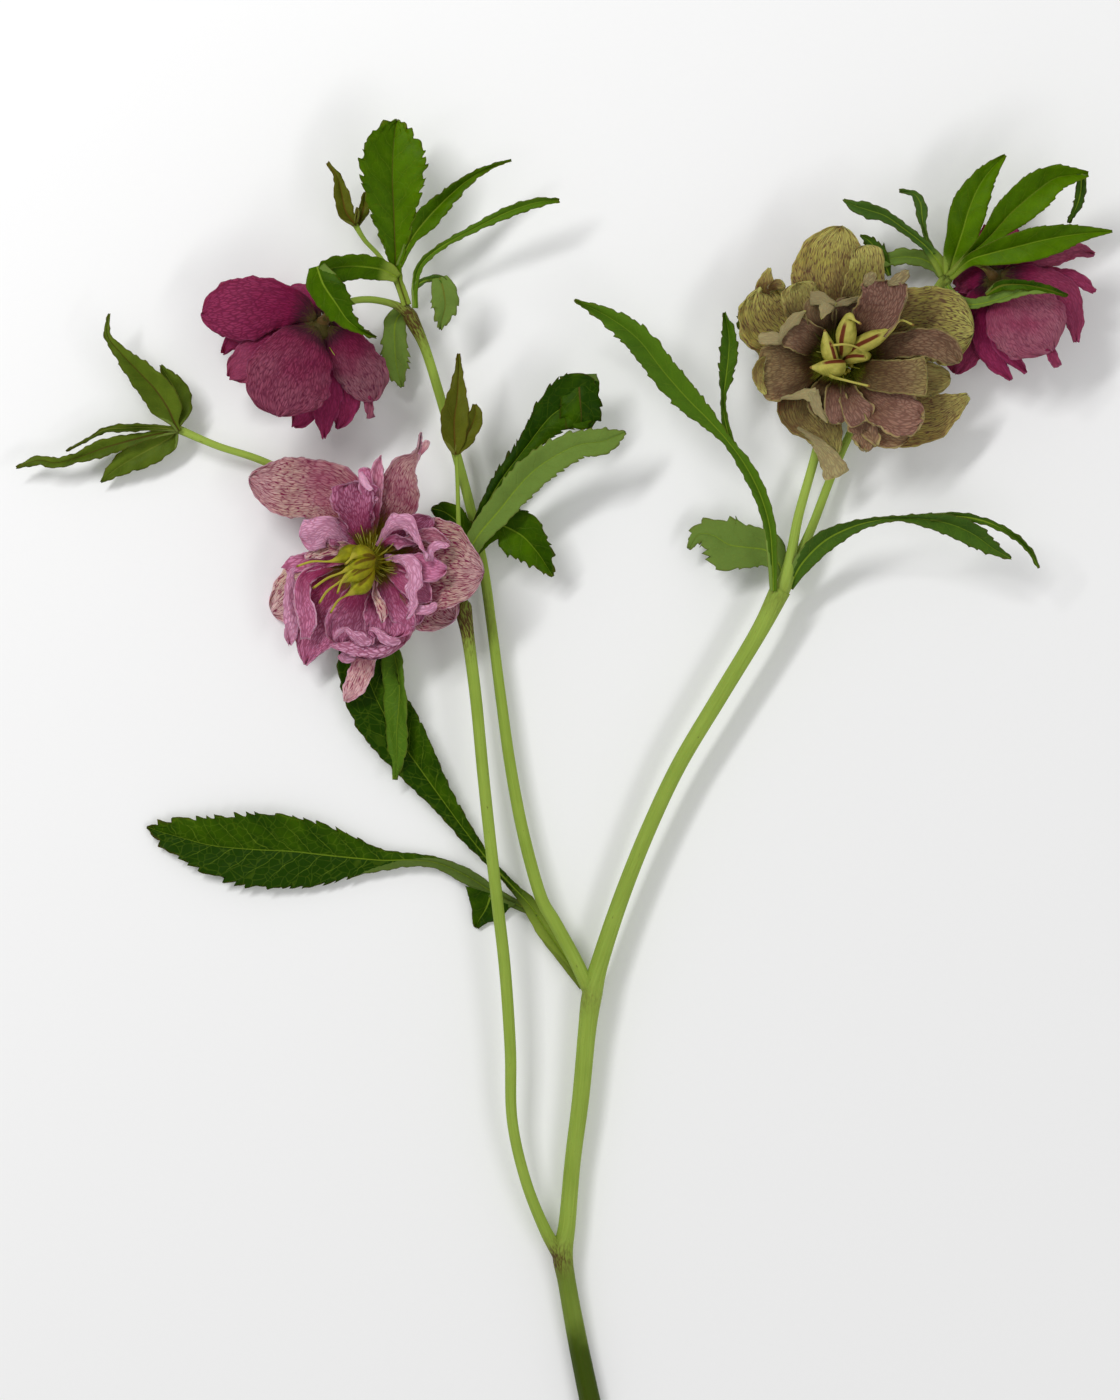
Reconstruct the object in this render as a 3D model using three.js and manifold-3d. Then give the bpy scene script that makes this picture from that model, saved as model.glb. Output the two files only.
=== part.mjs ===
// A cut stem of garden hellebore with four double flowers, lying on a flat surface.
// Millimetres, +Z up from the surface, +Y towards the flowers. The origin is the middle of
// the base of the bounding box. Every leaf, flower and flower centre is one closed solid.
//
// Leaves and tepals are "blades": a thin sheet swept along a midrib. A midrib is a list of
// rows [x, y, z, half width, roll in degrees], chosen by hand and joined by a smooth curve.
// Stems, carpels and styles are "limbs": round tubes along rows [x, y, z, radius].

import * as THREE from "three";
import Module from "manifold-3d";

const wasm = await Module();
wasm.setup();

// ---------------------------------------------------------------- driving dimensions
const THICKNESS = 0.7; // of leaves and tepals
const CLEARANCE = 0.35; // between a leaf or a flower and the stem that carries it
const STEM_SIDES = 8;
const THIN_SIDES = 5;
const RING_SPACING = 14; // along a limb
const CARPEL_SIDES = 5;
const STYLE_RADIUS = 0.36;
const SEAT_HEIGHT = 2.8;
const SEAT_FLARE = 0.3; // by which a flower's seat widens upward
const RISE_STEP = 0.7;
const CENTRE_LIFT = 0.5; // from the seat's face to the foot of the carpels
const CARPEL_ROOT = { reach: 1.5, radius: 1.1 };
const NECTARY_HEIGHT = 1.3;
const NECTARY_FLARE = 0.5;
const ROOT_INSET = 1.3; // from the rim of a flower's seat to where its tepals grow out of it
const ROOT_HALF_WIDTH = 0.9;
const SWEEP_STEPS = 96; // fine steps in which a midrib is measured
const TIP_EASE = 1.35;
const TOOTH_DEPTH = 0.15; // share of the half width that a leaf tooth stands out
const TOOTH_START = 0.22; // share of the leaf that has a plain edge at its base
const TOOTH_TIP = 0.8; // place of the point within one tooth

const COLOURS = {
  stem: 0x8a9a3c,
  leaf: 0x3f5c10,
  bract: 0x66702a,
  pink: 0xb8688f,
  olive: 0x6f5a2c,
  magenta: 0x7a2f55,
  centre: 0x9a9a28,
};

// ---------------------------------------------------------------- curves

// Values of the rows at place t on a Catmull-Rom curve; whole numbers are the rows.
function curveAt(rows, t) {
  const i = Math.min(Math.floor(t), rows.length - 2);
  const f = t - i;
  const [start, end] = [rows[i], rows[i + 1]];
  const before = rows[i - 1] ?? start.map((value, k) => 2 * value - end[k]);
  const after = rows[i + 2] ?? end.map((value, k) => 2 * value - start[k]);
  return start.map((value, k) => {
    const slopeIn = (end[k] - before[k]) / 2;
    const slopeOut = (after[k] - value) / 2;
    const rise = end[k] - value;
    const square = 3 * rise - 2 * slopeIn - slopeOut;
    const cube = slopeIn + slopeOut - 2 * rise;
    return value + f * (slopeIn + f * (square + f * cube));
  });
}

// Measures the curve through the rows. `at` gives, for a share of its length, the place, the
// side vector (carried along without twist, then rolled), the normal and the half width or
// radius. `shareOfRow` gives the share at which a row lies.
function sweep(rows) {
  const full = rows.map(([x, y, z, size, roll = 0]) => [x, y, z, size, roll]);
  const samples = [];
  for (let k = 0; k <= SWEEP_STEPS; k++) {
    const [x, y, z, size, roll] = curveAt(full, (k / SWEEP_STEPS) * (full.length - 1));
    samples.push({ place: new THREE.Vector3(x, y, z), size, roll });
  }
  const side = new THREE.Vector3();
  let length = 0;
  samples.forEach((sample, k) => {
    const last = samples[Math.max(k - 1, 0)];
    const next = samples[Math.min(k + 1, SWEEP_STEPS)];
    sample.along = next.place.clone().sub(last.place).normalize();
    length += sample.place.distanceTo(last.place);
    sample.length = length;
    if (k === 0) side.set(0, 0, 1).cross(sample.along);
    side.addScaledVector(sample.along, -side.dot(sample.along)).normalize();
    sample.side = side.clone();
  });
  const shareOfRow = (row) => {
    const k = Math.round((row / (full.length - 1)) * SWEEP_STEPS);
    return samples[k].length / length;
  };
  const at = (share) => {
    const target = share * length;
    let k = 1;
    while (k < SWEEP_STEPS && samples[k].length < target) k++;
    const [low, high] = [samples[k - 1], samples[k]];
    const f = (target - low.length) / (high.length - low.length);
    const along = low.along.clone().lerp(high.along, f).normalize();
    const roll = THREE.MathUtils.degToRad(THREE.MathUtils.lerp(low.roll, high.roll, f));
    const turned = low.side.clone().lerp(high.side, f).normalize().applyAxisAngle(along, roll);
    return {
      place: low.place.clone().lerp(high.place, f),
      side: turned,
      normal: along.clone().cross(turned),
      size: THREE.MathUtils.lerp(low.size, high.size, f),
    };
  };
  return { at, shareOfRow, length };
}

// ---------------------------------------------------------------- solids

function solidFrom(points, triangles) {
  const vertProperties = new Float32Array(points.flatMap((p) => [p.x, p.y, p.z]));
  const triVerts = new Uint32Array(triangles.flat());
  return new wasm.Manifold(new wasm.Mesh({ numProp: 3, vertProperties, triVerts }));
}

const join = (solids) => solids.reduce((whole, solid) => whole.add(solid));

// The largest connected body of a solid that a cut may have left in several.
const mainBody = (solid) =>
  solid.decompose().reduce((best, body) => (body.volume() > best.volume() ? body : best));

// A closed round tube through rows [x, y, z, radius], grown on all sides by `extra`.
function limb(rows, sides = THIN_SIDES, extra = 0) {
  const { at, shareOfRow, length } = sweep(rows);
  const shares = [0];
  for (let row = 1; row < rows.length; row++) {
    const [start, end] = [shares.at(-1), shareOfRow(row)];
    const steps = Math.max(1, Math.round(((end - start) * length) / RING_SPACING));
    for (let k = 1; k <= steps; k++) shares.push(start + ((end - start) * k) / steps);
  }
  const rings = shares.length - 1;
  const points = [];
  const triangles = [];
  for (let i = 0; i <= rings; i++) {
    const { place, side, normal, size } = at(shares[i]);
    for (let j = 0; j < sides; j++) {
      const angle = (2 * Math.PI * (j + 0.5)) / sides;
      const radius = Math.max(size, 0.2) + extra;
      points.push(
        place
          .clone()
          .addScaledVector(side, radius * Math.cos(angle))
          .addScaledVector(normal, radius * Math.sin(angle)),
      );
      if (i === rings) continue;
      const [a, b] = [i * sides + j, i * sides + ((j + 1) % sides)];
      triangles.push([a, b, b + sides], [a, b + sides, a + sides]);
    }
  }
  const [base, tip] = [points.length, points.length + 1];
  points.push(at(0).place, at(1).place);
  for (let j = 0; j < sides; j++) {
    const k = (j + 1) % sides;
    triangles.push([base, k, j]);
    triangles.push([tip, rings * sides + j, rings * sides + k]);
  }
  return solidFrom(points, triangles);
}

// Places along a blade where it has a row of points, and how much of its width it has there.
// They stand closer together towards a round tip.
function stationsOf({ along, teeth, tip }) {
  const ease = tip ? TIP_EASE : 1;
  const place = (i) => ({ s: 1 - (1 - i / along) ** ease, share: 1 });
  if (!teeth) return Array.from({ length: along + 1 }, (_, i) => place(i));
  const stations = [
    { s: 0, share: 1 },
    { s: TOOTH_START / 2, share: 1 },
    { s: TOOTH_START, share: 1 },
  ];
  const step = (1 - TOOTH_START) / teeth;
  for (let k = 0; k < teeth; k++) {
    stations.push({ s: TOOTH_START + (k + TOOTH_TIP) * step, share: 1 });
    stations.push({ s: TOOTH_START + (k + 1) * step, share: 1 - TOOTH_DEPTH });
  }
  return stations;
}

// How far a blade's edge is drawn in near its tip: power 2 is a round tip, 1 a straight point.
function tipShare(s, tip, power) {
  if (!tip || s <= 1 - tip) return 1;
  const into = (s - 1 + tip) / tip;
  return Math.max((1 - into ** power) ** (1 / power), 0.16);
}

// A thin closed blade along the rows. `cup` bends its section into an arc of that many
// degrees (edges towards the normal), `fold` folds it along the midrib, `ruffle` lifts the
// edges in `waves` waves, and the sheet never goes below the surface it lies on.
function blade(rows, options = {}) {
  const {
    along = 6,
    across = 2,
    cup = 0,
    fold = 0,
    ruffle = 0,
    waves = 1.5,
    phase = 0,
    tip = 0,
    power = 2,
    teeth = 0,
  } = options;
  const { at } = sweep(rows);
  const stations = stationsOf({ along, teeth, tip });
  const half = THICKNESS / 2;
  const foldAngle = THREE.MathUtils.degToRad(fold);
  const grid = stations.map(({ s, share }) => {
    const { place, side, normal, size } = at(s);
    const width = Math.max(size, 0.3) * share * tipShare(s, tip, power);
    return Array.from({ length: across + 1 }, (_, j) => {
      const v = (2 * j) / across - 1;
      const bend = THREE.MathUtils.degToRad(cup / 2) * v;
      const sideways = bend ? Math.sin(bend) / bend : 1;
      const upward = bend ? (1 - Math.cos(bend)) / bend : 0;
      const wave = Math.sin(2 * Math.PI * (waves * s + phase) + (v < 0 ? 2 : 0));
      const lift =
        width * v * upward +
        width * Math.abs(v) * Math.sin(foldAngle) +
        ruffle * Math.abs(v) ** 1.5 * wave * Math.min(1, 3 * s);
      const point = place
        .clone()
        .addScaledVector(side, width * v * sideways * Math.cos(foldAngle))
        .addScaledVector(normal, lift);
      point.z = Math.max(point.z, half);
      return point;
    });
  });

  const rowsOfPoints = grid.length;
  const columns = across + 1;
  const top = [];
  const bottom = [];
  grid.forEach((line, i) =>
    line.forEach((point, j) => {
      const forward = grid[Math.min(i + 1, rowsOfPoints - 1)][j]
        .clone()
        .sub(grid[Math.max(i - 1, 0)][j]);
      const sideways = line[Math.min(j + 1, across)].clone().sub(line[Math.max(j - 1, 0)]);
      const normal = forward.cross(sideways).normalize();
      top.push(point.clone().addScaledVector(normal, half));
      bottom.push(point.clone().addScaledVector(normal, -half));
    }),
  );
  const points = [...top, ...bottom];
  const under = top.length;
  const triangles = [];
  for (let i = 0; i < rowsOfPoints - 1; i++) {
    for (let j = 0; j < across; j++) {
      const a = i * columns + j;
      const [b, c, d] = [a + columns, a + columns + 1, a + 1];
      triangles.push([a, b, c], [a, c, d]);
      triangles.push([under + a, under + c, under + b], [under + a, under + d, under + c]);
    }
  }
  const rim = [];
  for (let i = 0; i < rowsOfPoints; i++) rim.push(i * columns);
  for (let j = 1; j < columns; j++) rim.push((rowsOfPoints - 1) * columns + j);
  for (let i = rowsOfPoints - 2; i >= 0; i--) rim.push(i * columns + across);
  for (let j = across - 1; j > 0; j--) rim.push(j);
  rim.forEach((a, k) => {
    const b = rim[(k + 1) % rim.length];
    triangles.push([b, a, under + a], [b, under + a, under + b]);
  });
  return solidFrom(points, triangles);
}

const part = new THREE.Group();
part.name = "hellebore_flower";

// Adds one solid to the part as a named mesh.
function addNode(name, solid, colour) {
  const { numProp, vertProperties, triVerts } = solid.getMesh();
  const position = new Float32Array((vertProperties.length / numProp) * 3);
  for (let i = 0; i * numProp < vertProperties.length; i++)
    position.set(vertProperties.subarray(i * numProp, i * numProp + 3), i * 3);
  const geometry = new THREE.BufferGeometry();
  geometry.setAttribute("position", new THREE.BufferAttribute(position, 3));
  geometry.setIndex(new THREE.BufferAttribute(triVerts, 1));
  geometry.computeVertexNormals();
  const material = new THREE.MeshStandardMaterial({ color: colour, roughness: 0.6, metalness: 0 });
  const mesh = new THREE.Mesh(geometry, material);
  mesh.name = name;
  part.add(mesh);
}

// ---------------------------------------------------------------- the stem

// Main stem from the cut end, past the first and second fork, to the right-hand node.
const MAIN_STEM = [
  [8.7, -193.8, 3.2, 3.2],
  [4.4, -173, 3.4, 2.95],
  [1.3, -156, 4.2, 2.75],
  [0, -147, 5, 3.1],
  [1.3, -138, 5.4, 2.6],
  [3, -119, 6, 2.45],
  [5.4, -100, 6.8, 2.6],
  [7.3, -80, 7.6, 2.75],
  [8.8, -69, 8, 3.1],
  [11.2, -59, 8.4, 2.7],
  [17.5, -40, 9.2, 2.45],
  [25.4, -20, 10, 2.35],
  [34.8, 0, 10.8, 2.35],
  [46.7, 20, 11.4, 2.45],
  [58.8, 40, 12, 2.6],
  [65.5, 53, 12.4, 3.2],
];

const LEFT_BRANCH = [
  [-0.2, -148.5, 5, 2.4],
  [-5.6, -139.2, 6, 1.8],
  [-11.4, -124.2, 7.5, 1.65],
  [-15.3, -106.2, 9, 1.65],
  [-15.8, -85.2, 10.5, 1.75],
  [-17.4, -61.2, 11.8, 1.8],
  [-19.8, -40.2, 12.5, 1.8],
  [-22, -21, 12.7, 1.8],
  [-24.1, -1, 12.8, 1.8],
  [-26.1, 20, 13, 1.8],
  [-28.4, 38, 13.5, 1.95],
  [-30, 47.5, 14, 2.7],
];

const MIDDLE_BRANCH = [
  [8.2, -68, 8, 2.2],
  [3.5, -58, 8, 2.1],
  [-2.5, -47, 7.6, 2],
  [-6.8, -39, 7.4, 1.9],
  [-12, -20, 7, 1.85],
  [-15.8, 0, 6.8, 1.75],
  [-18.6, 20, 6.6, 1.65],
  [-21.3, 41, 6.4, 1.55],
  [-24, 60, 6.4, 1.55],
  [-27.9, 78, 6.8, 1.5],
  [-32.4, 95, 8, 1.45],
  [-37.2, 112, 10, 1.45],
  [-41.6, 126, 11.6, 1.55],
  [-45.8, 135, 12.5, 2.3],
];

const PEDICELS = [
  // to the pink flower
  [
    [-30, 46.5, 14, 2.2],
    [-38, 52, 12.5, 1.5],
    [-47, 58, 12, 1.6],
    [-53, 61.5, 12.6, 2],
    [-57, 63, 14.8, 2.6],
  ],
  // under the pink flower to the left spray of leaves
  [
    [-30, 47, 13, 1.6],
    [-38, 56, 8, 1.2],
    [-52, 69, 4.6, 1.1],
    [-72, 82.5, 4.6, 1.1],
    [-90, 91.6, 6, 1.15],
    [-104, 96.3, 7, 1.1],
    [-116, 101.4, 8, 1.3],
  ],
  // to the bract-wrapped bud beside the pink flower
  [
    [-30, 48, 14, 1.4],
    [-31, 60, 16, 0.95],
    [-31.4, 74, 16.6, 0.7],
    [-31.7, 86, 16.8, 0.65],
    [-32, 93.6, 17, 0.8],
  ],
  // to the upper left flower
  [
    [-46.2, 136, 12.8, 1.9],
    [-51, 138.7, 15, 1.15],
    [-58, 140, 18.6, 1.05],
    [-64.5, 139, 22.4, 1.05],
    [-69.5, 135.5, 25.4, 1.2],
    [-72, 133, 26.6, 1.9],
  ],
  // to the little bud at the top left
  [
    [-45.8, 134.4, 12.2, 1.5],
    [-50.2, 145.5, 11.6, 0.75],
    [-55, 153, 11.2, 0.7],
    [-59.5, 157.9, 11.8, 0.7],
    [-62.3, 162.4, 12.8, 0.9],
  ],
  // to the olive flower, in front
  [
    [65.6, 52, 12.8, 2.4],
    [68.3, 62, 12.2, 1.7],
    [70.8, 75, 10.6, 1.45],
    [75.3, 91, 8.4, 1.4],
    [79.4, 106, 7.8, 1.6],
    [82, 114.8, 7.2, 1.8],
    [83.2, 119.6, 8.2, 2.2],
    [83.4, 120.8, 11.4, 2.6],
  ],
  // behind the olive flower to the right-hand cluster
  [
    [66.2, 53, 11.4, 2.2],
    [70.4, 62, 10, 1.6],
    [75, 72, 8, 1.4],
    [80.4, 86, 5.6, 1.3],
    [86, 99, 4, 1.25],
    [95.5, 118, 3.4, 1.25],
    [105.5, 134, 5, 1.25],
    [111.6, 142, 8, 1.4],
    [115.2, 146.3, 10, 2],
  ],
  // to the upper right flower
  [
    [114.4, 145.3, 9.6, 1.4],
    [118.4, 149.7, 13, 0.9],
    [122.6, 151, 17, 0.8],
    [126.4, 149.6, 20.4, 0.95],
    [128.9, 147, 21.8, 1.7],
  ],
];

// The whole stem as one solid, grown on all sides by `extra`.
function stemSolid(extra = 0) {
  const main = [MAIN_STEM, LEFT_BRANCH, MIDDLE_BRANCH].map((rows) =>
    limb(rows, STEM_SIDES, extra),
  );
  return join([...main, ...PEDICELS.map((rows) => limb(rows, THIN_SIDES, extra))]);
}

const stem = stemSolid();
const stemRoom = stemSolid(CLEARANCE);

// What grows on the stem is trimmed to clear it, so each leaf and flower sits close on it.
const offStem = (solid) => mainBody(solid.subtract(stemRoom));

// ---------------------------------------------------------------- leaves

const PLAIN = { along: 8, fold: 14 };
const SMALL = { along: 5, fold: 14 };

// Each leaf: name, colour, and its lobes as [rows, options]; the lobes grow together.
const LEAVES = {
  leaf_lower: [
    [
      [
        [6.4, -66.6, 4.4, 1.5],
        [1, -58, 3.9, 2.6],
        [-5, -49.5, 3.7, 3.2],
        [-10, -42, 4, 2.4],
        [-15.5, -36, 4.6, 1.3],
        [-22, -29, 5, 1.3],
        [-28.5, -21, 5, 2.4],
        [-35.5, -11.5, 4.8, 3.6],
        [-43, -1, 4.4, 6.2],
        [-51, 10.5, 4, 8.6],
        [-57, 22, 3.6, 8.8],
        [-60, 33, 3.2, 8],
        [-59, 43, 3, 5],
      ],
      { along: 14, fold: 6, tip: 0.1 },
    ],
    [
      [
        [-60.5, 38, 3.1, 3],
        [-57, 44, 3.6, 3.2],
        [-52.6, 42, 5, 3],
        [-50, 30, 6, 3.4],
        [-50.1, 19, 6.2, 3.8],
        [-49.5, 8, 6.2, 3.2],
        [-50.4, -3.8, 6, 0.4],
      ],
      { along: 8, fold: 10 },
    ],
    [
      [
        [-7.6, -44.6, 3.8, 1.4],
        [-15, -41.4, 3, 1.5],
        [-22, -37.6, 2.2, 1.9],
        [-29.5, -33, 2.4, 2.4],
        [-38, -29.3, 3, 1.8],
        [-46, -28.4, 3.2, 2.1],
        [-54, -28.5, 3.2, 3.2],
        [-62, -27.9, 3, 5.4],
        [-71, -27, 2.8, 8.2],
        [-82, -25.8, 2.8, 10.6],
        [-94, -25.2, 2.8, 10.4],
        [-106, -24, 2.6, 8.4],
        [-116, -21.4, 2.2, 4.8],
        [-125.5, -18.5, 1.6, 0.4],
      ],
      { along: 14, fold: 5, teeth: 8 },
    ],
    [
      [
        [-12, -42.6, 3.2, 1],
        [-17, -42.4, 1.8, 2],
        [-22, -42.4, 0.8, 3.8],
        [-26, -45, 0.8, 3],
        [-26.2, -48.4, 0.8, 0.5],
      ],
      SMALL,
    ],
  ],
  leaf_node_light: [
    [
      [
        [-29.6, 54, 13.4, 1.6],
        [-27.4, 66, 13.6, 2.8],
        [-19, 77, 15.6, 4.4],
        [-9, 88.4, 18.6, 5],
        [3, 95.8, 20.6, 4.2],
        [12, 97.5, 20.6, 3.8],
        [18.8, 100.2, 18.6, 0.4],
      ],
      { along: 10, fold: 10, teeth: 5 },
    ],
  ],
  leaf_node_dark: [
    [
      [
        [-30, 48.6, 11.8, 1.2],
        [-28.8, 59, 10, 1.3],
        [-26.2, 71, 9.7, 1.6],
        [-20, 84, 10.6, 2.2],
        [-11, 96, 12.4, 3],
        [-3, 105.6, 14.6, 6],
        [4.6, 109.4, 15.4, 9],
        [10.6, 109.6, 14.4, 7.4],
      ],
      { along: 9, fold: 8, tip: 0.12 },
    ],
    [
      [
        [-27.6, 63, 9.8, 1.2],
        [-21, 72, 10.6, 4.5],
        [-13.5, 70, 11, 7.2],
        [-8, 64.5, 11, 4.6],
        [-3, 57, 10.4, 0.4],
      ],
      { along: 8, fold: 8, teeth: 4 },
    ],
    [
      [
        [-28, 63, 9.9, 1.4],
        [-30.5, 71.5, 9.9, 3.4],
        [-35, 76, 10.6, 3.4],
        [-39.6, 77.4, 11.4, 0.6],
      ],
      SMALL,
    ],
  ],
  leaf_upper_tall: [
    [
      [
        [-47, 138.5, 14.6, 1.5],
        [-50, 148.5, 17, 1.6],
        [-50.4, 156, 18, 3.7],
        [-50.8, 166, 19, 7.2],
        [-51.2, 176, 20, 9.8],
        [-51, 184, 20, 9.2],
        [-50.5, 190, 19, 5.2],
        [-49.8, 194, 18.5, 0.6],
      ],
      { along: 12, fold: 8, teeth: 7 },
    ],
    [
      [
        [-49.2, 150, 17.4, 1.2],
        [-45.5, 158, 18.5, 1.9],
        [-40.5, 164.5, 20, 4],
        [-34, 171, 21, 2.8],
        [-27.5, 176.5, 21.5, 1.6],
        [-21, 180, 21, 0.8],
        [-15.5, 181.7, 20, 0.4],
      ],
      PLAIN,
    ],
    [
      [
        [-49.6, 146.5, 17, 1.6],
        [-54.5, 149, 20, 3.4],
        [-62, 149.8, 25, 4.2],
        [-69, 149, 30, 4.4],
        [-73, 147.6, 33.4, 3.8],
      ],
      { along: 6, fold: 10 },
    ],
    [
      [
        [-73.6, 149.4, 33.4, 2.6],
        [-71.6, 144, 34.6, 5.2],
        [-68, 138.5, 35, 4.8],
        [-64.5, 133.5, 34.6, 2.6],
        [-60, 130, 34, 1],
        [-55.8, 128.1, 33, 0.4],
      ],
      { along: 7, fold: 10 },
    ],
  ],
  leaf_upper_narrow: [
    [
      [
        [-44.4, 137.5, 15.2, 1],
        [-44.4, 145, 16, 1.1],
        [-42.3, 151, 16.6, 1.2],
        [-36, 156.3, 17.2, 1.1],
        [-27, 161.2, 18, 1.3],
        [-17, 166, 19, 1.8],
        [-8, 169, 19, 1.6],
        [-1, 169.8, 18, 0.6],
      ],
      { along: 9, fold: 12 },
    ],
    [
      [
        [-44.6, 144, 15.8, 1.1],
        [-41, 146, 17, 0.9],
        [-37.6, 146.3, 18.4, 1.2],
        [-35.6, 144.8, 19, 1.8],
      ],
      { along: 4 },
    ],
    [
      [
        [-37, 146.6, 18.6, 2.4],
        [-35.8, 142.5, 19, 4],
        [-35.4, 138.5, 18, 3.9],
        [-36.2, 134.5, 17, 2],
        [-36.8, 131, 16, 0.4],
      ],
      { along: 5, fold: 12 },
    ],
  ],
  leaf_upper_hanging: [
    [
      [
        [-46.4, 138.6, 9.4, 1.3],
        [-50.2, 134, 8.6, 3.3],
        [-50.6, 127, 8, 3.7],
        [-50.2, 120.5, 7.2, 3.4],
        [-48.5, 114, 6.4, 0.5],
      ],
      { along: 8, fold: 8, teeth: 4 },
    ],
  ],
  leaf_right_long: [
    [
      [
        [63.2, 52.5, 15.6, 1.2],
        [62.9, 62, 15.6, 1.7],
        [62, 72, 15.8, 2.1],
        [59.2, 81.5, 16.6, 2.3],
        [54.6, 90.4, 17.8, 2.2],
        [49.4, 97.5, 19, 1.6],
        [43.5, 104, 20, 2.8],
        [37, 110.5, 21, 4.3],
        [30, 118.5, 22, 4.4],
        [22.5, 128, 22, 4.1],
        [13.5, 134.8, 21, 2.6],
        [3.4, 139.8, 20, 0.4],
      ],
      { along: 14, fold: 10, teeth: 8 },
    ],
    [
      [
        [50.4, 96.6, 18.6, 1.3],
        [48.4, 105, 17.5, 1.1],
        [48.2, 111, 17, 0.9],
        [49, 117, 17, 2.2],
        [49.8, 124.5, 17, 2.8],
        [49.7, 130.5, 17, 2],
        [48.4, 136.2, 17, 0.4],
      ],
      PLAIN,
    ],
  ],
  leaf_right_grey: [
    [
      [
        [66.4, 55.4, 10.4, 1.4],
        [64.8, 61, 8.2, 3.2],
        [61.2, 64.8, 7.4, 5.8],
        [55.5, 65.8, 7.6, 6.6],
        [50, 66.6, 7.6, 7.8],
        [45.3, 69.2, 7.6, 4.8],
        [41, 69.6, 7.4, 2.6],
        [37.8, 65.3, 7, 0.5],
      ],
      { along: 8, fold: 6, teeth: 5 },
    ],
  ],
  leaf_right_arching: [
    [
      [
        [68.2, 53.5, 11, 1.2],
        [71.6, 60.5, 13, 3.2],
        [78.5, 67.5, 15.4, 3.6],
        [87, 71.8, 18.6, 2.2],
        [95, 73.8, 21, 1.2],
        [101, 74.4, 22, 0.9],
        [108, 74, 22, 2.2],
        [116, 72.6, 21, 3.4],
        [123, 69.6, 20, 3.8],
        [129, 65.4, 19, 2.2],
        [134.5, 62.2, 18, 0.5],
      ],
      { along: 12, fold: 12 },
    ],
    [
      [
        [110, 74.6, 22, 1.2],
        [119, 74.9, 21.4, 1.3],
        [128, 72.8, 20.8, 1.1],
        [135, 69.2, 20, 1],
        [140, 64.6, 19, 0.8],
        [142.8, 59.3, 18, 0.4],
      ],
      PLAIN,
    ],
  ],
  leaf_behind_olive: [
    [
      [
        [77.6, 107.4, 7, 1],
        [70, 118, 5.6, 2.2],
        [62, 127, 5.2, 3.6],
        [56, 133, 5, 2.4],
        [52.6, 135.6, 4.8, 0.5],
      ],
      { along: 6, fold: 6, teeth: 4 },
    ],
  ],
  leaves_right_whorl: [
    [
      [
        [115.8, 147.4, 13.4, 1.5],
        [117.5, 153, 15.4, 3.6],
        [119.8, 160, 17.4, 5.3],
        [121.8, 167, 18.4, 5.9],
        [124.6, 173.5, 18.9, 4.5],
        [128.2, 178.6, 18.4, 2.8],
        [132.9, 183.4, 17.4, 0.5],
      ],
      { along: 9, fold: 10, teeth: 4 },
    ],
    [
      [
        [116, 147, 13.6, 1.4],
        [122.3, 153.6, 18.2, 1.6],
        [128, 158.8, 20.4, 3],
        [134, 165.5, 23, 5.4],
        [140.5, 171.2, 25, 6.3],
        [147, 175.8, 26, 4.7],
        [152.5, 177, 26, 2.6],
        [157.4, 177.4, 25.4, 0.9],
      ],
      { along: 10, fold: 12, teeth: 4 },
    ],
    [
      [
        [155.4, 177.4, 25.6, 1.5],
        [155.1, 172, 23, 1.6],
        [154.2, 168, 21, 1.2],
        [151.6, 162.9, 19, 0.4],
      ],
      SMALL,
    ],
    [
      [
        [116.4, 147, 13.8, 1.4],
        [122, 151.7, 20.6, 1.9],
        [128, 153.6, 24.6, 3.6],
        [135, 155.3, 26.2, 5],
        [142.5, 157.2, 27, 5.3],
        [150, 158.8, 27, 4.1],
        [157.5, 159.8, 26, 2],
        [164.6, 160.2, 25, 0.4],
      ],
      { along: 10, fold: 10, teeth: 4 },
    ],
    [
      [
        [114.6, 147.6, 13.2, 2],
        [112.4, 152, 14.2, 2.2],
        [108.5, 156.6, 15, 1.6],
        [103, 161, 16, 1.6],
        [97, 165, 17, 1.9],
        [91, 167, 17.5, 2.4],
        [87, 168.4, 17, 1.5],
        [84.2, 170.1, 16.5, 0.4],
      ],
      { along: 9, fold: 12 },
    ],
    [
      [
        [111, 153.6, 14.6, 1.5],
        [108.7, 160.2, 15, 0.7],
        [107.8, 165.5, 15, 1.7],
        [107.3, 169, 15, 1.7],
        [105.2, 171.9, 15, 1],
        [101, 172.9, 14.5, 0.5],
      ],
      SMALL,
    ],
  ],
  leaf_cluster_curled: [
    [
      [
        [115, 146.2, 9, 1.3],
        [112.4, 150, 8, 1.9],
        [108.6, 152.4, 7.6, 2.4],
        [104, 153.2, 7.6, 2.4],
        [99.5, 152.9, 7.4, 2.2],
        [95.8, 151.6, 7.2, 1.8],
      ],
      SMALL,
    ],
    [
      [
        [98.3, 147.5, 7.2, 0.6],
        [96.8, 151.5, 7.4, 1.8],
        [94.6, 155.2, 7.6, 2],
        [92, 158, 7.4, 1.3],
        [89.6, 159.8, 7.2, 0.4],
      ],
      SMALL,
    ],
  ],
  leaf_cluster_drooping: [
    [
      [
        [115.4, 144.4, 12.4, 1],
        [117.6, 140.8, 15, 1.2],
        [121.4, 138.2, 17.8, 1.6],
        [127.5, 138.8, 24.6, 2],
        [134, 142, 28.8, 2.3],
        [141, 143, 31, 1.4],
        [150.8, 141.4, 30.4, 0.5],
      ],
      PLAIN,
    ],
  ],
  spray_left: [
    [
      [
        [-115.4, 100.6, 10.2, 0.9],
        [-116.8, 103, 10.4, 1.4],
        [-118.8, 107.5, 11.2, 4.6],
        [-122.5, 113, 12, 5.2],
        [-127.5, 118.4, 13, 3.9],
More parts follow.
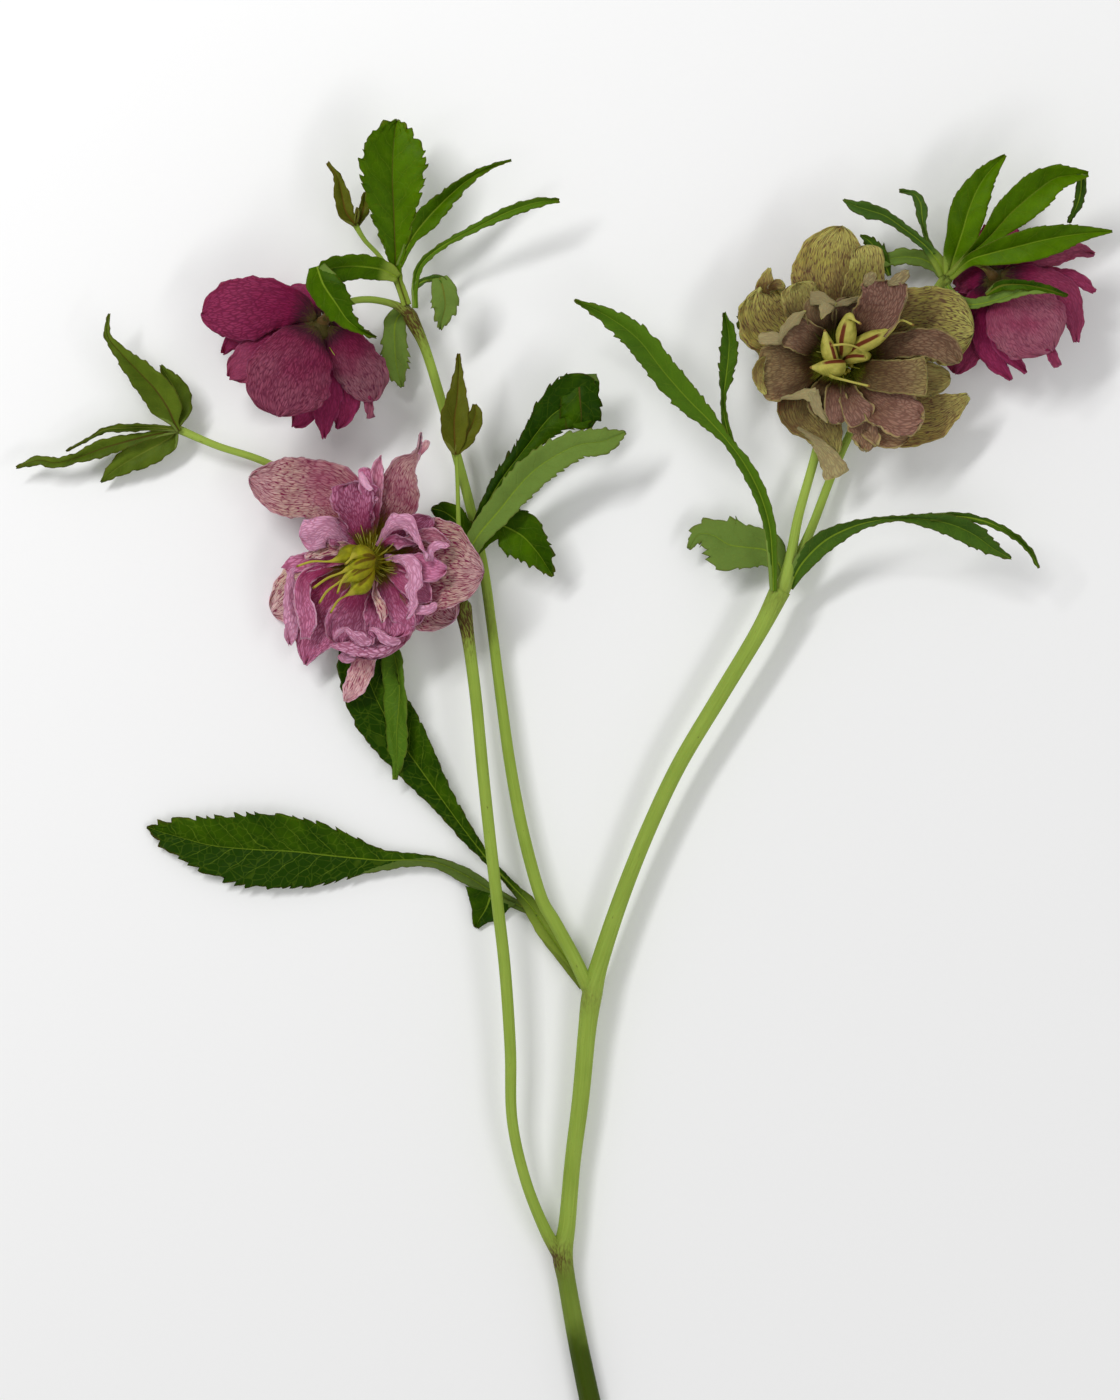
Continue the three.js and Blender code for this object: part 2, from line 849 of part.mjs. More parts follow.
        [-133, 124.2, 13.5, 2],
        [-136.9, 129.5, 13.5, 1.1],
        [-136.5, 135.9, 13, 0.4],
      ],
      { along: 7, fold: 10 },
    ],
    [
      [
        [-116.8, 101.6, 9.9, 1.1],
        [-115.6, 106.5, 8.6, 3.6],
        [-116.4, 112, 8.2, 4.3],
        [-118.6, 116.5, 8.4, 2.3],
        [-121, 120.6, 8.8, 0.4],
      ],
      { along: 5, fold: 8 },
    ],
    [
      [
        [-116, 101.2, 9.9, 0.9],
        [-124, 101.8, 9.8, 1.05],
        [-132.5, 101.6, 10, 1.35],
        [-138, 100.9, 10.2, 0.9],
        [-144, 97.6, 10.2, 0.45],
        [-149.6, 94.7, 10, 0.35],
      ],
      { along: 7, fold: 10 },
    ],
    [
      [
        [-116, 101, 9.8, 0.9],
        [-124.5, 99.4, 8.4, 1.3],
        [-132, 97.5, 8, 2.3],
        [-139, 95.4, 8, 2.7],
        [-146, 92.8, 7.6, 1.7],
        [-152.5, 91.2, 7.2, 1.7],
        [-158, 91.9, 7, 1.5],
        [-164.7, 89.8, 6.6, 0.4],
      ],
      { along: 7, fold: 10 },
    ],
    [
      [
        [-116.2, 101, 9.7, 0.9],
        [-119, 98.8, 6.6, 2.8],
        [-125.5, 95.2, 5.4, 4],
        [-131, 92, 5, 3.2],
        [-135.5, 89, 4.6, 2],
        [-139, 85.5, 4, 0.4],
      ],
      { along: 5, fold: 8 },
    ],
  ],
};

// Leaves wrapped round the two small buds, each with the bud in it.
const BUDS = {
  bud_beside_pink: {
    body: [
      [-32.1, 94.4, 17.2, 1],
      [-32.4, 97.5, 17.4, 1.7],
      [-32.5, 101, 17.6, 1.2],
    ],
    lobes: [
      [
        [
          [-32.2, 93.4, 18.4, 0.9],
          [-32.5, 98, 18.8, 3.4],
          [-32.6, 104, 19, 4.4],
          [-31.8, 110, 19, 3.3],
          [-31.5, 116, 18.4, 1.9],
          [-31.3, 120.5, 18, 0.9],
          [-31.5, 123.8, 17.5, 0.5],
        ],
        { along: 8, fold: 14 },
      ],
      [
        [
          [-31.8, 94, 18.4, 1],
          [-29, 99, 18.6, 2.8],
          [-26.4, 105, 19, 2.5],
          [-26.6, 108.6, 19, 0.5],
        ],
        { along: 5, fold: 10 },
      ],
    ],
  },
  bud_upper_left: {
    body: [
      [-62.5, 162.6, 13.6, 1],
      [-62, 164.6, 14.4, 1.7],
      [-61.8, 166.4, 14.6, 1.8],
      [-61.9, 167.9, 14.4, 0.8],
    ],
    lobes: [
      [
        [
          [-62.4, 162.6, 14.6, 1],
          [-65.2, 166.5, 15.4, 2.5],
          [-66.6, 172, 15.6, 2.4],
          [-67.8, 177, 15, 1.2],
          [-70.8, 181.4, 14, 0.4],
        ],
        { along: 7, fold: 16 },
      ],
      [
        [
          [-62, 162.6, 12.8, 0.9],
          [-60, 167, 12.4, 1.7],
          [-59.6, 172.6, 12.6, 0.4],
        ],
        { along: 4, fold: 12 },
      ],
    ],
  },
};

// ---------------------------------------------------------------- flowers

// `rise` is the height above the foot of the seat at which a whorl grows out of it.
const OUTER = { rise: 0.8, along: 6, across: 3, tip: 0.4, cup: 40 };
const INNER = { rise: 1.6, along: 4, across: 2, tip: 0.3, cup: 50, ruffle: 0.8 };
const POINTED = { ...INNER, tip: 0, ruffle: 0.5 };
// Tepals of the two flowers that lie face down are cupped away from above.
const OUTER_BACK = { ...OUTER, cup: -50 };
const INNER_BACK = { ...INNER, cup: -50 };
const POINTED_BACK = { ...POINTED, cup: -40 };

// Rows of a style, which follow those of the seed case below it: the two are one limb.
const style = (...places) => places.map((place) => [...place, STYLE_RADIUS]);

const FLOWERS = {
  flower_pink: {
    colour: "pink",
    base: [-57, 63, 15.2],
    axis: [-0.391, -0.261, 0.883],
    seatRadius: 5,
    tepals: [
      [
        [
          [-61, 72.5, 14.4, 6],
          [-66, 79, 12.8, 8.8],
          [-73, 82.6, 11.6, 9.6],
          [-80, 84.4, 11, 9.8],
          [-87, 86, 11.6, 8.8],
          [-94.2, 87.6, 13.2, 6],
        ],
        { ...OUTER, tip: 0.3 },
      ],
      [
        [
          [-53, 74, 19.4, 5.4],
          [-49.3, 82, 23, 6.8],
          [-46.5, 88.5, 26, 4.6],
          [-43, 94, 28, 1.2],
          [-42, 99.6, 28.6, 0.5],
        ],
        { ...OUTER, tip: 0, cup: 50 },
      ],
      [
        [
          [-48, 61, 17.6, 10],
          [-41, 59.6, 20, 16],
          [-33.5, 58.4, 22.6, 15.4],
          [-27.5, 57.2, 24.6, 11.8],
          [-24, 56.6, 25.6, 8],
        ],
        { ...OUTER, cup: 44 },
      ],
      [
        [
          [-48.6, 55.6, 14.8, 7],
          [-41.6, 50.8, 16, 9.4],
          [-36.4, 47, 17.4, 9.2],
          [-32.4, 44, 18.6, 6.8],
        ],
        { ...OUTER, along: 5, tip: 0.35 },
      ],
      [
        [
          [-57.8, 51, 12.8, 9],
          [-57.6, 44, 10.8, 12],
          [-57.4, 38, 10, 11.4],
          [-57, 32.5, 10.4, 7],
        ],
        { ...OUTER, cup: 20 },
      ],
      [
        [
          [-67, 58, 9.4, 8],
          [-75, 53.5, 4.8, 9.5],
          [-82, 49.5, 1.6, 9],
          [-87.8, 46.3, 0.4, 6.5],
        ],
        { ...OUTER, cup: 24 },
      ],
      [
        [
          [-58.5, 46, 10, 3.4],
          [-59.3, 36, 8.6, 3.8],
          [-60.8, 28, 8.4, 3.6],
          [-65.2, 20.4, 8.6, 2.3],
        ],
        { ...OUTER, along: 6, across: 2, tip: 0.2 },
      ],
      [
        [
          [-61, 72, 23.5, 4.4],
          [-63.2, 78.4, 27.6, 7.6],
          [-64.6, 83.8, 29.6, 7.4],
        ],
        { ...INNER, cup: 90, across: 3 },
      ],
      [
        [
          [-58.5, 77, 23.4, 2.6],
          [-58.6, 85, 26.4, 3.2],
          [-56, 92.6, 27.4, 0.6],
        ],
        POINTED,
      ],
      [
        [
          [-66, 66.8, 21.6, 4],
          [-72.5, 68.5, 23.4, 5.6],
          [-79, 69, 22, 5.4],
        ],
        INNER,
      ],
      [
        [
          [-68, 62.2, 17.6, 3.2],
          [-76, 61.3, 15.8, 3.8],
          [-83.6, 59.8, 13, 3.2],
        ],
        INNER,
      ],
      [
        [
          [-68, 57, 16, 5],
          [-75, 52, 14.2, 6.5],
          [-79.5, 45, 12.4, 5.4],
          [-81.8, 37, 10.8, 0.8],
        ],
        POINTED,
      ],
      [
        [
          [-68, 55.5, 19.6, 4.5],
          [-73.5, 50, 19.6, 5.2],
          [-76.5, 43.5, 18, 4.2],
          [-77.6, 38.2, 16, 1.6],
        ],
        POINTED,
      ],
      [
        [
          [-65, 52, 13.8, 5.4],
          [-70.5, 44, 11.6, 7.4],
          [-74.5, 37, 9.4, 5.8],
          [-77.4, 30.6, 8.4, 0.9],
        ],
        { ...POINTED, along: 5 },
      ],
      [
        [
          [-60.5, 51, 17.6, 4.5],
          [-62.5, 43, 17.4, 6.2],
          [-65, 36, 15.4, 5],
          [-66.8, 31, 13, 1.6],
        ],
        { ...INNER, ruffle: 1.5 },
      ],
      [
        [
          [-56, 52, 23, 1.9],
          [-54.2, 46.5, 23.4, 1.8],
          [-54.6, 42.6, 22.6, 0.5],
        ],
        POINTED,
      ],
      [
        [
          [-53.5, 52, 21, 4.5],
          [-52.3, 45, 21.4, 6.4],
          [-52, 37, 19.6, 5.4],
        ],
        { ...INNER, ruffle: 1.2 },
      ],
      [
        [
          [-50, 61, 26, 2.6],
          [-46.5, 57.5, 30, 3.6],
          [-45.3, 51, 30, 3.2],
          [-46, 44.8, 28, 1.2],
        ],
        INNER,
      ],
      [
        [
          [-51, 69, 25.6, 4],
          [-47.5, 71.6, 30, 4.8],
          [-44.5, 68, 32.4, 3.6],
          [-41.2, 61.6, 32.6, 0.6],
        ],
        POINTED,
      ],
      [
        [
          [-48, 69, 21.8, 4.5],
          [-43.5, 72, 24.6, 5],
          [-39.6, 74.6, 27, 3.8],
        ],
        INNER,
      ],
      [
        [
          [-46, 63.5, 24, 4],
          [-40, 63.5, 28.4, 5.4],
          [-35, 62, 30.6, 5.4],
        ],
        { ...INNER, ruffle: 1.5 },
      ],
      [
        [
          [-48, 56.5, 22, 4],
          [-42, 51.5, 25.4, 4.9],
          [-38.4, 47.5, 27, 3.8],
        ],
        INNER,
      ],
      [
        [
          [-51, 54, 18.8, 4.5],
          [-47, 48, 19.8, 6],
          [-43.6, 42.6, 20.8, 4.6],
        ],
        INNER,
      ],
    ],
    flaps: [
      [
        [
          [-43, 93.2, 28, 0.6],
          [-41.6, 95.4, 28.4, 1.2],
          [-40.5, 97.6, 28.6, 0.8],
        ],
        { ...INNER, along: 3, tip: 0, cup: 0, ruffle: 0 },
      ],
    ],
    carpels: [
      [
        [-61, 64.4, 25, 2.5],
        [-64.5, 64.5, 30, 2.3],
        ...style([-68, 63.3, 33.4], [-72, 62, 34], [-75.4, 61.2, 33]),
      ],
      [
        [-59.6, 64.8, 26, 2.3],
        [-61, 65.6, 31, 1.9],
        ...style([-62.8, 65, 35], [-66, 62.6, 38]),
      ],
      [
        [-62, 61.3, 26, 2.4],
        [-66.5, 60.5, 31, 2.1],
        ...style([-70.8, 60.8, 33.4], [-76, 60, 33.4], [-82.4, 59.4, 31]),
      ],
      [
        [-60.6, 59.4, 27, 2.5],
        [-64, 58, 33, 2.2],
        ...style([-67, 56.8, 36.4], [-71, 55.6, 37.4], [-74.6, 53.2, 36]),
      ],
      [
        [-60, 57.5, 25, 2.4],
        [-62.5, 54.8, 30, 2.1],
        ...style([-66.4, 53, 32.4], [-70.4, 51.8, 32.6], [-73, 48.6, 31]),
      ],
      [
        [-58.4, 56.6, 24, 2.4],
        [-60.5, 53, 29, 2.3],
        ...style([-63.4, 51.2, 30.4], [-66.6, 49.4, 30], [-69.4, 46, 28]),
      ],
    ],
  },
  flower_olive: {
    colour: "olive",
    base: [83.4, 121, 11.9],
    axis: [0, 0, 1],
    seatRadius: 5,
    tepals: [
      [
        [
          [82.8, 131, 15.5, 9],
          [82.5, 139, 17, 12.5],
          [82.6, 147, 18.5, 13.7],
          [83, 154.5, 20.5, 11.6],
          [83.8, 161.6, 22, 8],
        ],
        OUTER,
      ],
      [
        [
          [73.5, 126.5, 13.4, 8],
          [67.4, 132, 14.4, 11.4],
          [62.4, 137, 16, 12.6],
          [57.2, 141, 17.6, 10.6],
        ],
        { ...OUTER, tip: 0.3 },
      ],
      [
        [
          [94, 126, 15, 8],
          [103, 130, 16, 10.8],
          [111.5, 132.6, 17.5, 11],
          [118, 133.6, 19, 9.2],
          [123.4, 134, 20, 6.5],
        ],
        { ...OUTER, tip: 0.3 },
      ],
      [
        [
          [92.5, 112, 12.8, 8.5],
          [100.5, 106.6, 12.6, 10.5],
          [109.5, 105.2, 13, 8.6],
          [116, 107.6, 14, 4.8],
          [121.6, 111, 15, 0.9],
        ],
        { ...OUTER, tip: 0 },
      ],
      [
        [
          [77, 113, 14, 8],
          [74.4, 107.6, 14, 9.8],
          [74.8, 101.8, 13.8, 8],
          [77.4, 96.4, 13.8, 4.6],
        ],
        { ...OUTER, rise: 1.8, tip: 0.2 },
      ],
      [
        [
          [87, 134, 18.6, 4.5],
          [90, 143, 21, 6.5],
          [90.8, 150, 23, 6.4],
          [91.5, 156, 24.4, 5],
        ],
        INNER,
      ],
      [
        [
          [89.5, 130.5, 24.4, 5],
          [94, 136.5, 28.4, 7],
          [97, 142, 30, 7.2],
          [97.5, 147, 30, 6],
        ],
        { ...INNER, tip: 0.2, ruffle: 1.4 },
      ],
      [
        [
          [78.5, 131, 23, 3.2],
          [77, 136.5, 26, 4.2],
          [75.5, 142, 26, 2.8],
        ],
        INNER,
      ],
      [
        [
          [84, 131.4, 21.8, 3],
          [85, 136, 24.2, 4.2],
          [86.6, 140.6, 25, 2.8],
        ],
        INNER,
      ],
      [
        [
          [76, 131, 19, 5],
          [72, 138, 21, 6.8],
          [69.6, 144.4, 22, 5.4],
        ],
        INNER,
      ],
      [
        [
          [74, 126.5, 21, 4.6],
          [68.5, 129.5, 23.4, 6],
          [64, 130.6, 24.4, 5],
        ],
        INNER,
      ],
      [
        [
          [70, 125.5, 19.8, 4.2],
          [63.5, 128, 22.2, 3.6],
          [58.4, 129, 23.4, 2.4],
        ],
        INNER,
      ],
      [
        [
          [72.5, 120.8, 16.2, 6.5],
          [66, 118.4, 17, 8.6],
          [61, 116, 18.6, 7.8],
          [57.6, 115.4, 20.4, 6],
        ],
        { ...INNER, along: 5 },
      ],
      [
        [
          [75.5, 113.6, 21, 2.3],
          [70.5, 111.2, 23, 1.9],
          [65.8, 110, 23, 0.5],
        ],
        POINTED,
      ],
      [
        [
          [77.5, 112, 18.8, 2.7],
          [77, 107.5, 20, 2.6],
          [79.3, 103.2, 19.6, 0.7],
        ],
        POINTED,
      ],
      [
        [
          [81.8, 111, 21.4, 2.7],
          [82.3, 105.5, 22.6, 2.8],
          [83.8, 101.6, 22.4, 1.4],
        ],
        INNER,
      ],
      [
        [
          [90, 112.5, 20, 6],
          [96.5, 108, 22, 7.8],
          [103, 105.8, 23, 7],
          [109, 105, 23, 5],
        ],
        { ...INNER, along: 5 },
      ],
      [
        [
          [88.5, 106, 19.4, 4.4],
          [90.2, 100.5, 19.6, 4.8],
          [91, 94.8, 18.6, 2.6],
        ],
        INNER,
      ],
      [
        [
          [93, 118.4, 21.2, 5],
          [100, 116.6, 24, 5.6],
          [109.5, 116.4, 25, 5.6],
        ],
        { ...INNER, tip: 0.1 },
      ],
      [
        [
          [95, 124.4, 19.5, 4],
          [103, 126, 21, 4.6],
          [111, 124.6, 22, 5.4],
          [117.4, 121.6, 22, 4.8],
        ],
        INNER,
      ],
      [
        [
          [98, 117.4, 15.2, 4.2],
          [108, 116.2, 15.7, 5.4],
          [116.2, 116, 16, 4.4],
        ],
        { ...INNER, cup: 20, ruffle: 0.3 },
      ],
    ],
    flaps: [
      [
        [
          [75, 99.8, 13.6, 1.6],
          [78.4, 94.8, 13.8, 2.8],
          [81, 90.2, 13.6, 3.9],
          [81.7, 85.6, 13.2, 3.4],
        ],
        { ...INNER, tip: 0.15, cup: 10, ruffle: 0 },
      ],
    ],
    carpels: [
      [
        [84.6, 126, 22, 2.6],
        [84.9, 130, 26, 3.1],
        [85.8, 134.4, 28, 1.5],
        ...style([87.3, 133.4, 29.6], [89, 132.4, 29.6]),
      ],
      [
        [89, 126, 22, 2.6],
        [93.5, 128.3, 25, 2.4],
        [97.6, 130.6, 27, 1],
        ...style([101, 133.4, 28.4], [104.8, 132.1, 28]),
      ],
      [
        [80.3, 122.6, 23, 2.2],
        [79.3, 125.8, 25, 2.2],
        ...style([78.4, 130.4, 26.4]),
      ],
      [
        [82, 119.4, 23, 2.8],
        [78.5, 119.3, 25, 2.3],
        ...style([74.2, 119.4, 26]),
      ],
      [
        [80, 117, 26, 0.6],
        ...style([84.5, 115.5, 27.4], [91.6, 113.8, 27]),
      ],
      [
        [87.5, 123, 21, 2.3],
        [91.3, 123, 22, 1.2],
        ...style([88.5, 125.2, 25.6], [84.6, 126.2, 28.6], [80.4, 125.9, 29.4]),
      ],
    ],
  },
  flower_upper_left: {
    colour: "magenta",
    base: [-71.8, 133.2, 27],
    axis: [-0.352, -0.755, -0.553],
    seatRadius: 3.6,
    tepals: [
      [
        [
          [-80, 136.5, 26, 6],
          [-88, 137.3, 24.5, 9],
          [-96.5, 136.8, 22, 10.4],
          [-103.5, 136, 19, 9.6],
          [-108.6, 135.4, 16, 7],
        ],
        { ...OUTER_BACK, tip: 0.3 },
      ],
      [
        [
          [-76, 126, 31, 8.5],
          [-79.5, 119.5, 33, 12.8],
          [-82, 113, 33, 13.4],
          [-83.8, 107.5, 31.5, 10.8],
          [-84.5, 104.8, 30.5, 8.4],
        ],
        { ...OUTER_BACK, tip: 0.25 },
      ],
      [
        [
          [-66, 126.5, 27, 5.8],
          [-61.8, 120.5, 25.5, 7.6],
          [-58.5, 115, 23.5, 7.5],
          [-56.5, 109.6, 21.5, 5.6],
        ],
        { ...OUTER_BACK, tip: 0.35 },
      ],
      [
        [
          [-76.4, 138, 20, 5],
          [-80, 140.6, 13, 7.5],
          [-84, 141.4, 6, 8],
          [-87, 140.6, 0.8, 6],
        ],
        OUTER_BACK,
      ],
      [
        [
          [-69, 134.8, 20, 5],
          [-67, 133, 12, 7],
          [-66.5, 130, 5.6, 7],
          [-66, 126, 0.4, 5.6],
        ],
        OUTER_BACK,
      ],
      [
        [
          [-85, 130, 20, 5],
          [-95, 128.5, 16, 5],
          [-100, 127, 14, 2.6],
          [-102.2, 123.8, 13, 0.6],
        ],
        POINTED_BACK,
      ],
      [
        [
          [-84, 127, 22, 5.5],
          [-92, 122.5, 20, 7],
          [-98, 118.6, 17, 4.6],
          [-100.4, 116.6, 16, 1.2],
        ],
        POINTED_BACK,
      ],
      [
        [
          [-76.5, 119, 21.4, 5.5],
          [-78, 110, 18.8, 6],
          [-78.5, 105, 17, 4],
          [-81, 101.8, 16, 0.8],
        ],
        POINTED_BACK,
      ],
      [
        [
          [-70.5, 118, 23.4, 4.5],
          [-71, 109, 21, 4.6],
          [-71.5, 103.5, 19.2, 3],
          [-71.8, 98.4, 17.4, 0.7],
        ],
        POINTED_BACK,
      ],
      [
        [
          [-67, 118, 21.8, 4.5],
          [-65.6, 110, 19.4, 5],
          [-66.4, 104.5, 17.6, 2.9],
          [-67.8, 101.2, 16.6, 0.7],
        ],
        POINTED_BACK,
      ],
      [
        [
          [-79.5, 124, 15, 5],
          [-83, 118, 7, 6],
          [-84, 114, 1.4, 4],
        ],
        INNER_BACK,
      ],
      [
        [
          [-70, 121, 15, 5],
          [-69, 114, 7, 6],
          [-68.5, 109, 1.4, 4],
        ],
        INNER_BACK,
      ],
    ],
    flaps: [
      [
        [
          [-58.6, 111.5, 22, 1.4],
          [-58.2, 107.6, 21, 1.3],
          [-57.6, 104.4, 20.4, 1.3],
        ],
        { ...INNER_BACK, along: 3, tip: 0 },
      ],
    ],
    carpels: [
      [
        [-77, 125, 17, 2.2],
        [-79, 120, 13, 1.6],
        ...style([-79.4, 115, 10.4], [-78, 111, 9.4]),
      ],
      [
        [-73.6, 123.6, 18, 2.2],
        [-74.4, 118.4, 15, 1.6],
        ...style([-75, 113, 13], [-77, 109, 13]),
      ],
      [
        [-75.4, 126, 15, 2.2],
        [-76, 121.6, 10.4, 1.6],
        ...style([-74.6, 117, 7.6], [-72.6, 114, 7]),
      ],
    ],
  },
  flower_upper_right: {
    colour: "magenta",
    base: [128.9, 147, 22],
    axis: [0.401, -0.381, -0.833],
    seatRadius: 3.6,
    tepals: [
      [
        [
          [133, 141.5, 24.4, 8],
          [136.5, 136.5, 25.6, 11.7],
          [140.5, 131.5, 25.6, 12.2],
          [144, 127.3, 24.6, 10.4],
          [146.2, 124.4, 23.2, 8],
        ],
        { ...OUTER_BACK, tip: 0.3 },
      ],
      [
        [
          [126, 139.6, 16, 5],
          [122.8, 132, 12.8, 7.4],
          [120.2, 125.5, 11.4, 6.8],
          [118, 118, 10.6, 4.4],
        ],
        { ...OUTER_BACK, tip: 0.3 },
      ],
      [
        [
          [137, 146.6, 22.4, 4],
          [144.5, 144.3, 22, 5.2],
          [150.6, 140.3, 20.5, 5.4],
          [153.4, 134, 19, 3.2],
          [154, 127.2, 17.5, 0.6],
        ],
        { ...OUTER_BACK, tip: 0, cup: -30 },
      ],
      [
        [
          [139, 151.3, 21, 2.6],
          [147, 153, 20, 3.2],
          [153.5, 155, 19, 2.6],
          [159.5, 153.4, 18.5, 0.7],
        ],
        { ...POINTED_BACK, along: 6 },
      ],
      [
        [
          [140, 150, 19.4, 2.2],
          [149, 149, 18.6, 2.6],
          [155.5, 147, 17.6, 3],
          [159.8, 142.4, 16.6, 0.9],
        ],
        { ...POINTED_BACK, along: 6 },
      ],
      [
        [
          [131.5, 153, 16.6, 5.5],
          [134, 157.5, 12.6, 7.2],
          [136, 161.6, 9.6, 5.4],
        ],
        OUTER_BACK,
      ],
      [
        [
          [126.3, 154, 13.8, 3.6],
          [126.8, 159, 9.4, 2.8],
          [127.3, 162.8, 8.4, 0.7],
        ],
        POINTED_BACK,
      ],
      [
        [
          [123, 147, 15.4, 4.2],
          [119.6, 145.6, 10.4, 3.6],
          [117.4, 144.4, 6, 1.2],
        ],
        POINTED_BACK,
      ],
      [
        [
          [124.6, 142, 13.4, 3.6],
          [121.6, 139.6, 7.6, 4],
          [120, 137, 3.2, 2.6],
        ],
        INNER_BACK,
      ],
      [
        [
          [127, 135, 16.6, 3.4],
          [127.5, 127.5, 14.6, 4.4],
          [130.5, 121, 13, 3.1],
          [134.8, 116, 12.4, 0.6],
        ],
        POINTED_BACK,
      ],
      [
        [
          [131, 133, 19, 4],
          [133, 125.5, 17.6, 3.3],
          [139.1, 118, 16.6, 0.6],
        ],
        POINTED_BACK,
      ],
      [
        [
          [138, 145, 12, 5],
          [143, 142, 6, 6],
          [146, 139, 1, 4],
        ],
        INNER_BACK,
      ],
      [
        [
          [131.6, 137, 10, 5],
          [133, 130, 4.6, 6],
          [134, 125.4, 0.8, 4],
        ],
        INNER_BACK,
      ],
    ],
    flaps: [
      [
        [
          [144.6, 127, 24, 1.5],
          [147, 122.5, 22.8, 1.7],
          [148.4, 119.6, 22.2, 1.3],
        ],
        { ...INNER_BACK, along: 3, tip: 0 },
      ],
    ],
    carpels: [
      [
        [134, 142.6, 12.6, 2.2],
        [137, 139.6, 9.4, 1.6],
        ...style([139.4, 136.4, 7.4], [139.6, 133, 6.6]),
      ],
      [
        [131.6, 143.6, 11.4, 2.2],
        [133, 141, 7.4, 1.6],
        ...style([135, 138, 4.6], [137.4, 136.6, 3.6]),
      ],
      [
        [134.4, 145.2, 11.4, 2.1],
        [137.4, 143.6, 7.4, 1.5],
        ...style([139.6, 141, 4.8], [140, 138, 3.8]),
      ],
    ],
  },
};

// The round seat at the top of a flower stalk, out of which the whole flower grows.
function seatSolid({ base, axis, seatRadius }) {
  const foot = new THREE.Vector3(...base);
  const face = foot.clone().addScaledVector(new THREE.Vector3(...axis), SEAT_HEIGHT);
  return limb([[...foot, seatRadius - SEAT_FLARE], [...face, seatRadius]], STEM_SIDES);
}

// Puts a first row before the others, in the direction of the next one: `height` above the
// foot of the seat, `reach` out from the flower's axis.
function rooted(rows, { base, axis }, height, reach, size) {
  const up = new THREE.Vector3(...axis);
  const foot = new THREE.Vector3(...base);
  const [x, y, z] = rows[0];
  const out = new THREE.Vector3(x, y, z).sub(foot).projectOnPlane(up).setLength(reach);
  return [[...foot.addScaledVector(up, height).add(out), size], ...rows];
}

// Every other tepal grows out of the seat a little higher, so that neighbours overlap.
const rootedBlade = (flower) => ([rows, options], k) => {
  const rise = options.rise + (k % 2) * RISE_STEP;
  return blade(
    rooted(rows, flower, rise, flower.seatRadius - ROOT_INSET, ROOT_HALF_WIDTH),
    options,
  );
};

// The ring of nectaries round the foot of the carpels, as one low collar.
function nectaryCollar({ base, axis, seatRadius }, extra) {
  const up = new THREE.Vector3(...axis);
  const foot = new THREE.Vector3(...base).addScaledVector(up, SEAT_HEIGHT + CENTRE_LIFT);
  const mouth = foot.clone().addScaledVector(up, NECTARY_HEIGHT);
  const radius = seatRadius / 2;
  return limb([[...foot, radius], [...mouth, radius + NECTARY_FLARE]], STEM_SIDES, extra);
}

// The carpels with their styles and nectaries, grown on all sides by `extra`.
function centreSolid(flower, extra = 0) {
  const height = SEAT_HEIGHT + CENTRE_LIFT;
  const { reach, radius } = CARPEL_ROOT;
  const carpels = flower.carpels.map((rows) =>
    limb(rooted(rows, flower, height, reach, radius), CARPEL_SIDES, extra),
  );
  return join([...carpels, nectaryCollar(flower, extra)]);
}

// ---------------------------------------------------------------- assembly

addNode("stem", stem, COLOURS.stem);

for (const [name, lobes] of Object.entries(LEAVES)) {
  const whole = join(lobes.map(([rows, options]) => blade(rows, options)));
  addNode(name, offStem(whole), COLOURS.leaf);
}

for (const [name, { body, lobes }] of Object.entries(BUDS)) {
  const wrap = lobes.map(([rows, options]) => blade(rows, options));
  addNode(name, offStem(join([limb(body), ...wrap])), COLOURS.bract);
}

for (const [name, flower] of Object.entries(FLOWERS)) {
  const tepals = flower.tepals.map(rootedBlade(flower));
  const flaps = flower.flaps.map(([rows, options]) => blade(rows, options));
  const corolla = join([seatSolid(flower), ...tepals, ...flaps]).subtract(stemRoom);
  addNode(name, mainBody(corolla.subtract(centreSolid(flower, CLEARANCE))), COLOURS[flower.colour]);
  addNode(`${name}_centre`, mainBody(centreSolid(flower)), COLOURS.centre);
}

export default part;
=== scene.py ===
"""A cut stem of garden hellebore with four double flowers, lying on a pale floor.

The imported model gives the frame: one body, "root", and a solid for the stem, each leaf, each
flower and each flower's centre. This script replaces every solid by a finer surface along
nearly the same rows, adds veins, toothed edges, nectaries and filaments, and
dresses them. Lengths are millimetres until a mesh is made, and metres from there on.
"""

from __future__ import annotations

import logging
import math
from dataclasses import dataclass, fields, replace
from enum import Enum
from typing import TypeAlias

import bpy
import numpy as np
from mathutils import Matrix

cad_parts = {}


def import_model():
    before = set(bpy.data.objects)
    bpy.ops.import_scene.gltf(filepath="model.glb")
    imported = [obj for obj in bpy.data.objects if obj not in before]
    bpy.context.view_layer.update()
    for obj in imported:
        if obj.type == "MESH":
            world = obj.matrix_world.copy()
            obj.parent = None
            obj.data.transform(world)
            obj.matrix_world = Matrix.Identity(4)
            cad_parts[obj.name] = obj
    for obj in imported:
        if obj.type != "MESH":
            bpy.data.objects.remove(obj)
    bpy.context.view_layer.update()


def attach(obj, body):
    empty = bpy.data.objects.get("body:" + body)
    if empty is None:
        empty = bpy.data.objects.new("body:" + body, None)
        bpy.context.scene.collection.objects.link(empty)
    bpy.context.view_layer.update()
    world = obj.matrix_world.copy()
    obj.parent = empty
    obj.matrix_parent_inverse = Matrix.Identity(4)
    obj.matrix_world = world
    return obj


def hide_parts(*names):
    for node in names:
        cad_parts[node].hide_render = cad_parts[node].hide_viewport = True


LOG = logging.getLogger("hellebore")

MM = 0.001

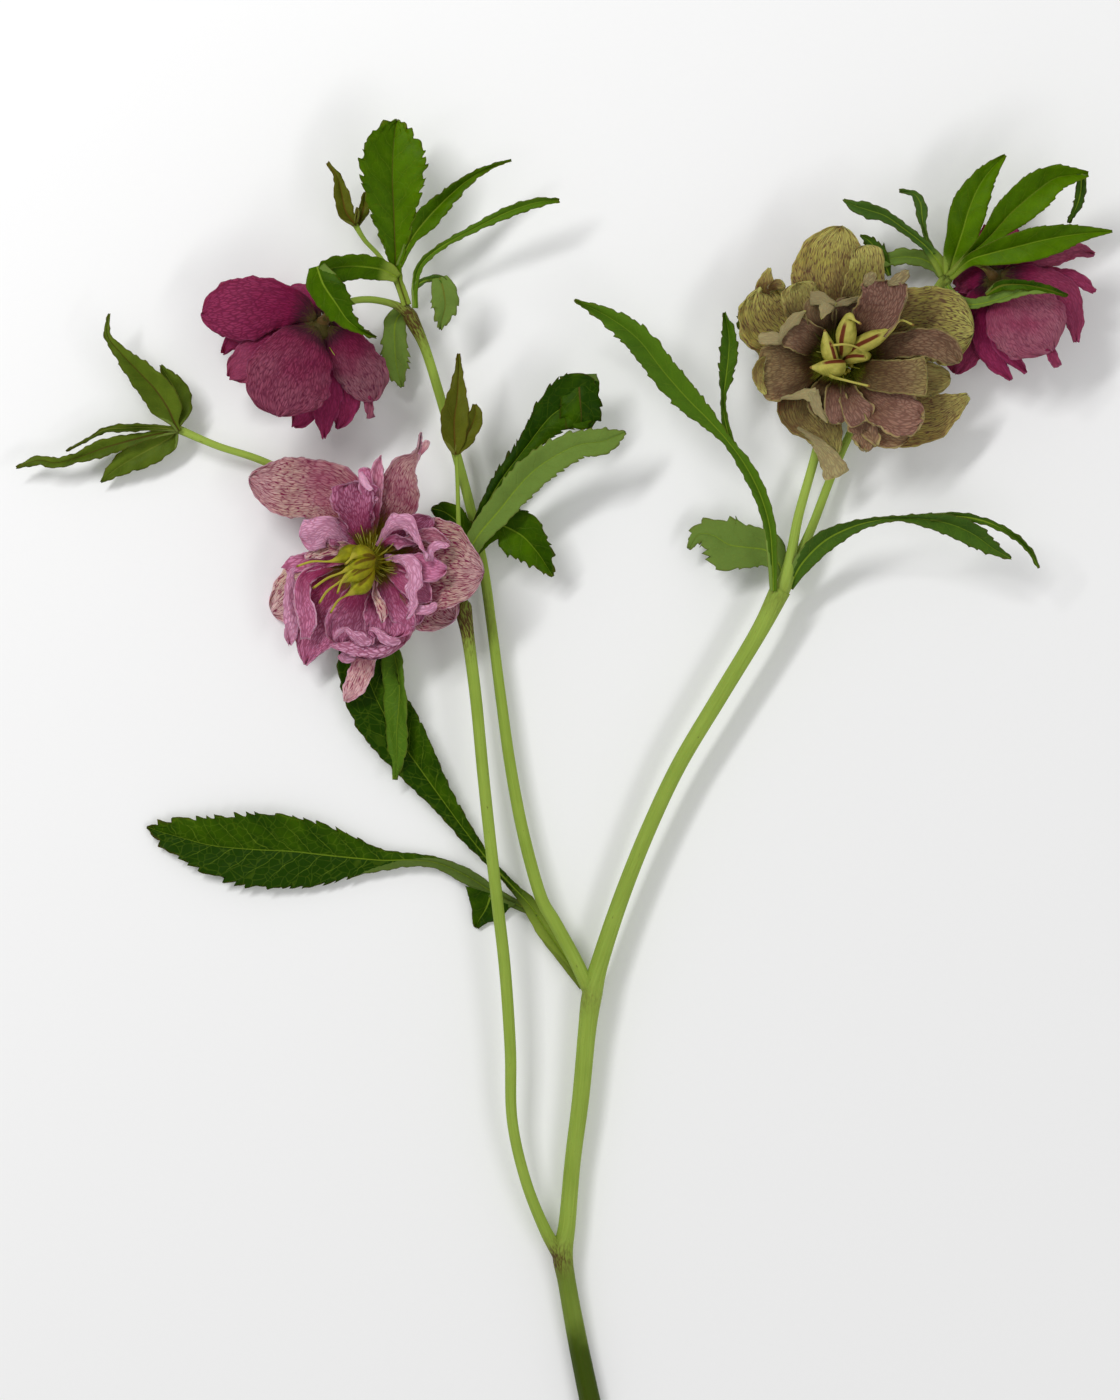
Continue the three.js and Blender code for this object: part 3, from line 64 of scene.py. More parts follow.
# Sheets and tubes, in mm where nothing else is said.
PATH_STEPS = 16  # fine steps between two rows
LEAST_SIZE = 0.12  # of a half width or radius
SHEET_THICKNESS = 0.42  # of a leaf or tepal at its midrib
RIM_SHARE = 0.35  # thickness at the edge, as a share of that at the midrib
LOWEST = 0.3  # the middle of a sheet never lies lower than this
LOWEST_SKIN = 0.02  # a tube's skin never lies lower than this
LEAST_ROWS = 8
HALF_COLUMNS = (4, 17)  # least and most columns of quads on one side of a midrib
STATIONS_PER_TOOTH = 7
TIP_EASE = 1.5  # how much closer the stations stand at a round tip
TIP_POWER = 2.4  # 2 rounds a tip like an ellipse, more makes it blunter
LEAST_TIP = 0.05
NEAR_EDGE = 0.8  # share of the length or half width past which a point is near the edge
RUFFLE_WAVES = 1.5  # along each edge
FRILL_LENGTH = 7.0  # from one small wave of an edge to the next
RIB_WIDTH = 0.45  # half width of the groove along a midrib
TOOTH_FROM = 0.34  # share of the length at which teeth begin
TOOTH_TOP = 0.85  # share of the pitch over which a tooth rises
TOOTHED_WIDTH = 2.4  # half width from which the teeth have their full height
TURN_SLANT = 0.17  # how far a turned base reaches further along one edge than the other
VEIN_SPREAD = 0.35  # share by which veins draw apart towards the tip
LEAST_RINGS = 3
BALL_RINGS = (-75, -50, -25)  # degrees at which a round end has its rings
BALL_TIP = 0.26  # rise of its last point, as a share of the last ring's radius
SEAM_WIDTH = 0.35  # half width of a seed case's seam, in radians
SEAM_ANGLE = 75.0  # of that seam, in degrees from the side towards the top
SEAM_RISE = 0.16  # its height, as a share of the radius

# Flowers, in mm.
SEAT_HEIGHT = 2.8
SEAT_TAPER = 0.6  # share by which the seat is narrower at its foot
RISE_STEP = 0.7  # by which every second tepal grows higher
ROOT_INSET = 1.3
ROOT_HALF_WIDTH = 0.9
CENTRE_HEIGHT = 3.3  # of the seed cases' roots above the foot of the seat
CARPEL_ROOT_REACH = 1.5
CARPEL_ROOT_RADIUS = 1.1
STYLE_RADIUS = 0.36
RING_DROP = 0.6  # by which the nectaries' feet lie below the seed cases'
NECTARIES = 14
NO_THROAT = -1.0  # as a tepal's base, leaves it without the dark throat with its painted shade, and without the heart

# Seeds. Sheets of one piece count on from its own seed.
PHASES = 14  # random phases of one sheet: 0-3 half width, 4-6 folds, 7, 8, 13 teeth, 9-12 rim
LEAF_SEED, BUD_SEED, TEPAL_SEED, CARPEL_SEED, RING_SEED = 100, 400, 500, 900, 950
SEAT_SEED, FLAP_SEED, FILAMENT_SEED = 3, 70, 40

Array: TypeAlias = np.ndarray
Material: TypeAlias = bpy.types.Material
Row: TypeAlias = tuple[float, ...]
Rows: TypeAlias = tuple[Row, ...]
Point: TypeAlias = tuple[float, float, float]


# ------------------------ curves


def unit(vectors: Array) -> Array:
    """The vectors, each divided by its length."""
    return vectors / np.maximum(np.linalg.norm(vectors, axis=-1, keepdims=True), 1e-9)


def smoothstep(low: float, high: float, values: Array) -> Array:
    """0 below low, 1 above high, and 3t^2 - 2t^3 between them."""
    t = np.clip((values - low) / (high - low), 0, 1)
    return t * t * (3 - 2 * t)


class Path:
    """A smooth curve through rows (x, y, z, size), with a side vector carried along it."""

    def __init__(self, rows: Rows) -> None:
        """Measures the curve.

        The curve is a Catmull-Rom spline: between two rows it is the cubic whose slope at
        each row is half the step between that row's neighbours. The side vector starts as
        up x along, and at each step the part of it that points along the curve is removed.

        Args:
            rows: rows of x, y, z and a half width or radius.
        """
        table = np.array(rows, float)
        ends = (2 * table[:1] - table[1:2], table, 2 * table[-1:] - table[-2:-1])
        padded = np.vstack(ends)
        spans = len(rows) - 1
        t = np.linspace(0, spans, PATH_STEPS * spans + 1)
        k = np.minimum(t.astype(int), spans - 1)
        f = (t - k)[:, None]
        before, start, end, after = (padded[k + i] for i in range(4))
        slope_in, slope_out, rise = (end - before) / 2, (after - start) / 2, end - start
        square = 3 * rise - 2 * slope_in - slope_out
        cube = slope_in + slope_out - 2 * rise
        values = start + f * (slope_in + f * (square + f * cube))
        self.places = values[:, :3]
        self.sizes = values[:, 3]
        self.tangents = unit(np.gradient(self.places, axis=0))
        steps = np.linalg.norm(np.diff(self.places, axis=0), axis=1)
        self.lengths = np.concatenate([[0.0], np.cumsum(steps)])
        self.length = float(self.lengths[-1])
        self.sides = np.empty_like(self.tangents)
        side = np.cross((0, 0, 1), self.tangents[0])
        for i, along in enumerate(self.tangents):
            side = unit(side - along * (side @ along))
            self.sides[i] = side

    def at(self, share: Array) -> tuple[Array, ...]:
        """The curve's values at shares of its length.

        Args:
            share: shares from 0 to 1.

        Returns:
            Places, tangents, sides, normals and sizes, one row or value for each share.
        """
        target = share * self.length

        def column(values: Array) -> Array:
            """Vectors along the curve, at the shares."""
            return np.stack([np.interp(target, self.lengths, c) for c in values.T], axis=1)

        places, tangents, sides = (column(v) for v in (self.places, self.tangents, self.sides))
        tangents, sides = unit(tangents), unit(sides)
        sizes = np.interp(target, self.lengths, self.sizes)
        return places, tangents, sides, np.cross(tangents, sides), sizes


# ------------------------ meshes


@dataclass
class Patch:
    """One closed surface: its points, faces and the marks that its material reads.

    On a sheet, place holds the distance along, the distance across and the distance across
    measured at the widest station, share holds the shares along and across and the face (1
    above, -1 below), dress holds the tint's mix, shade and mark, and trim holds the distance
    from the edge with the tint's edge and base. Tube.patch tells what they hold on a tube.
    """

    points: Array
    quads: Array
    triangles: Array
    place: Array
    share: Array
    dress: Array
    trim: Array


def mesh_object(name: str, patches: list[Patch]) -> bpy.types.Object:
    """Joins patches into one smooth mesh object at the origin.

    Args:
        name: the piece's name.
        patches: closed surfaces, in millimetres.

    Returns:
        The new object, linked to the scene, with point attributes place, share, dress and trim.
    """
    offsets = np.cumsum([0] + [len(p.points) for p in patches])
    points = np.concatenate([p.points for p in patches]) * MM
    quads = np.concatenate([p.quads + o for p, o in zip(patches, offsets)])
    triangles = np.concatenate([p.triangles + o for p, o in zip(patches, offsets)])
    loops = np.concatenate([quads.ravel(), triangles.ravel()]).astype(np.int32)
    totals = np.concatenate([np.full(len(quads), 4), np.full(len(triangles), 3)])
    starts = np.concatenate([[0], np.cumsum(totals)[:-1]])
    mesh = bpy.data.meshes.new(name)
    mesh.vertices.add(len(points))
    mesh.vertices.foreach_set("co", points.ravel())
    mesh.loops.add(len(loops))
    mesh.loops.foreach_set("vertex_index", loops)
    mesh.polygons.add(len(totals))
    mesh.polygons.foreach_set("loop_start", starts.astype(np.int32))
    mesh.polygons.foreach_set("loop_total", totals.astype(np.int32))
    mesh.polygons.foreach_set("use_smooth", np.ones(len(totals), bool))
    for key in ("place", "share", "dress", "trim"):
        values = np.concatenate([getattr(p, key) for p in patches])
        attribute = mesh.attributes.new(key, "FLOAT_VECTOR", "POINT")
        attribute.data.foreach_set("vector", values.astype(np.float32).ravel())
    mesh.update(calc_edges=True)
    mesh.validate()
    piece = bpy.data.objects.new(name, mesh)
    bpy.context.scene.collection.objects.link(piece)
    return piece


# ------------------------ sheets


@dataclass(frozen=True)
class Form:
    """How a thin sheet is shaped across and along its midrib.

    Attributes:
        cup: angle in degrees of the arc that its section is bent into.
        fold: angle in degrees by which each half is folded up along the midrib.
        ruffle: height in mm of the waves along its edges.
        frill: height in mm of the small waves all round its edge.
        rag: how far in mm its outline strays.
        tip: share of its length over which the tip is rounded.
        rise: height in mm above the foot of a flower's seat at which it grows.
        tooth: height in mm of the teeth on its edge.
        pitch: distance in mm between two teeth.
        crinkle: height in mm of soft, uneven folds.
        rib: depth in mm of the groove along the midrib.
    """

    cup: float = 0
    fold: float = 0
    ruffle: float = 0
    frill: float = 0
    rag: float = 0
    tip: float = 0
    rise: float = 0
    tooth: float = 0
    pitch: float = 3
    crinkle: float = 0.25
    rib: float = 0


@dataclass(frozen=True)
class Tint:
    """How one sheet's finish differs from its neighbours'.

    Attributes:
        mix: share of the second ground colour: cream on a tepal, and on a leaf a blue-green that is
            partly its own tone and partly painted sheen.
        shade: from -1, darker, to 1, lighter: mostly the sheet's own tone, but painted shade on the
            darkest tepals deep in the olive flower, and partly painted gloss on the folded-back
            leaf lobe.
        mark: strength of a tepal's streaks, or of the red in a leaf's midrib.
        turned: share of its length, from the base, along which its underside is on top.
        edge: strength of a tepal's pale edge, partly its own pale margin and partly painted
            highlight, or of the net of veins on a leaf.
        base: share of its length that has the colour of the throat, which is partly painted shade,
            or of the stalk.
    """

    mix: float = 0
    shade: float = 0
    mark: float = 0
    turned: float = 0
    edge: float = 0.25
    base: float = 0


def running_sum(values: Array, at: Array) -> Array:
    """The area under values from the first place up to each place, by trapezoids."""
    strips = (values[1:] + values[:-1]) / 2 * np.diff(at)
    return np.concatenate([[0.0], np.cumsum(strips)])


def closed_faces(rows: int, columns: int) -> Array:
    """Quads of a closed sheet: its top, which faces along x across, its underside and its rim.

    Args:
        rows: rows of points along the sheet; all the top's points come before the underside's.
        columns: points in each row.

    Returns:
        Corner numbers, one row of four for each quad.
    """
    first = (np.arange(rows - 1)[:, None] * columns + np.arange(columns - 1)).ravel()
    top = np.stack([first, first + columns, first + columns + 1, first + 1], axis=1)
    under = rows * columns
    across = np.arange(columns)
    rim = np.concatenate([
        np.arange(rows) * columns,
        (rows - 1) * columns + across[1:],
        np.arange(rows - 2, -1, -1) * columns + columns - 1,
        across[-2:0:-1],
    ])
    following = np.roll(rim, -1)
    edge = np.stack([following, rim, rim + under, following + under], axis=1)
    return np.concatenate([top, top[:, ::-1] + under, edge])


def pattern_start(seed: int) -> tuple[int, int]:
    """Where a pattern starts along and across, in mm, far from where its neighbours' start."""
    return 61 * (seed % 89), 37 * (seed % 83)


@dataclass(frozen=True)
class Grid:
    """A sheet's points before they are bent.

    Attributes:
        s: shares along, one row for each station.
        v: shares across from -1 to 1, one column for each line of points.
        w: half width at each point in mm.
        length: length of the midrib in mm.
        phases: random phases that are the sheet's own.
    """

    s: Array
    v: Array
    w: Array
    length: float
    phases: Array


@dataclass(frozen=True)
class Sheet:
    """A leaf lobe or a tepal: a thin closed sheet carried along its midrib's rows."""

    rows: Rows
    form: Form
    tint: Tint = Tint()

    def section(self, v: Array) -> tuple[Array, Array]:
        """The sheet's section for a half width of 1.

        At a share u of the half width the section slopes at the fold's angle plus u times
        half the cup's. Sums of the slope's cosine and sine from the midrib give how far out
        and how high the section is.

        Args:
            v: shares across from -1 to 1, evenly spaced.

        Returns:
            The distances to the side and above the midrib.
        """
        u = v[len(v) // 2 :]
        slope = np.radians(self.form.fold + self.form.cup / 2 * u)
        out = running_sum(np.cos(slope), u)
        up = running_sum(np.sin(slope), u)
        return np.concatenate([-out[:0:-1], out]), np.concatenate([up[:0:-1], up])

    def half_widths(self, s: Array, v: Array, sizes: Array, phases: Array) -> Array:
        """The half width at each point.

        A round tip draws the rows' own half widths in like a quarter of a superellipse, and
        each side strays by a few percent.

        Args:
            s: shares along, one row for each station.
            v: shares across from -1 to 1.
            sizes: the rows' half width at each station.
            phases: random phases that are the sheet's own.

        Returns:
            Half widths in mm.
        """
        w, tip = np.maximum(sizes, LEAST_SIZE)[:, None], self.form.tip
        if tip:
            into = np.clip((s - 1 + tip) / tip, 0, 1)
            w = w * np.maximum((1 - into**TIP_POWER) ** (1 / TIP_POWER), LEAST_TIP)
        left, right = (
            1 + 0.03 * np.sin(14 * s + slow) + 0.018 * np.sin(33 * s + fast)
            for slow, fast in (phases[:2], phases[2:4])
        )
        return w * np.where(v < 0, left, right)

    def waves(self, grid: Grid) -> Array:
        """Height of the ruffle, the uneven folds and the midrib's groove.

        The ruffle has height |v|^1.5, the folds are a sum of three slow sines, and both grow
        from nothing over the first third of the length.

        Args:
            grid: the sheet's points.

        Returns:
            A height in mm for each point.
        """
        s, v, phases = grid.s, grid.v, grid.phases
        half = np.where(v < 0, 2, 0)
        ruffle = np.abs(v) ** 1.5 * np.sin(2 * math.pi * RUFFLE_WAVES * s + half)
        folds = (
            np.sin(7 * s + 2.6 * v + phases[4])
            + 0.6 * np.sin(11 * s - 4.5 * v + phases[5])
            + 0.7 * np.abs(v) ** 3 * np.sin(31 * s + phases[6] + half)
        )
        grown = (self.form.ruffle * ruffle + self.form.crinkle * folds) * np.minimum(1, 3 * s)
        return grown - self.form.rib * np.exp(-((v * grid.w / RIB_WIDTH) ** 2))

    def teeth(self, grid: Grid) -> Array:
        """How far teeth push the edge out: each is a slow rise and a quick fall along it.

        Args:
            grid: the sheet's points.

        Returns:
            A distance in mm for each point.
        """
        s, v, phases = grid.s, grid.v, grid.phases
        rhythm = s * grid.length / self.form.pitch + np.where(v < 0, 0.4, 0) + phases[7]
        rhythm = rhythm + 0.3 * np.sin(1.9 * rhythm + phases[13])
        saw = rhythm % 1
        rise, fall = (saw / TOOTH_TOP) ** 1.3, (1 - saw) / (1 - TOOTH_TOP)
        reach = self.form.tooth * np.where(saw < TOOTH_TOP, rise, fall)
        reach = reach * smoothstep(TOOTH_FROM, TOOTH_FROM + 0.2, s) * (1 - smoothstep(0.97, 1, s))
        reach = reach * (0.75 + 0.25 * np.sin(5.3 * np.floor(rhythm) + phases[8]))
        return reach * smoothstep(NEAR_EDGE, 1, np.abs(v)) * np.minimum(1, grid.w / TOOTHED_WIDTH)

    def patch(self, seed: int, station: float = 0.8, column: float = 0.75) -> Patch:
        """Builds the sheet.

        A point lies at its section's place, the half width times the section for 1, to the
        side of the midrib and above it. Waves run along the edges. Small waves of height
        frill e^3 run round the outline, with e the nearness of the edge: 1 on the edge, also
        at the tip. Round the outline a point lies at v widest + v^3 (1 - s) length, which
        grows from one side of the base, by way of the tip, to the other. Teeth push the edge
        outwards and towards the tip. Half the thickness, less at the edge, is laid off both
        ways along the normal.

        Args:
            seed: picks the sheet's own phases and the place of its pattern.
            station: distance in mm between rows of points.
            column: distance in mm between points across the widest row.

        Returns:
            The closed surface.
        """
        form = self.form
        path = Path(self.rows)
        phases = np.random.default_rng(seed).uniform(0, 2 * math.pi, PHASES)
        if form.tooth:
            station = min(station, form.pitch / STATIONS_PER_TOOTH)
        widest = float(path.sizes.max())
        rows = max(LEAST_ROWS, int(path.length / station))
        half_columns = int(np.clip(widest / column, *HALF_COLUMNS))
        ease = TIP_EASE if form.tip else 1.0
        share_along = 1 - (1 - np.linspace(0, 1, rows + 1)) ** ease
        share_across = np.linspace(-1, 1, 2 * half_columns + 1)
        s, v = share_along[:, None], share_across[None, :]
        places, tangents, sides, normals, sizes = path.at(share_along)
        w = self.half_widths(s, v, sizes, phases)
        grid = Grid(s, v, w, path.length, phases)
        out, up = self.section(share_across)

        end = smoothstep(NEAR_EDGE, 1, s)
        near = (np.abs(v) + (1 - np.abs(v)) * end) ** 3 * np.minimum(1, 3 * s)
        around = 2 * math.pi * (v * widest + v**3 * (1 - s) * path.length) / FRILL_LENGTH
        ripple = np.sin(around + phases[9] + 1.3 * np.sin(around / 2.3 + phases[10]))
        stray = 0.6 * np.sin(around * 1.3 + phases[11]) + 0.4 * np.sin(around * 2.6 + phases[12])
        stray = form.rag * stray * near
        lift = w * up + self.waves(grid) + form.frill * ripple * near
        lateral = w * out + v * stray
        forward = (1 - v * v) * end * stray
        if form.tooth:
            reach = self.teeth(grid)
            lateral = lateral + np.sign(v) * reach * 0.9
            forward = forward + reach

        def spread(vectors: Array, amount: Array) -> Array:
            """Each station's vector times the amount at each of its points."""
            return vectors[:, None, :] * amount[:, :, None]

        middle = places[:, None, :] + spread(sides, lateral) + spread(normals, lift)
        middle = middle + spread(tangents, forward)
        middle[:, :, 2] = np.maximum(middle[:, :, 2], LOWEST)
        normal = np.cross(np.gradient(middle, axis=0), np.gradient(middle, axis=1))
        size = np.linalg.norm(normal, axis=2, keepdims=True)
        normal = np.where(size > 1e-6, normal / np.maximum(size, 1e-9), normals[:, None, :])
        thin = 1 - (1 - RIM_SHARE) * np.abs(v) ** 4
        thin = thin * (1 - (1 - RIM_SHARE) * smoothstep(0.9, 1, s))
        offset = normal * (SHEET_THICKNESS / 2 * thin)[:, :, None]

        def marks(*values: Array | float) -> Array:
            """Three values at each point of one side."""
            return np.stack(np.broadcast_arrays(*values, lift)[:-1], axis=2).reshape(-1, 3)

        along, across = pattern_start(seed)
        fan = v * widest * (1 - VEIN_SPREAD * s) + across
        turned = self.tint.turned + TURN_SLANT * v * (1 - self.tint.turned)
        inset = np.minimum((1 - np.abs(v)) * w, (1 - s) * path.length)
        place = marks(s * path.length + along, v * w, fan)
        share = marks(s, v, np.where(s < turned, -1.0, 1.0))
        dress = marks(self.tint.mix, self.tint.shade, self.tint.mark)
        trim = marks(inset, self.tint.edge, self.tint.base)
        return Patch(
            points=np.concatenate([(middle + side * offset).reshape(-1, 3) for side in (1, -1)]),
            quads=closed_faces(*lift.shape),
            triangles=np.empty((0, 3), int),
            place=np.tile(place, (2, 1)),
            share=np.concatenate([share, share * (1, 1, -1)]),
            dress=np.tile(dress, (2, 1)),
            trim=np.tile(trim, (2, 1)),
        )


def sheet(form: Form, *rows: Row, **changes: float) -> Sheet:
    """A sheet of one form, with its own changes.

    Args:
        form: what the sheets of its kind have in common.
        rows: its midrib's places, each with the half width there.
        changes: its own values of the fields of Form and Tint.

    Returns:
        The sheet.
    """
    tint = {field.name: changes.pop(field.name) for field in fields(Tint) if field.name in changes}
    return Sheet(rows, replace(form, **changes), Tint(**tint))


# ------------------------ tubes


class End(Enum):
    """How a tube ends."""

    ROUND = "round"
    CUT = "cut"


@dataclass(frozen=True)
class Tube:
    """A round limb along its rows: a stem, a stalk, a seed case with its style.

    Attributes:
        rows: places along it, each with the radius there.
        end: how both its ends are closed.
        ridges: number of lengthwise ridges.
        ridge: their height, as a share of the radius.
        seam: height of a seed case's seam, as a share of the radius.
        shade: from -1, darker, to 1, lighter.
    """

    rows: Rows
    end: End = End.ROUND
    ridges: int = 0
    ridge: float = 0
    seam: float = 0
    shade: float = 0

    def patch(self, seed: int, sides: int, step: float, spots: Rows = ()) -> Patch:
        """Builds the tube.

        A point lies at radius r (1 + ridge cos(ridges a) + seam exp(-(a / 0.35)^2)) from the
        curve, at angle a round it from the seam. A round end goes on by half a ball: at a
        rise of r sin(b) beyond the end the radius is r cos(b). A cut end closes flat.

        Args:
            seed: the place of the tube's pattern.
            sides: points round the tube.
            step: distance in mm between rings.
            spots: blushes as (x, y, z, radius in mm, strength).

        Returns:
            The closed surface. Its place holds the distances along and round the tube, its
            share the share along and the cosine of the angle from the seam, and its dress the
            blush, the shade and the radius as a share of the greatest.
        """
        path = Path(self.rows)
        s = np.linspace(0, 1, max(LEAST_RINGS, int(path.length / step)) + 1)
        places, tangents, sides_at, normals, sizes = path.at(s)
        sizes = np.maximum(sizes, LEAST_SIZE)
        if self.end is End.ROUND:
            angle = np.radians(BALL_RINGS)
            head = places[:1] + tangents[:1] * sizes[0] * np.sin(angle)[:, None]
            tail = places[-1:] - tangents[-1:] * sizes[-1] * np.sin(angle[::-1])[:, None]
            places = np.concatenate([head, places, tail])
            sizes = np.concatenate([
                sizes[0] * np.cos(angle), sizes, sizes[-1] * np.cos(angle[::-1])
            ])
            more = len(angle)
            s, sides_at, normals, tangents = (
                np.concatenate([np.repeat(x[:1], more, 0), x, np.repeat(x[-1:], more, 0)])
                for x in (s, sides_at, normals, tangents)
            )
        a = (np.arange(sides) + 0.5) * 2 * math.pi / sides
        turn = np.minimum(a, 2 * math.pi - a)
        seam = self.seam * np.exp(-((turn / SEAM_WIDTH) ** 2))
        radius = sizes[:, None] * (1 + self.ridge * np.cos(self.ridges * a) + seam)
        around = a + (math.radians(SEAM_ANGLE) if self.seam else 0)
        points = (
            places[:, None, :]
            + sides_at[:, None, :] * (radius * np.cos(around))[:, :, None]
            + normals[:, None, :] * (radius * np.sin(around))[:, :, None]
        )
        ends = np.stack([places[0], places[-1]])
        if self.end is End.ROUND:
            ends = ends + np.stack([-tangents[0] * sizes[0], tangents[-1] * sizes[-1]]) * BALL_TIP
        points = np.concatenate([points.reshape(-1, 3), ends])
        points[:, 2] = np.maximum(points[:, 2], LOWEST_SKIN)

        count = len(places)
        ring = np.arange(sides)
        following = (ring + 1) % sides
        starts = np.arange(count - 1)[:, None] * sides
        low, high = (starts + ring).ravel(), (starts + following).ravel()
        base, tip, last = count * sides, count * sides + 1, (count - 1) * sides
        triangles = np.concatenate([
            np.stack([np.full(sides, base), following, ring], axis=1),
            np.stack([np.full(sides, tip), last + ring, last + following], axis=1),
        ])
        blush = np.zeros(len(points))
        for x, y, z, reach, strength in spots:
            away = np.linalg.norm(points - (x, y, z), axis=1)
            blush += strength * np.exp(-((away / reach) ** 2))

        def mark(values: Array, at_base: float, at_tip: float) -> Array:
            """A value for each ring or point, with those of the two end points."""
            return np.append(np.broadcast_to(values, radius.shape).ravel(), [at_base, at_tip])

        run = mark(s[:, None], 0, 1)
        thick = mark((sizes / sizes.max())[:, None], 1, 0)
        zero = np.zeros(len(points))
        start = pattern_start(seed)[0]
        return Patch(
            points=points,
            quads=np.stack([low, high, high + sides, low + sides], axis=1),
            triangles=triangles,
            place=np.stack([run * path.length + start, mark(radius * a, 0, 0), zero], axis=1),
            share=np.stack([run, mark(np.cos(a), 1, 1), zero], axis=1),
            dress=np.stack([blush, zero + self.shade, thick], axis=1),
            trim=np.zeros((len(points), 3)),
        )


# ------------------------ shader building


def linear(colour: str) -> tuple[float, float, float, float]:
    """A colour written as rrggbb, in the linear values that a shader takes."""
    values = [int(colour[i : i + 2], 16) / 255 for i in (0, 2, 4)]
    return (*(((c + 0.055) / 1.055) ** 2.4 if c > 0.04045 else c / 12.92 for c in values), 1.0)


Value: TypeAlias = "Wire | float"


@dataclass(frozen=True)
class Wire:
    """A number that changes over a surface, written in sums and products."""

    shader: Shader
    socket: bpy.types.NodeSocket

    def _math(self, operation: str, *values: Value) -> Wire:
        """Adds a Math node for an operation on the values."""
        inputs = dict(enumerate(values))
        return self.shader.node("ShaderNodeMath", {"operation": operation}, inputs)

    def __add__(self, other: Value) -> Wire:
        """self + other."""
        return self._math("ADD", self, other)

    def __sub__(self, other: Value) -> Wire:
        """self - other."""
        return self._math("SUBTRACT", self, other)

    def __rsub__(self, other: Value) -> Wire:
        """other - self."""
        return self._math("SUBTRACT", other, self)

    def __mul__(self, other: Value) -> Wire:
        """self x other."""
        return self._math("MULTIPLY", self, other)

    def __truediv__(self, other: Value) -> Wire:
        """self / other."""
        return self._math("DIVIDE", self, other)

    def __abs__(self) -> Wire:
        """self without its sign."""
        return self._math("ABSOLUTE", self)

    __radd__ = __add__
    __rmul__ = __mul__

    def fraction(self) -> Wire:
        """The part of self after the decimal point."""
        return self._math("FRACT", self)

    def least(self, other: Value) -> Wire:
        """The smaller of self and other."""
        return self._math("MINIMUM", self, other)

    def most(self, other: Value) -> Wire:
        """The larger of self and other."""
        return self._math("MAXIMUM", self, other)

    def step(self, low: float, high: float) -> Wire:
        """0 at low and 1 at high, smoothly between them.

        Args:
            low: where it is 0.
            high: where it is 1; it may be the smaller.

        Returns:
            A number from 0 to 1.
        """
        if low > high:
            return 1 - self.step(high, low)
        settings = {"interpolation_type": "SMOOTHSTEP"}
        inputs = {"Value": self, "From Min": low, "From Max": high}
        return self.shader.node("ShaderNodeMapRange", settings, inputs)


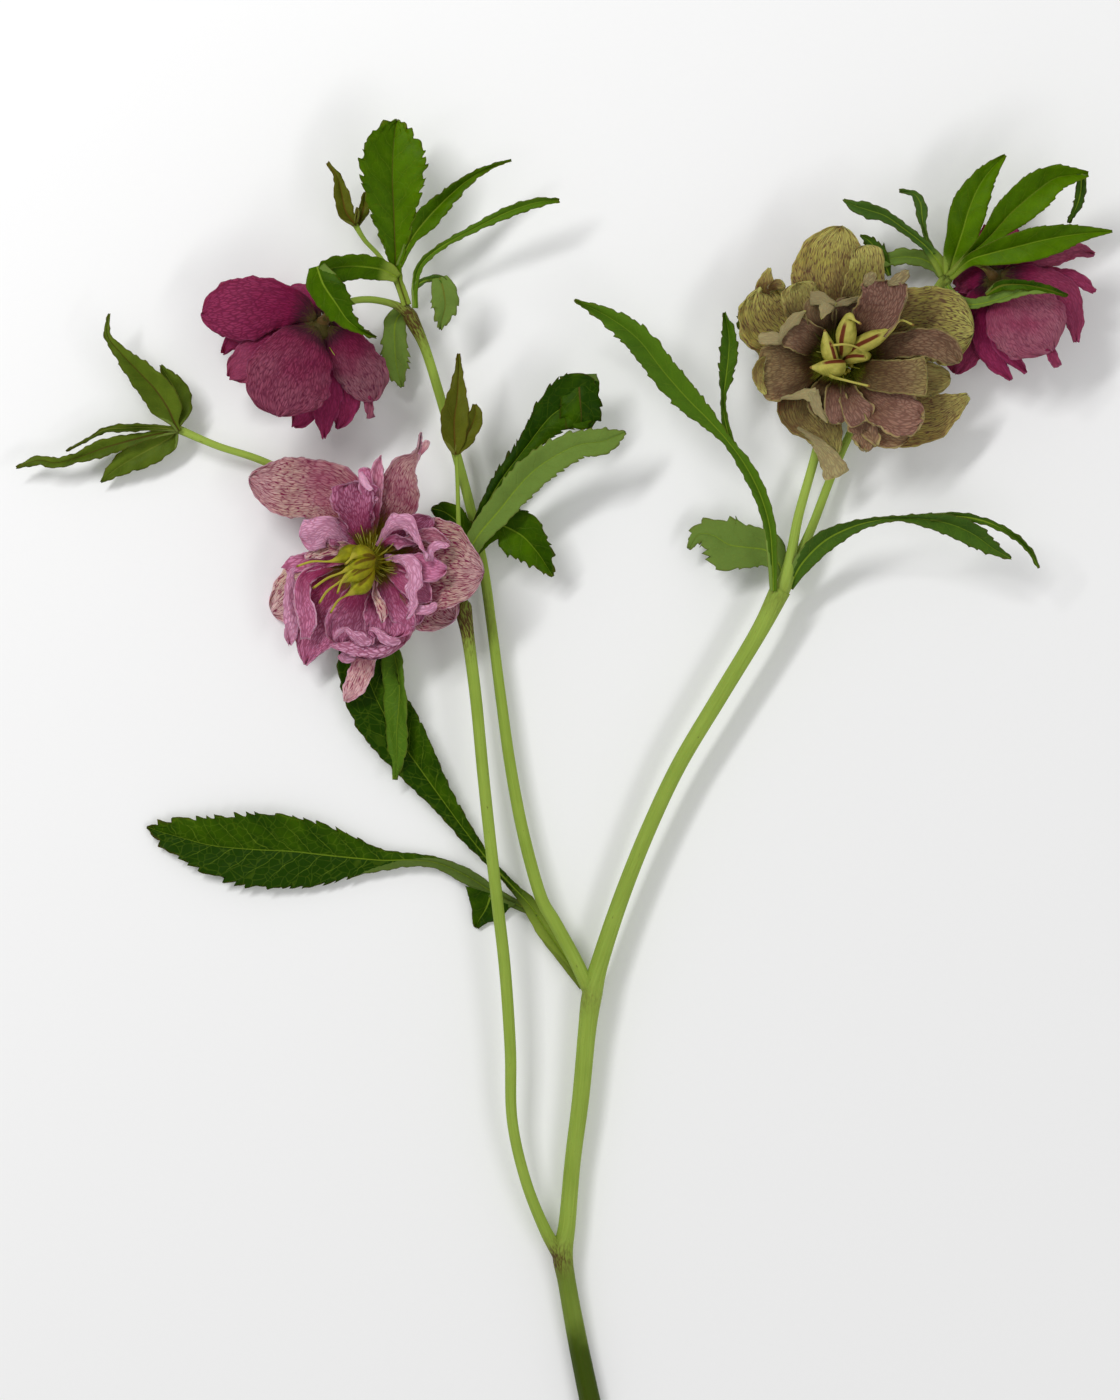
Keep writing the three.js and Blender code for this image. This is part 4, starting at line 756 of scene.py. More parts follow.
class Shader:
    """A material under construction, whose nodes are all added by one method."""

    def __init__(self, name: str) -> None:
        """Starts an empty material.

        Args:
            name: the material's name.
        """
        self.material = bpy.data.materials.new(name)
        self.material.use_nodes = True
        self.tree = self.material.node_tree
        self.tree.nodes.clear()

    def add(self, kind: str, settings: dict, inputs: dict) -> bpy.types.Node:
        """Adds a node.

        Args:
            kind: the node's type.
            settings: its own properties, set first.
            inputs: for each socket, by name or number, a value or what links to it.

        Returns:
            The node.
        """
        node = self.tree.nodes.new(kind)
        for key, setting in settings.items():
            setattr(node, key, setting)
        for key, value in inputs.items():
            if isinstance(value, Wire):
                value = value.socket
            if isinstance(value, bpy.types.NodeSocket):
                self.tree.links.new(value, node.inputs[key])
            else:
                node.inputs[key].default_value = value
        return node

    def node(self, kind: str, settings: dict, inputs: dict, output: int | str = 0) -> Wire:
        """Adds a node and returns one of its outputs as a number."""
        return Wire(self, self.add(kind, settings, inputs).outputs[output])

    def mark(self, name: str) -> tuple[Wire, Wire, Wire]:
        """The three numbers of a point attribute.

        Args:
            name: the attribute's name.

        Returns:
            Its numbers.
        """
        settings = {"attribute_name": name, "attribute_type": "GEOMETRY"}
        vector = self.add("ShaderNodeAttribute", settings, {}).outputs["Vector"]
        parts = self.add("ShaderNodeSeparateXYZ", {}, {0: vector})
        return tuple(Wire(self, parts.outputs[i]) for i in range(3))

    def vector(self, x: Value, y: Value, z: Value = 0.0) -> Wire:
        """A vector of three numbers."""
        return self.node("ShaderNodeCombineXYZ", {}, {0: x, 1: y, 2: z})

    def here(self) -> Wire:
        """The place on the piece.

        Returns:
            A vector in millimetres.
        """
        place = self.add("ShaderNodeTexCoord", {}, {}).outputs["Object"]
        inputs = {0: place, "Scale": 1 / MM}
        return self.node("ShaderNodeVectorMath", {"operation": "SCALE"}, inputs)

    def noise(self, where: Wire, scale: float, detail: float = 2, rough: float = 0.5) -> Wire:
        """Soft noise from 0 to 1 about 0.5."""
        inputs = {"Vector": where, "Scale": scale, "Detail": detail, "Roughness": rough}
        return self.node("ShaderNodeTexNoise", {}, inputs)

    def cells(self, where: Wire, scale: float) -> Wire:
        """A net whose lines are the edges between cells.

        Args:
            where: the place in the pattern.
            scale: cells to one unit of that place.

        Returns:
            The distance to the nearest line, 0 on it.
        """
        settings = {"feature": "DISTANCE_TO_EDGE"}
        inputs = {"Vector": where, "Scale": scale}
        return self.node("ShaderNodeTexVoronoi", settings, inputs)

    def blend(self, share: Value, first: Wire | str, second: Wire | str) -> Wire:
        """A colour between two others.

        Args:
            share: 0 for the first, 1 for the second.
            first: a colour, written as rrggbb or as a Wire.
            second: the same.

        Returns:
            The colour.
        """
        first, second = (linear(c) if isinstance(c, str) else c for c in (first, second))
        inputs = {0: share, 6: first, 7: second}
        return self.node("ShaderNodeMix", {"data_type": "RGBA"}, inputs, 2)

    def brighten(self, colour: Wire, factor: Wire) -> Wire:
        """The colour times a number."""
        inputs = {0: colour, "Scale": factor}
        return self.node("ShaderNodeVectorMath", {"operation": "SCALE"}, inputs)

    def finish(
        self, colour: Wire, rough: Value, height: Wire, depth: float, **constant: float
    ) -> Material:
        """Ends the material with a Principled shader.

        Args:
            colour: its base colour.
            rough: its roughness.
            height: relief from 0 to 1.
            depth: depth of that relief in mm.
            constant: values of the shader's other sockets, with _ for a space.

        Returns:
            The material.
        """
        bump = {"Strength": 1.0, "Distance": depth * MM, "Height": height}
        normal = self.add("ShaderNodeBump", {}, bump).outputs["Normal"]
        inputs = {"Base Color": colour, "Roughness": rough, "Normal": normal}
        inputs |= {key.replace("_", " "): value for key, value in constant.items()}
        surface = self.add("ShaderNodeBsdfPrincipled", {}, inputs).outputs[0]
        self.add("ShaderNodeOutputMaterial", {}, {0: surface})
        return self.material


# ------------------------ finishes

SIDE_PITCH = 7.0  # mm between two side veins of a leaf
SIDE_SLANT = 1.15  # how far a side vein goes along the leaf while it goes 1 across


@dataclass(frozen=True)
class TepalFinish:
    """The skin of a tepal, from a green heart over a dark throat, partly painted shade, to a paler
    outer part.

    Attributes:
        name: the material's name.
        heart, throat, inner, outer: its colours, from its very base to its upper half; the throat's
            dark colour is partly its own and partly painted shade.
        pale: colour of the outer part of a tepal whose mix is 1.
        vein, pale_vein: colours of its veins, and of those where it is pale.
        margin: colour of its pale edge, partly its own margin and partly painted highlight, and of
            the painted highlight at a pale tepal's end.
        back: colour of its underside.
        back_share: how far the underside takes that colour.
        throat_end, heart_end: shares of its length at which the throat, with its painted shade, and
            the heart end.
        tip_share: how far the end of a pale tepal takes the margin colour, as a painted highlight.
    """

    name: str
    heart: str
    throat: str
    inner: str
    outer: str
    pale: str
    vein: str
    pale_vein: str
    margin: str
    back: str
    back_share: float
    throat_end: float
    heart_end: float
    tip_share: float = 0

    def material(self) -> Material:
        """Builds the finish.

        The veins are the edges of cells about 0.6 mm wide and 2.5 mm long that draw apart
        towards the tip, with dashes of noise between them where the tepal is pale.

        Returns:
            The material.
        """
        sh = Shader(self.name)
        run, _, fan = sh.mark("place")
        s, _, face = sh.mark("share")
        mix, shade, mark = sh.mark("dress")
        inset, edge, base = sh.mark("trim")
        here = sh.here()

        wobble = sh.noise(here, 0.3, 2) - 0.5
        net = sh.cells(sh.vector(fan * 1.8 + wobble * 1.6, run * 0.4 + wobble * 0.6), 1.0)
        net = net.step(0.22, 0.03)
        fine = sh.noise(sh.vector(fan * 3.2, run * 0.5), 1.0, 2)
        dash = sh.noise(sh.vector(fan * 3.3 + wobble * 0.6, run * 0.42), 1.0, 1).step(0.46, 0.62)
        blotch = sh.noise(here, 0.1, 3).step(0.28, 0.72)
        soft = sh.noise(sh.vector(fan * 0.5, run * 0.13), 1.0, 3)

        outwards = (s + (blotch - 0.5) * 0.25).step(0.15, 0.85)
        ground = sh.blend(outwards, self.inner, self.outer)
        cream = (mix * (0.25 + outwards * 0.75) + (blotch - 0.5) * mix * 0.35).most(0).least(1)
        ground = sh.blend(cream, ground, self.pale)
        # Painted highlight: the end of a pale tepal is painted towards the margin colour.
        ground = sh.blend(s.step(0.7, 1) * cream * self.tip_share, ground, self.margin)
        ground = sh.brighten(ground, 0.62 + soft * 0.36 + fine * 0.44)
        vein_colour = sh.blend(cream, self.vein, self.pale_vein)
        whole = net * (0.34 + mark * 0.45) * (1 - cream * 0.55)
        dashes = dash * net.most(0.55) * cream * (0.55 + mark * 0.6)
        colour = sh.blend((whole + dashes).least(1), ground, vein_colour)

        # The pale edge is partly the tepal's own pale margin and partly a painted highlight on its
        # curled edge.
        rim = inset.step(0.6, 0.1) * edge
        colour = sh.blend(rim, colour, self.margin)
        under = face.step(0.2, -0.2)
        colour = sh.blend(under * self.back_share, colour, self.back)
        colour = sh.blend(under * net * (0.12 + mark * 0.7), colour, self.vein)
        # The dark throat is partly the tepal's own dark base and partly painted shade deep in the
        # flower.
        up = s - base * 0.7
        throat_shade = (up + (fine - 0.5) * 0.12).step(self.throat_end, 0.1)
        colour = sh.blend(throat_shade * (0.8 + net * 0.15), colour, self.throat)
        heart = (up + (fine - 0.5) * 0.4).step(self.heart_end, self.heart_end * 0.3)
        colour = sh.blend(heart * 0.85, colour, self.heart)
        colour = sh.brighten(colour, 1 + shade * 0.6)
        rough = 0.55 + soft * 0.2
        height = 0.7 - net * 0.4 + soft * 0.3
        return sh.finish(
            colour, rough, height, 0.14,
            Specular_IOR_Level=0.03, Subsurface_Weight=0.1, Subsurface_Scale=0.002,
        )


@dataclass(frozen=True)
class LeafFinish:
    """The skin of a leaf, with its midrib, side veins and the net between them.

    Attributes:
        name: the material's name.
        face, light, cool: colours of its upper side: plain, lighter, and where its mix is 1, a
            blue-green that is partly its own tone and partly painted sheen.
        back, vein, stalk: colours of its underside, its veins and its stalk.
        red: colour of a reddened midrib.
    """

    name: str
    face: str
    light: str
    cool: str
    back: str
    vein: str
    stalk: str
    red: str

    def material(self) -> Material:
        """Builds the finish.

        The midrib is a line where the distance across is 0. Side veins are lines of equal
        run - SIDE_SLANT |across|, so they leave the midrib towards the tip, and fade at the
        edge.

        Returns:
            The material.
        """
        sh = Shader(self.name)
        run, across, _ = sh.mark("place")
        s, v, face = sh.mark("share")
        cool, shade, red = sh.mark("dress")
        inset, veins, stalk = sh.mark("trim")
        here = sh.here()
        wobble = sh.noise(here, 0.16, 2) - 0.5
        away = abs(v)
        rib = (abs(across) / (0.5 - 0.34 * s)).step(1.0, 0.4)
        count = (run - abs(across) * SIDE_SLANT + wobble * 5) / SIDE_PITCH
        count = count + v.step(-0.01, 0.01) * 0.5
        line = abs(count.fraction() - 0.5)
        side = line.step(0.04, 0.01) * away.step(1.0, 0.5)
        # Painted shade: a broad band along each side vein, darkest on the vein, is painted darker
        # as shade in the hollow the vein lies in; the same band also shapes the bump.
        hollow = line.step(0.5, 0.0)
        net = sh.cells(sh.vector(across * 0.42 + wobble, run * 0.34 + wobble), 1.0)
        net = net.step(0.06, 0.01)
        mottle = sh.noise(here, 0.12, 3)
        grain = sh.noise(here, 1.4, 3, 0.6)

        # Painted shade and light: the half on one side of the midrib is painted darker and the
        # other lighter, as if light fell from one side.
        half = v.step(-0.05, 0.05) - 0.5
        lightness = shade * 0.5 + 0.5 + (mottle - 0.5) * 0.7 - hollow * 0.12 - half * 0.24
        colour = sh.blend(lightness.most(0).least(1), self.face, self.light)
        # Painted sheen: the blue-green mix stands partly for the leaf's own tone and partly for the
        # sheen of its glossy surface.
        colour = sh.blend(cool, colour, self.cool)
        under = face.step(0.2, -0.2)
        colour = sh.blend(under * (0.7 + mottle * 0.3), colour, self.back)
        lines = ((side * 0.4 + net * 0.18) * veins).least(1) * (1 - under * 0.4)
        colour = sh.blend(lines, colour, self.vein)
        green = (s - stalk).step(0.08, -0.06) * stalk.step(0.0, 0.02)
        colour = sh.blend(green * 0.85, colour, self.stalk)
        rib_colour = sh.blend(red, self.vein, self.red)
        colour = sh.blend(rib * (0.8 - s * 0.45), colour, rib_colour)
        colour = sh.blend(inset.step(0.35, 0.05) * 0.25, colour, self.red)
        colour = sh.brighten(colour, 0.88 + grain * 0.24 + under * shade * 0.4)
        rough = 0.36 + mottle * 0.16 + under * 0.22
        height = 0.7 - side * 0.2 - rib * 0.3 + hollow * 0.25 - net * 0.1 + grain * 0.12
        return sh.finish(
            colour, rough, height, 0.3,
            Specular_IOR_Level=0.045, Subsurface_Weight=0.04, Subsurface_Scale=0.001,
        )


@dataclass(frozen=True)
class StemFinish:
    """The skin of a stem: fine lengthwise streaks, dark towards its cut end, red at nodes.

    Attributes:
        name: the material's name.
        ground: its colour.
        light: the colour of its lighter streaks.
        dark: the colour of its dark end.
        red: the colour of its blushes.
        foot_below: place along Y in mm at which it starts to darken, at its first fork.
        dark_below: place along Y in mm at which its dark end begins.
    """

    name: str
    ground: str
    light: str
    dark: str
    red: str
    foot_below: float
    dark_below: float

    def material(self) -> Material:
        """Builds the finish, with streaks of noise that is stretched along the stem.

        Returns:
            The material.
        """
        sh = Shader(self.name)
        run, around, _ = sh.mark("place")
        blush, shade, _ = sh.mark("dress")
        here = sh.here()
        y = sh.node("ShaderNodeSeparateXYZ", {}, {0: here}, 1)
        streak = sh.noise(sh.vector(around * 1.6, run * 0.05), 1.0, 3, 0.6)
        mottle = sh.noise(here, 0.08, 3)
        speck = sh.noise(sh.vector(around * 2.2, run * 0.5), 1.0, 2)
        lightness = (streak * 0.9 + (mottle - 0.5) * 0.6 + shade * 0.5).most(0).least(1)
        colour = sh.blend(lightness, self.ground, self.light)
        foot = (y + mottle * 4).step(self.foot_below + 4, self.foot_below - 4) * 0.5
        colour = sh.blend(foot, colour, self.dark)
        low = (y + mottle * 22).step(self.dark_below + 16, self.dark_below - 4)
        colour = sh.blend(low, colour, self.dark)
        red = (blush * (0.45 + speck.step(0.4, 0.62) * 0.75)).least(0.92)
        colour = sh.blend(red, colour, self.red)
        flecks = speck.step(0.66, 0.74) * mottle.step(0.48, 0.6) * 0.6
        colour = sh.blend(flecks, colour, self.red)
        return sh.finish(
            colour, 0.42 + streak * 0.18, streak, 0.3,
            Specular_IOR_Level=0.12, Subsurface_Weight=0.06, Subsurface_Scale=0.002,
        )


@dataclass(frozen=True)
class CarpelFinish:
    """The skin of a seed case: green-yellow with painted light on its upper, seam side, a dark
    seam, and paling along its style.

    Attributes:
        name: the material's name.
        ground: its colour.
        light: the colour of its lighter patches and of the painted light on its seam side.
        seam: the colour of its seam and of its stigma.
        style: the colour of its style.
        seam_share: how strong the seam's colour is.
    """

    name: str
    ground: str
    light: str
    seam: str
    style: str
    seam_share: float

    def material(self) -> Material:
        """Builds the finish; the seam lies where the cosine of the angle is near 1.

        It shows on the thick part of the tube alone, and the thin outer part is the style.

        Returns:
            The material.
        """
        sh = Shader(self.name)
        run, around, _ = sh.mark("place")
        s, cosine, _ = sh.mark("share")
        _, _, thick = sh.mark("dress")
        here = sh.here()
        mottle = sh.noise(here, 0.45, 3)
        streak = sh.noise(sh.vector(around * 1.2, run * 0.2), 1.0, 2)
        lightness = mottle.step(0.35, 0.65) * 0.4 + streak * 0.5
        # Painted light: the case is painted lighter towards its seam, which on a seed case lies
        # near the top, and lighter still beside the seam on its thick part.
        lightness = (lightness + cosine.step(-0.6, 0.95) * 0.5 - 0.2).most(0).least(1)
        colour = sh.blend(lightness, self.ground, self.light)
        side = cosine.step(0.7, 0.95) * thick.step(0.5, 0.7)
        colour = sh.blend(side * 0.4, colour, self.light)
        band = cosine.step(0.955, 0.985) * thick.step(0.6, 0.8)
        colour = sh.blend(band * self.seam_share, colour, self.seam)
        colour = sh.blend(s.step(0.5, 0.65) * thick.step(0.5, 0.3), colour, self.style)
        colour = sh.blend(s.step(0.975, 0.995) * 0.7, colour, self.seam)
        return sh.finish(
            colour, 0.38 + streak * 0.15, streak, 0.2,
            Specular_IOR_Level=0.15, Subsurface_Weight=0.08, Subsurface_Scale=0.002,
        )


@dataclass(frozen=True)
class FloorFinish:
    """Plain pale card."""

    name: str
    colour: str

    def material(self) -> Material:
        """Builds the finish: near white, with the faintest tooth.

        The blend of the colour with itself makes a Wire of it.

        Returns:
            The material.
        """
        sh = Shader(self.name)
        tooth = sh.noise(sh.here(), 0.6, 3)
        colour = sh.brighten(sh.blend(0.0, self.colour, self.colour), 0.995 + tooth * 0.01)
        return sh.finish(colour, 0.9, tooth, 0.02)


# ------------------------ sub-assemblies


def add_piece(
    name: str, patches: list[Patch], material: Material, slot: str, *nodes: str
) -> None:
    """Adds a dressed piece that rides on the stem's body and stands for solids.

    Args:
        name: the piece's name.
        patches: its closed surfaces.
        material: its finish.
        slot: the name of its material slot; not used.
        nodes: the solids that it replaces.
    """
    piece = mesh_object(name, patches)
    piece.data.materials.append(material)
    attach(piece, "root")
    if nodes:
        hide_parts(*nodes)
    LOG.info("%s: %d points", piece.name, len(piece.data.vertices))


@dataclass(frozen=True)
class Stem:
    """The stem with its branches and flower stalks, and its blushes as Tube.patch takes them."""

    limbs: tuple[Tube, ...]
    spots: Rows

    def build(self, material: Material) -> None:
        """Builds the whole stem as one piece."""
        patches = [
            tube.patch(seed, sides=28 if tube.ridges else 18, step=1.1, spots=self.spots)
            for seed, tube in enumerate(self.limbs)
        ]
        add_piece("stem_skin", patches, material, "stem", "stem")


@dataclass(frozen=True)
class Leaf:
    """A leaf, or lobes that grow together, standing for one solid."""

    node: str
    lobes: tuple[Sheet, ...]
    brownish: bool = False

    def build(self, material: Material, seed: int) -> None:
        """Builds the lobes as one piece."""
        patches = [lobe.patch(seed + k) for k, lobe in enumerate(self.lobes)]
        add_piece(f"{self.node}_skin", patches, material, "leaf", self.node)


@dataclass(frozen=True)
class Bud:
    """A closed bud in the bracts that wrap it."""

    node: str
    body: Rows
    lobes: tuple[Sheet, ...]

    def build(self, material: Material, seed: int) -> None:
        """Builds the bud and its bracts as one piece.

        Args:
            material: its finish.
            seed: of its first bract.
        """
        core = Sheet(self.body, Form(cup=330, tip=0.4))
        patches = [lobe.patch(seed + k, column=0.5) for k, lobe in enumerate(self.lobes)]
        patches.append(core.patch(seed + len(self.lobes), station=0.4, column=0.3))
        add_piece(f"{self.node}_skin", patches, material, "bract", self.node)


@dataclass(frozen=True)
class Flower:
    """A double flower: tepals and seed cases that grow from the seat on its stalk.

    Attributes:
        name: the solid that its tepals replace, and the start of its pieces' names.
        slot: the name of its tepals' material slot.
        base: the foot of its seat.
        axis: unit vector along which it opens.
        seat_radius: radius of the top of its seat.
        tepals: its tepals, which are rooted in the seat.
        flaps: lips that grow on the tepals' edges.
        carpels: rows of its seed cases; a row without a radius belongs to the style.
        filaments: number of threads round the seed cases.
    """

    name: str
    slot: str
    base: Point
    axis: Point
    seat_radius: float
    tepals: tuple[Sheet, ...]
    flaps: tuple[Sheet, ...]
    carpels: tuple[Rows, ...]
    filaments: int = 9

    def above(self, height: float) -> Array:
        """The place on the flower's axis at a height above the foot of its seat."""
        return np.array(self.base) + np.array(self.axis) * height

    def rooted(self, rows: Rows, height: float, reach: float, size: float) -> Rows:
        """The rows with a first one in the seat.

        Args:
            rows: a tepal's or a seed case's rows.
            height: of the new row above the foot of the seat.
            reach: its distance from the flower's axis, towards the first row.
            size: its half width or radius.

        Returns:
            The longer rows.
        """
        up = np.array(self.axis)
        out = np.array(rows[0][:3]) - self.above(0)
        out = unit(out - up * (out @ up)) * reach
        return ((*(self.above(height) + out), size), *rows)

    def corolla(self, material: Material, seed: int) -> None:
        """Builds all tepals as one piece.

        Args:
            material: their finish.
            seed: of the first tepal.
        """
        patches = []
        for k, flap in enumerate(self.flaps):
            tint = replace(flap.tint, base=NO_THROAT)
            patches.append(replace(flap, tint=tint).patch(seed + FLAP_SEED + k, column=0.5))
        for k, tepal in enumerate(self.tepals):
            rise = tepal.form.rise + (k % 2) * RISE_STEP
            reach = self.seat_radius - ROOT_INSET
            rows = self.rooted(tepal.rows, rise, reach, ROOT_HALF_WIDTH)
            patches.append(replace(tepal, rows=rows).patch(seed + k))
        add_piece(f"{self.name}_tepals", patches, material, self.slot, self.name)

    def seat(self, material: Material) -> None:
        """Builds the seat at the top of the stalk, which widens upwards.

        Args:
            material: its finish.
        """
        rows = tuple(
            (*self.above(SEAT_HEIGHT * share), self.seat_radius * (1 - SEAT_TAPER * (1 - share)))
            for share in (0.0, 0.5, 1.0)
        )
        patch = Tube(rows, shade=-0.6).patch(SEAT_SEED, sides=32, step=0.5)
        add_piece(f"{self.name}_seat", [patch], material, "stem")

    def centre(self, material: Material, seed: int) -> None:
        """Builds the seed cases, each with its seam and its style, as one piece.

        Args:
            material: their finish.
            seed: of the first seed case.
        """
        patches = []
        for k, carpel in enumerate(self.carpels):
            rows = tuple(row if len(row) == 4 else (*row, STYLE_RADIUS) for row in carpel)
            grown = self.rooted(rows, CENTRE_HEIGHT, CARPEL_ROOT_REACH, CARPEL_ROOT_RADIUS)
            patches.append(Tube(grown, seam=SEAM_RISE).patch(seed + k, sides=28, step=0.35))
        add_piece(f"{self.name}_seed_cases", patches, material, "carpel", f"{self.name}_centre")

    def ring(self, material: Material, seed: int) -> None:
        """Builds the nectaries round the foot of the seed cases, and the filaments.

        Each nectary is a short tube, widest at its mouth, that leans outwards by a third of
        its height. The filaments are thin threads that arch out over the tepals' roots.

        Args:
            material: their finish.
            seed: of the random draws and of the first nectary.
        """
        up = np.array(self.axis)
        first = unit(np.cross(up, (0.3, 0.9, 0.1)))
        second = np.cross(up, first)
        draw = np.random.default_rng(seed)
        inner = self.seat_radius / 2
        patches = []

        def row(angle: float, reach: float, height: float, size: float) -> Row:
            """A row at a distance from the axis and a height above the ring's foot."""
            out = first * math.cos(angle) + second * math.sin(angle)
            return (*(self.above(CENTRE_HEIGHT - RING_DROP + height) + out * reach), size)

        for k in range(NECTARIES):
            angle = 2 * math.pi * k / NECTARIES + draw.uniform(-0.1, 0.1)
            rows = (
                row(angle, inner, 0, 0.35),
                row(angle, inner + 0.3, 1.1, 0.55),
                row(angle, inner + 0.7, 2.1 + draw.uniform(-0.2, 0.3), 0.75),
            )
            patches.append(Tube(rows).patch(seed + k, sides=10, step=0.35))
        for k in range(self.filaments):
            angle = 2 * math.pi * k / self.filaments + draw.uniform(-0.25, 0.25)
            far, high = draw.uniform(3, 9), draw.uniform(2.0, 4.6)
            rows = (
                row(angle, inner * 0.6, 0.8, 0.3),
                row(angle, inner + far * 0.3, high * 0.8, 0.2),
                row(angle + 0.06, inner + far * 0.7, high, 0.14),
                row(angle + 0.12, inner + far, high, 0.1),
            )
            thread = Tube(rows, shade=1)
            patches.append(thread.patch(seed + FILAMENT_SEED + k, sides=8, step=0.4))
        add_piece(f"{self.name}_nectaries", patches, material, "carpel")


# ------------------------ finishes of this stem

STEM_SKIN = StemFinish(
    name="stem_green", ground="7e9632", light="a2ba50", dark="3a4c00", red="4a2414",
    foot_below=-149, dark_below=-166,
)
SEAT_SKIN = StemFinish(
    name="seat_brown", ground="3c3410", light="4c4614", dark="3a3010", red="30200c",
    foot_below=-149, dark_below=-400,
)
SEAT_GOLD = replace(SEAT_SKIN, name="seat_gold", ground="5a5400", light="8c8414", dark="4a4400")
LEAF_SKIN = LeafFinish(
    name="leaf_green", face="1e3a00", light="547800", cool="425e28", back="6e863c",
    vein="86a02a", stalk="8a9e3c", red="5a3220",
)
OLIVE_LEAF_SKIN = replace(
    LEAF_SKIN, name="leaf_olive", face="30400a", light="62761e", back="6a7c38", vein="7c8a32",
    stalk="6a7028", red="4a1c14",
)
BRACT_SKIN = LeafFinish(
    name="bract_green", face="404206", light="62681a", cool="5a6030", back="6a6e2e",
    vein="8a8430", stalk="6a7028", red="58200e",
)
PINK_SKIN = TepalFinish(
    name="pink_tepal", heart="787004", throat="4a121e", inner="96305a", outer="c87ea0",
    pale="c2a894", vein="7a1640", pale_vein="7c2e4a", margin="e2bacc", back="d8a2be",
    back_share=0.8, throat_end=0.38, heart_end=0.34, tip_share=0.35,
)
OLIVE_SKIN = TepalFinish(
    name="olive_tepal", heart="626a14", throat="2a1a06", inner="442e12", outer="846456",
    pale="a0984c", vein="462824", pale_vein="66503a", margin="c8c670", back="988c66",
    back_share=0.85, throat_end=0.6, heart_end=0.3, tip_share=0.6,
)
MAGENTA_SKIN = TepalFinish(
    name="magenta_tepal", heart="4e4a20", throat="381c26", inner="7a1a42", outer="8e3056",
    pale="94666e", vein="4c0826", pale_vein="602840", margin="a05478", back="8e3056",
    back_share=0.0, throat_end=0.26, heart_end=0.09,
)
GOLD_CARPEL = CarpelFinish(
    name="gold_carpel", ground="5c5a00", light="a4a21a", seam="5a2c08", style="a8a034",
    seam_share=0.7,
)
LIME_CARPEL = CarpelFinish(
    name="lime_carpel", ground="70701c", light="bab254", seam="681c12", style="b4ac54",
    seam_share=0.95,
)
NECTARY_SKIN = CarpelFinish(
    name="nectary_green", ground="6c6c0c", light="9c9a30", seam="7c6c18", style="b2ac60",
    seam_share=0.0,
)


# ------------------------ the plant

# Leaf blades, outer, inner and pointed tepals, lips on their edges, and tepals seen from behind.
BLADE = Form(rib=0.25, rag=0.25)
OUTER = Form(rise=0.8, tip=0.35, cup=36, crinkle=0.35, frill=0.45, rag=0.3)
INNER = Form(rise=1.6, tip=0.3, cup=50, ruffle=0.8, crinkle=0.35, frill=0.8, rag=0.25)
POINTED = replace(INNER, tip=0, ruffle=0.5)
LIP = Form(tip=0.15, cup=-40, crinkle=0.2, frill=0.3, rag=0.3)
SHARP_LIP = replace(LIP, tip=0)
OUTER_BACK = replace(OUTER, cup=-50, tip=0.3)
INNER_BACK = replace(INNER, cup=-50)
POINTED_BACK = replace(POINTED, cup=-40)

MAIN_STEM: Rows = (
    (8.7, -193.8, 3.2, 3.2), (4.4, -173, 3.4, 2.95), (1.3, -156, 4.2, 2.75), (0, -147, 5, 3.1),
    (1.3, -138, 5.4, 2.6), (3, -119, 6, 2.45), (5.4, -100, 6.8, 2.6), (7.3, -80, 7.6, 2.75),
    (8.8, -69, 8, 3.1), (11.2, -59, 8.4, 2.7), (17.5, -40, 9.2, 2.45), (25.4, -20, 10, 2.35),
    (34.8, 0, 10.8, 2.35), (46.7, 20, 11.4, 2.45), (58.8, 40, 12, 2.6), (65.5, 53, 12.4, 3.2),
)

LEFT_BRANCH: Rows = (
    (-0.2, -148.5, 5, 2.4), (-5.6, -139.2, 6, 1.8), (-11.4, -124.2, 7.5, 1.65),
    (-15.3, -106.2, 9, 1.65), (-15.8, -85.2, 10.5, 1.75), (-17.4, -61.2, 11.8, 1.8),
    (-19.8, -40.2, 12.5, 1.8), (-22, -21, 12.7, 1.8), (-24.1, -1, 12.8, 1.8),
    (-26.1, 20, 13, 1.8), (-28.4, 38, 13.5, 1.95), (-30, 47.5, 14, 2.7),
)

MIDDLE_BRANCH: Rows = (
    (8.2, -68, 8, 2.2), (3.5, -58, 8, 2.1), (-2.5, -47, 7.6, 2), (-6.8, -39, 7.4, 1.9),
    (-12, -20, 7, 1.85), (-15.8, 0, 6.8, 1.75), (-18.6, 20, 6.6, 1.65), (-21.3, 41, 6.4, 1.55),
    (-24, 60, 6.4, 1.55), (-27.9, 78, 6.8, 1.5), (-32.4, 95, 8, 1.45), (-37.2, 112, 10, 1.45),
    (-41.6, 126, 11.6, 1.55), (-45.8, 135, 12.5, 2.3),
)

PINK_STALK: Rows = (
    (-30, 46.5, 14, 2.2), (-38, 52, 12.5, 1.5), (-47, 58, 12, 1.6), (-53, 61.5, 12.6, 2),
    (-57, 63, 14.8, 2.6),
)

SPRAY_STALK: Rows = (
    (-30, 47, 13, 1.6), (-38, 56, 8, 1.2), (-52, 69, 4.6, 1.1), (-72, 82.5, 4.6, 1.1),
    (-90, 91.6, 6, 1.15), (-104, 96.3, 7, 1.1), (-116, 101.4, 8, 1.3),
)

PINK_BUD_STALK: Rows = (
    (-30, 48, 14, 1.4), (-31, 60, 16, 0.95), (-31.4, 74, 16.6, 0.7), (-31.7, 86, 16.8, 0.65),
    (-32, 93.6, 17, 0.8),
)

UPPER_LEFT_STALK: Rows = (
    (-46.2, 136, 12.8, 1.9), (-51, 138.7, 15, 1.15), (-58, 140, 18.6, 1.05),
    (-64.5, 139, 22.4, 1.05), (-69.5, 135.5, 25.4, 1.2), (-72, 133, 26.6, 1.9),
)

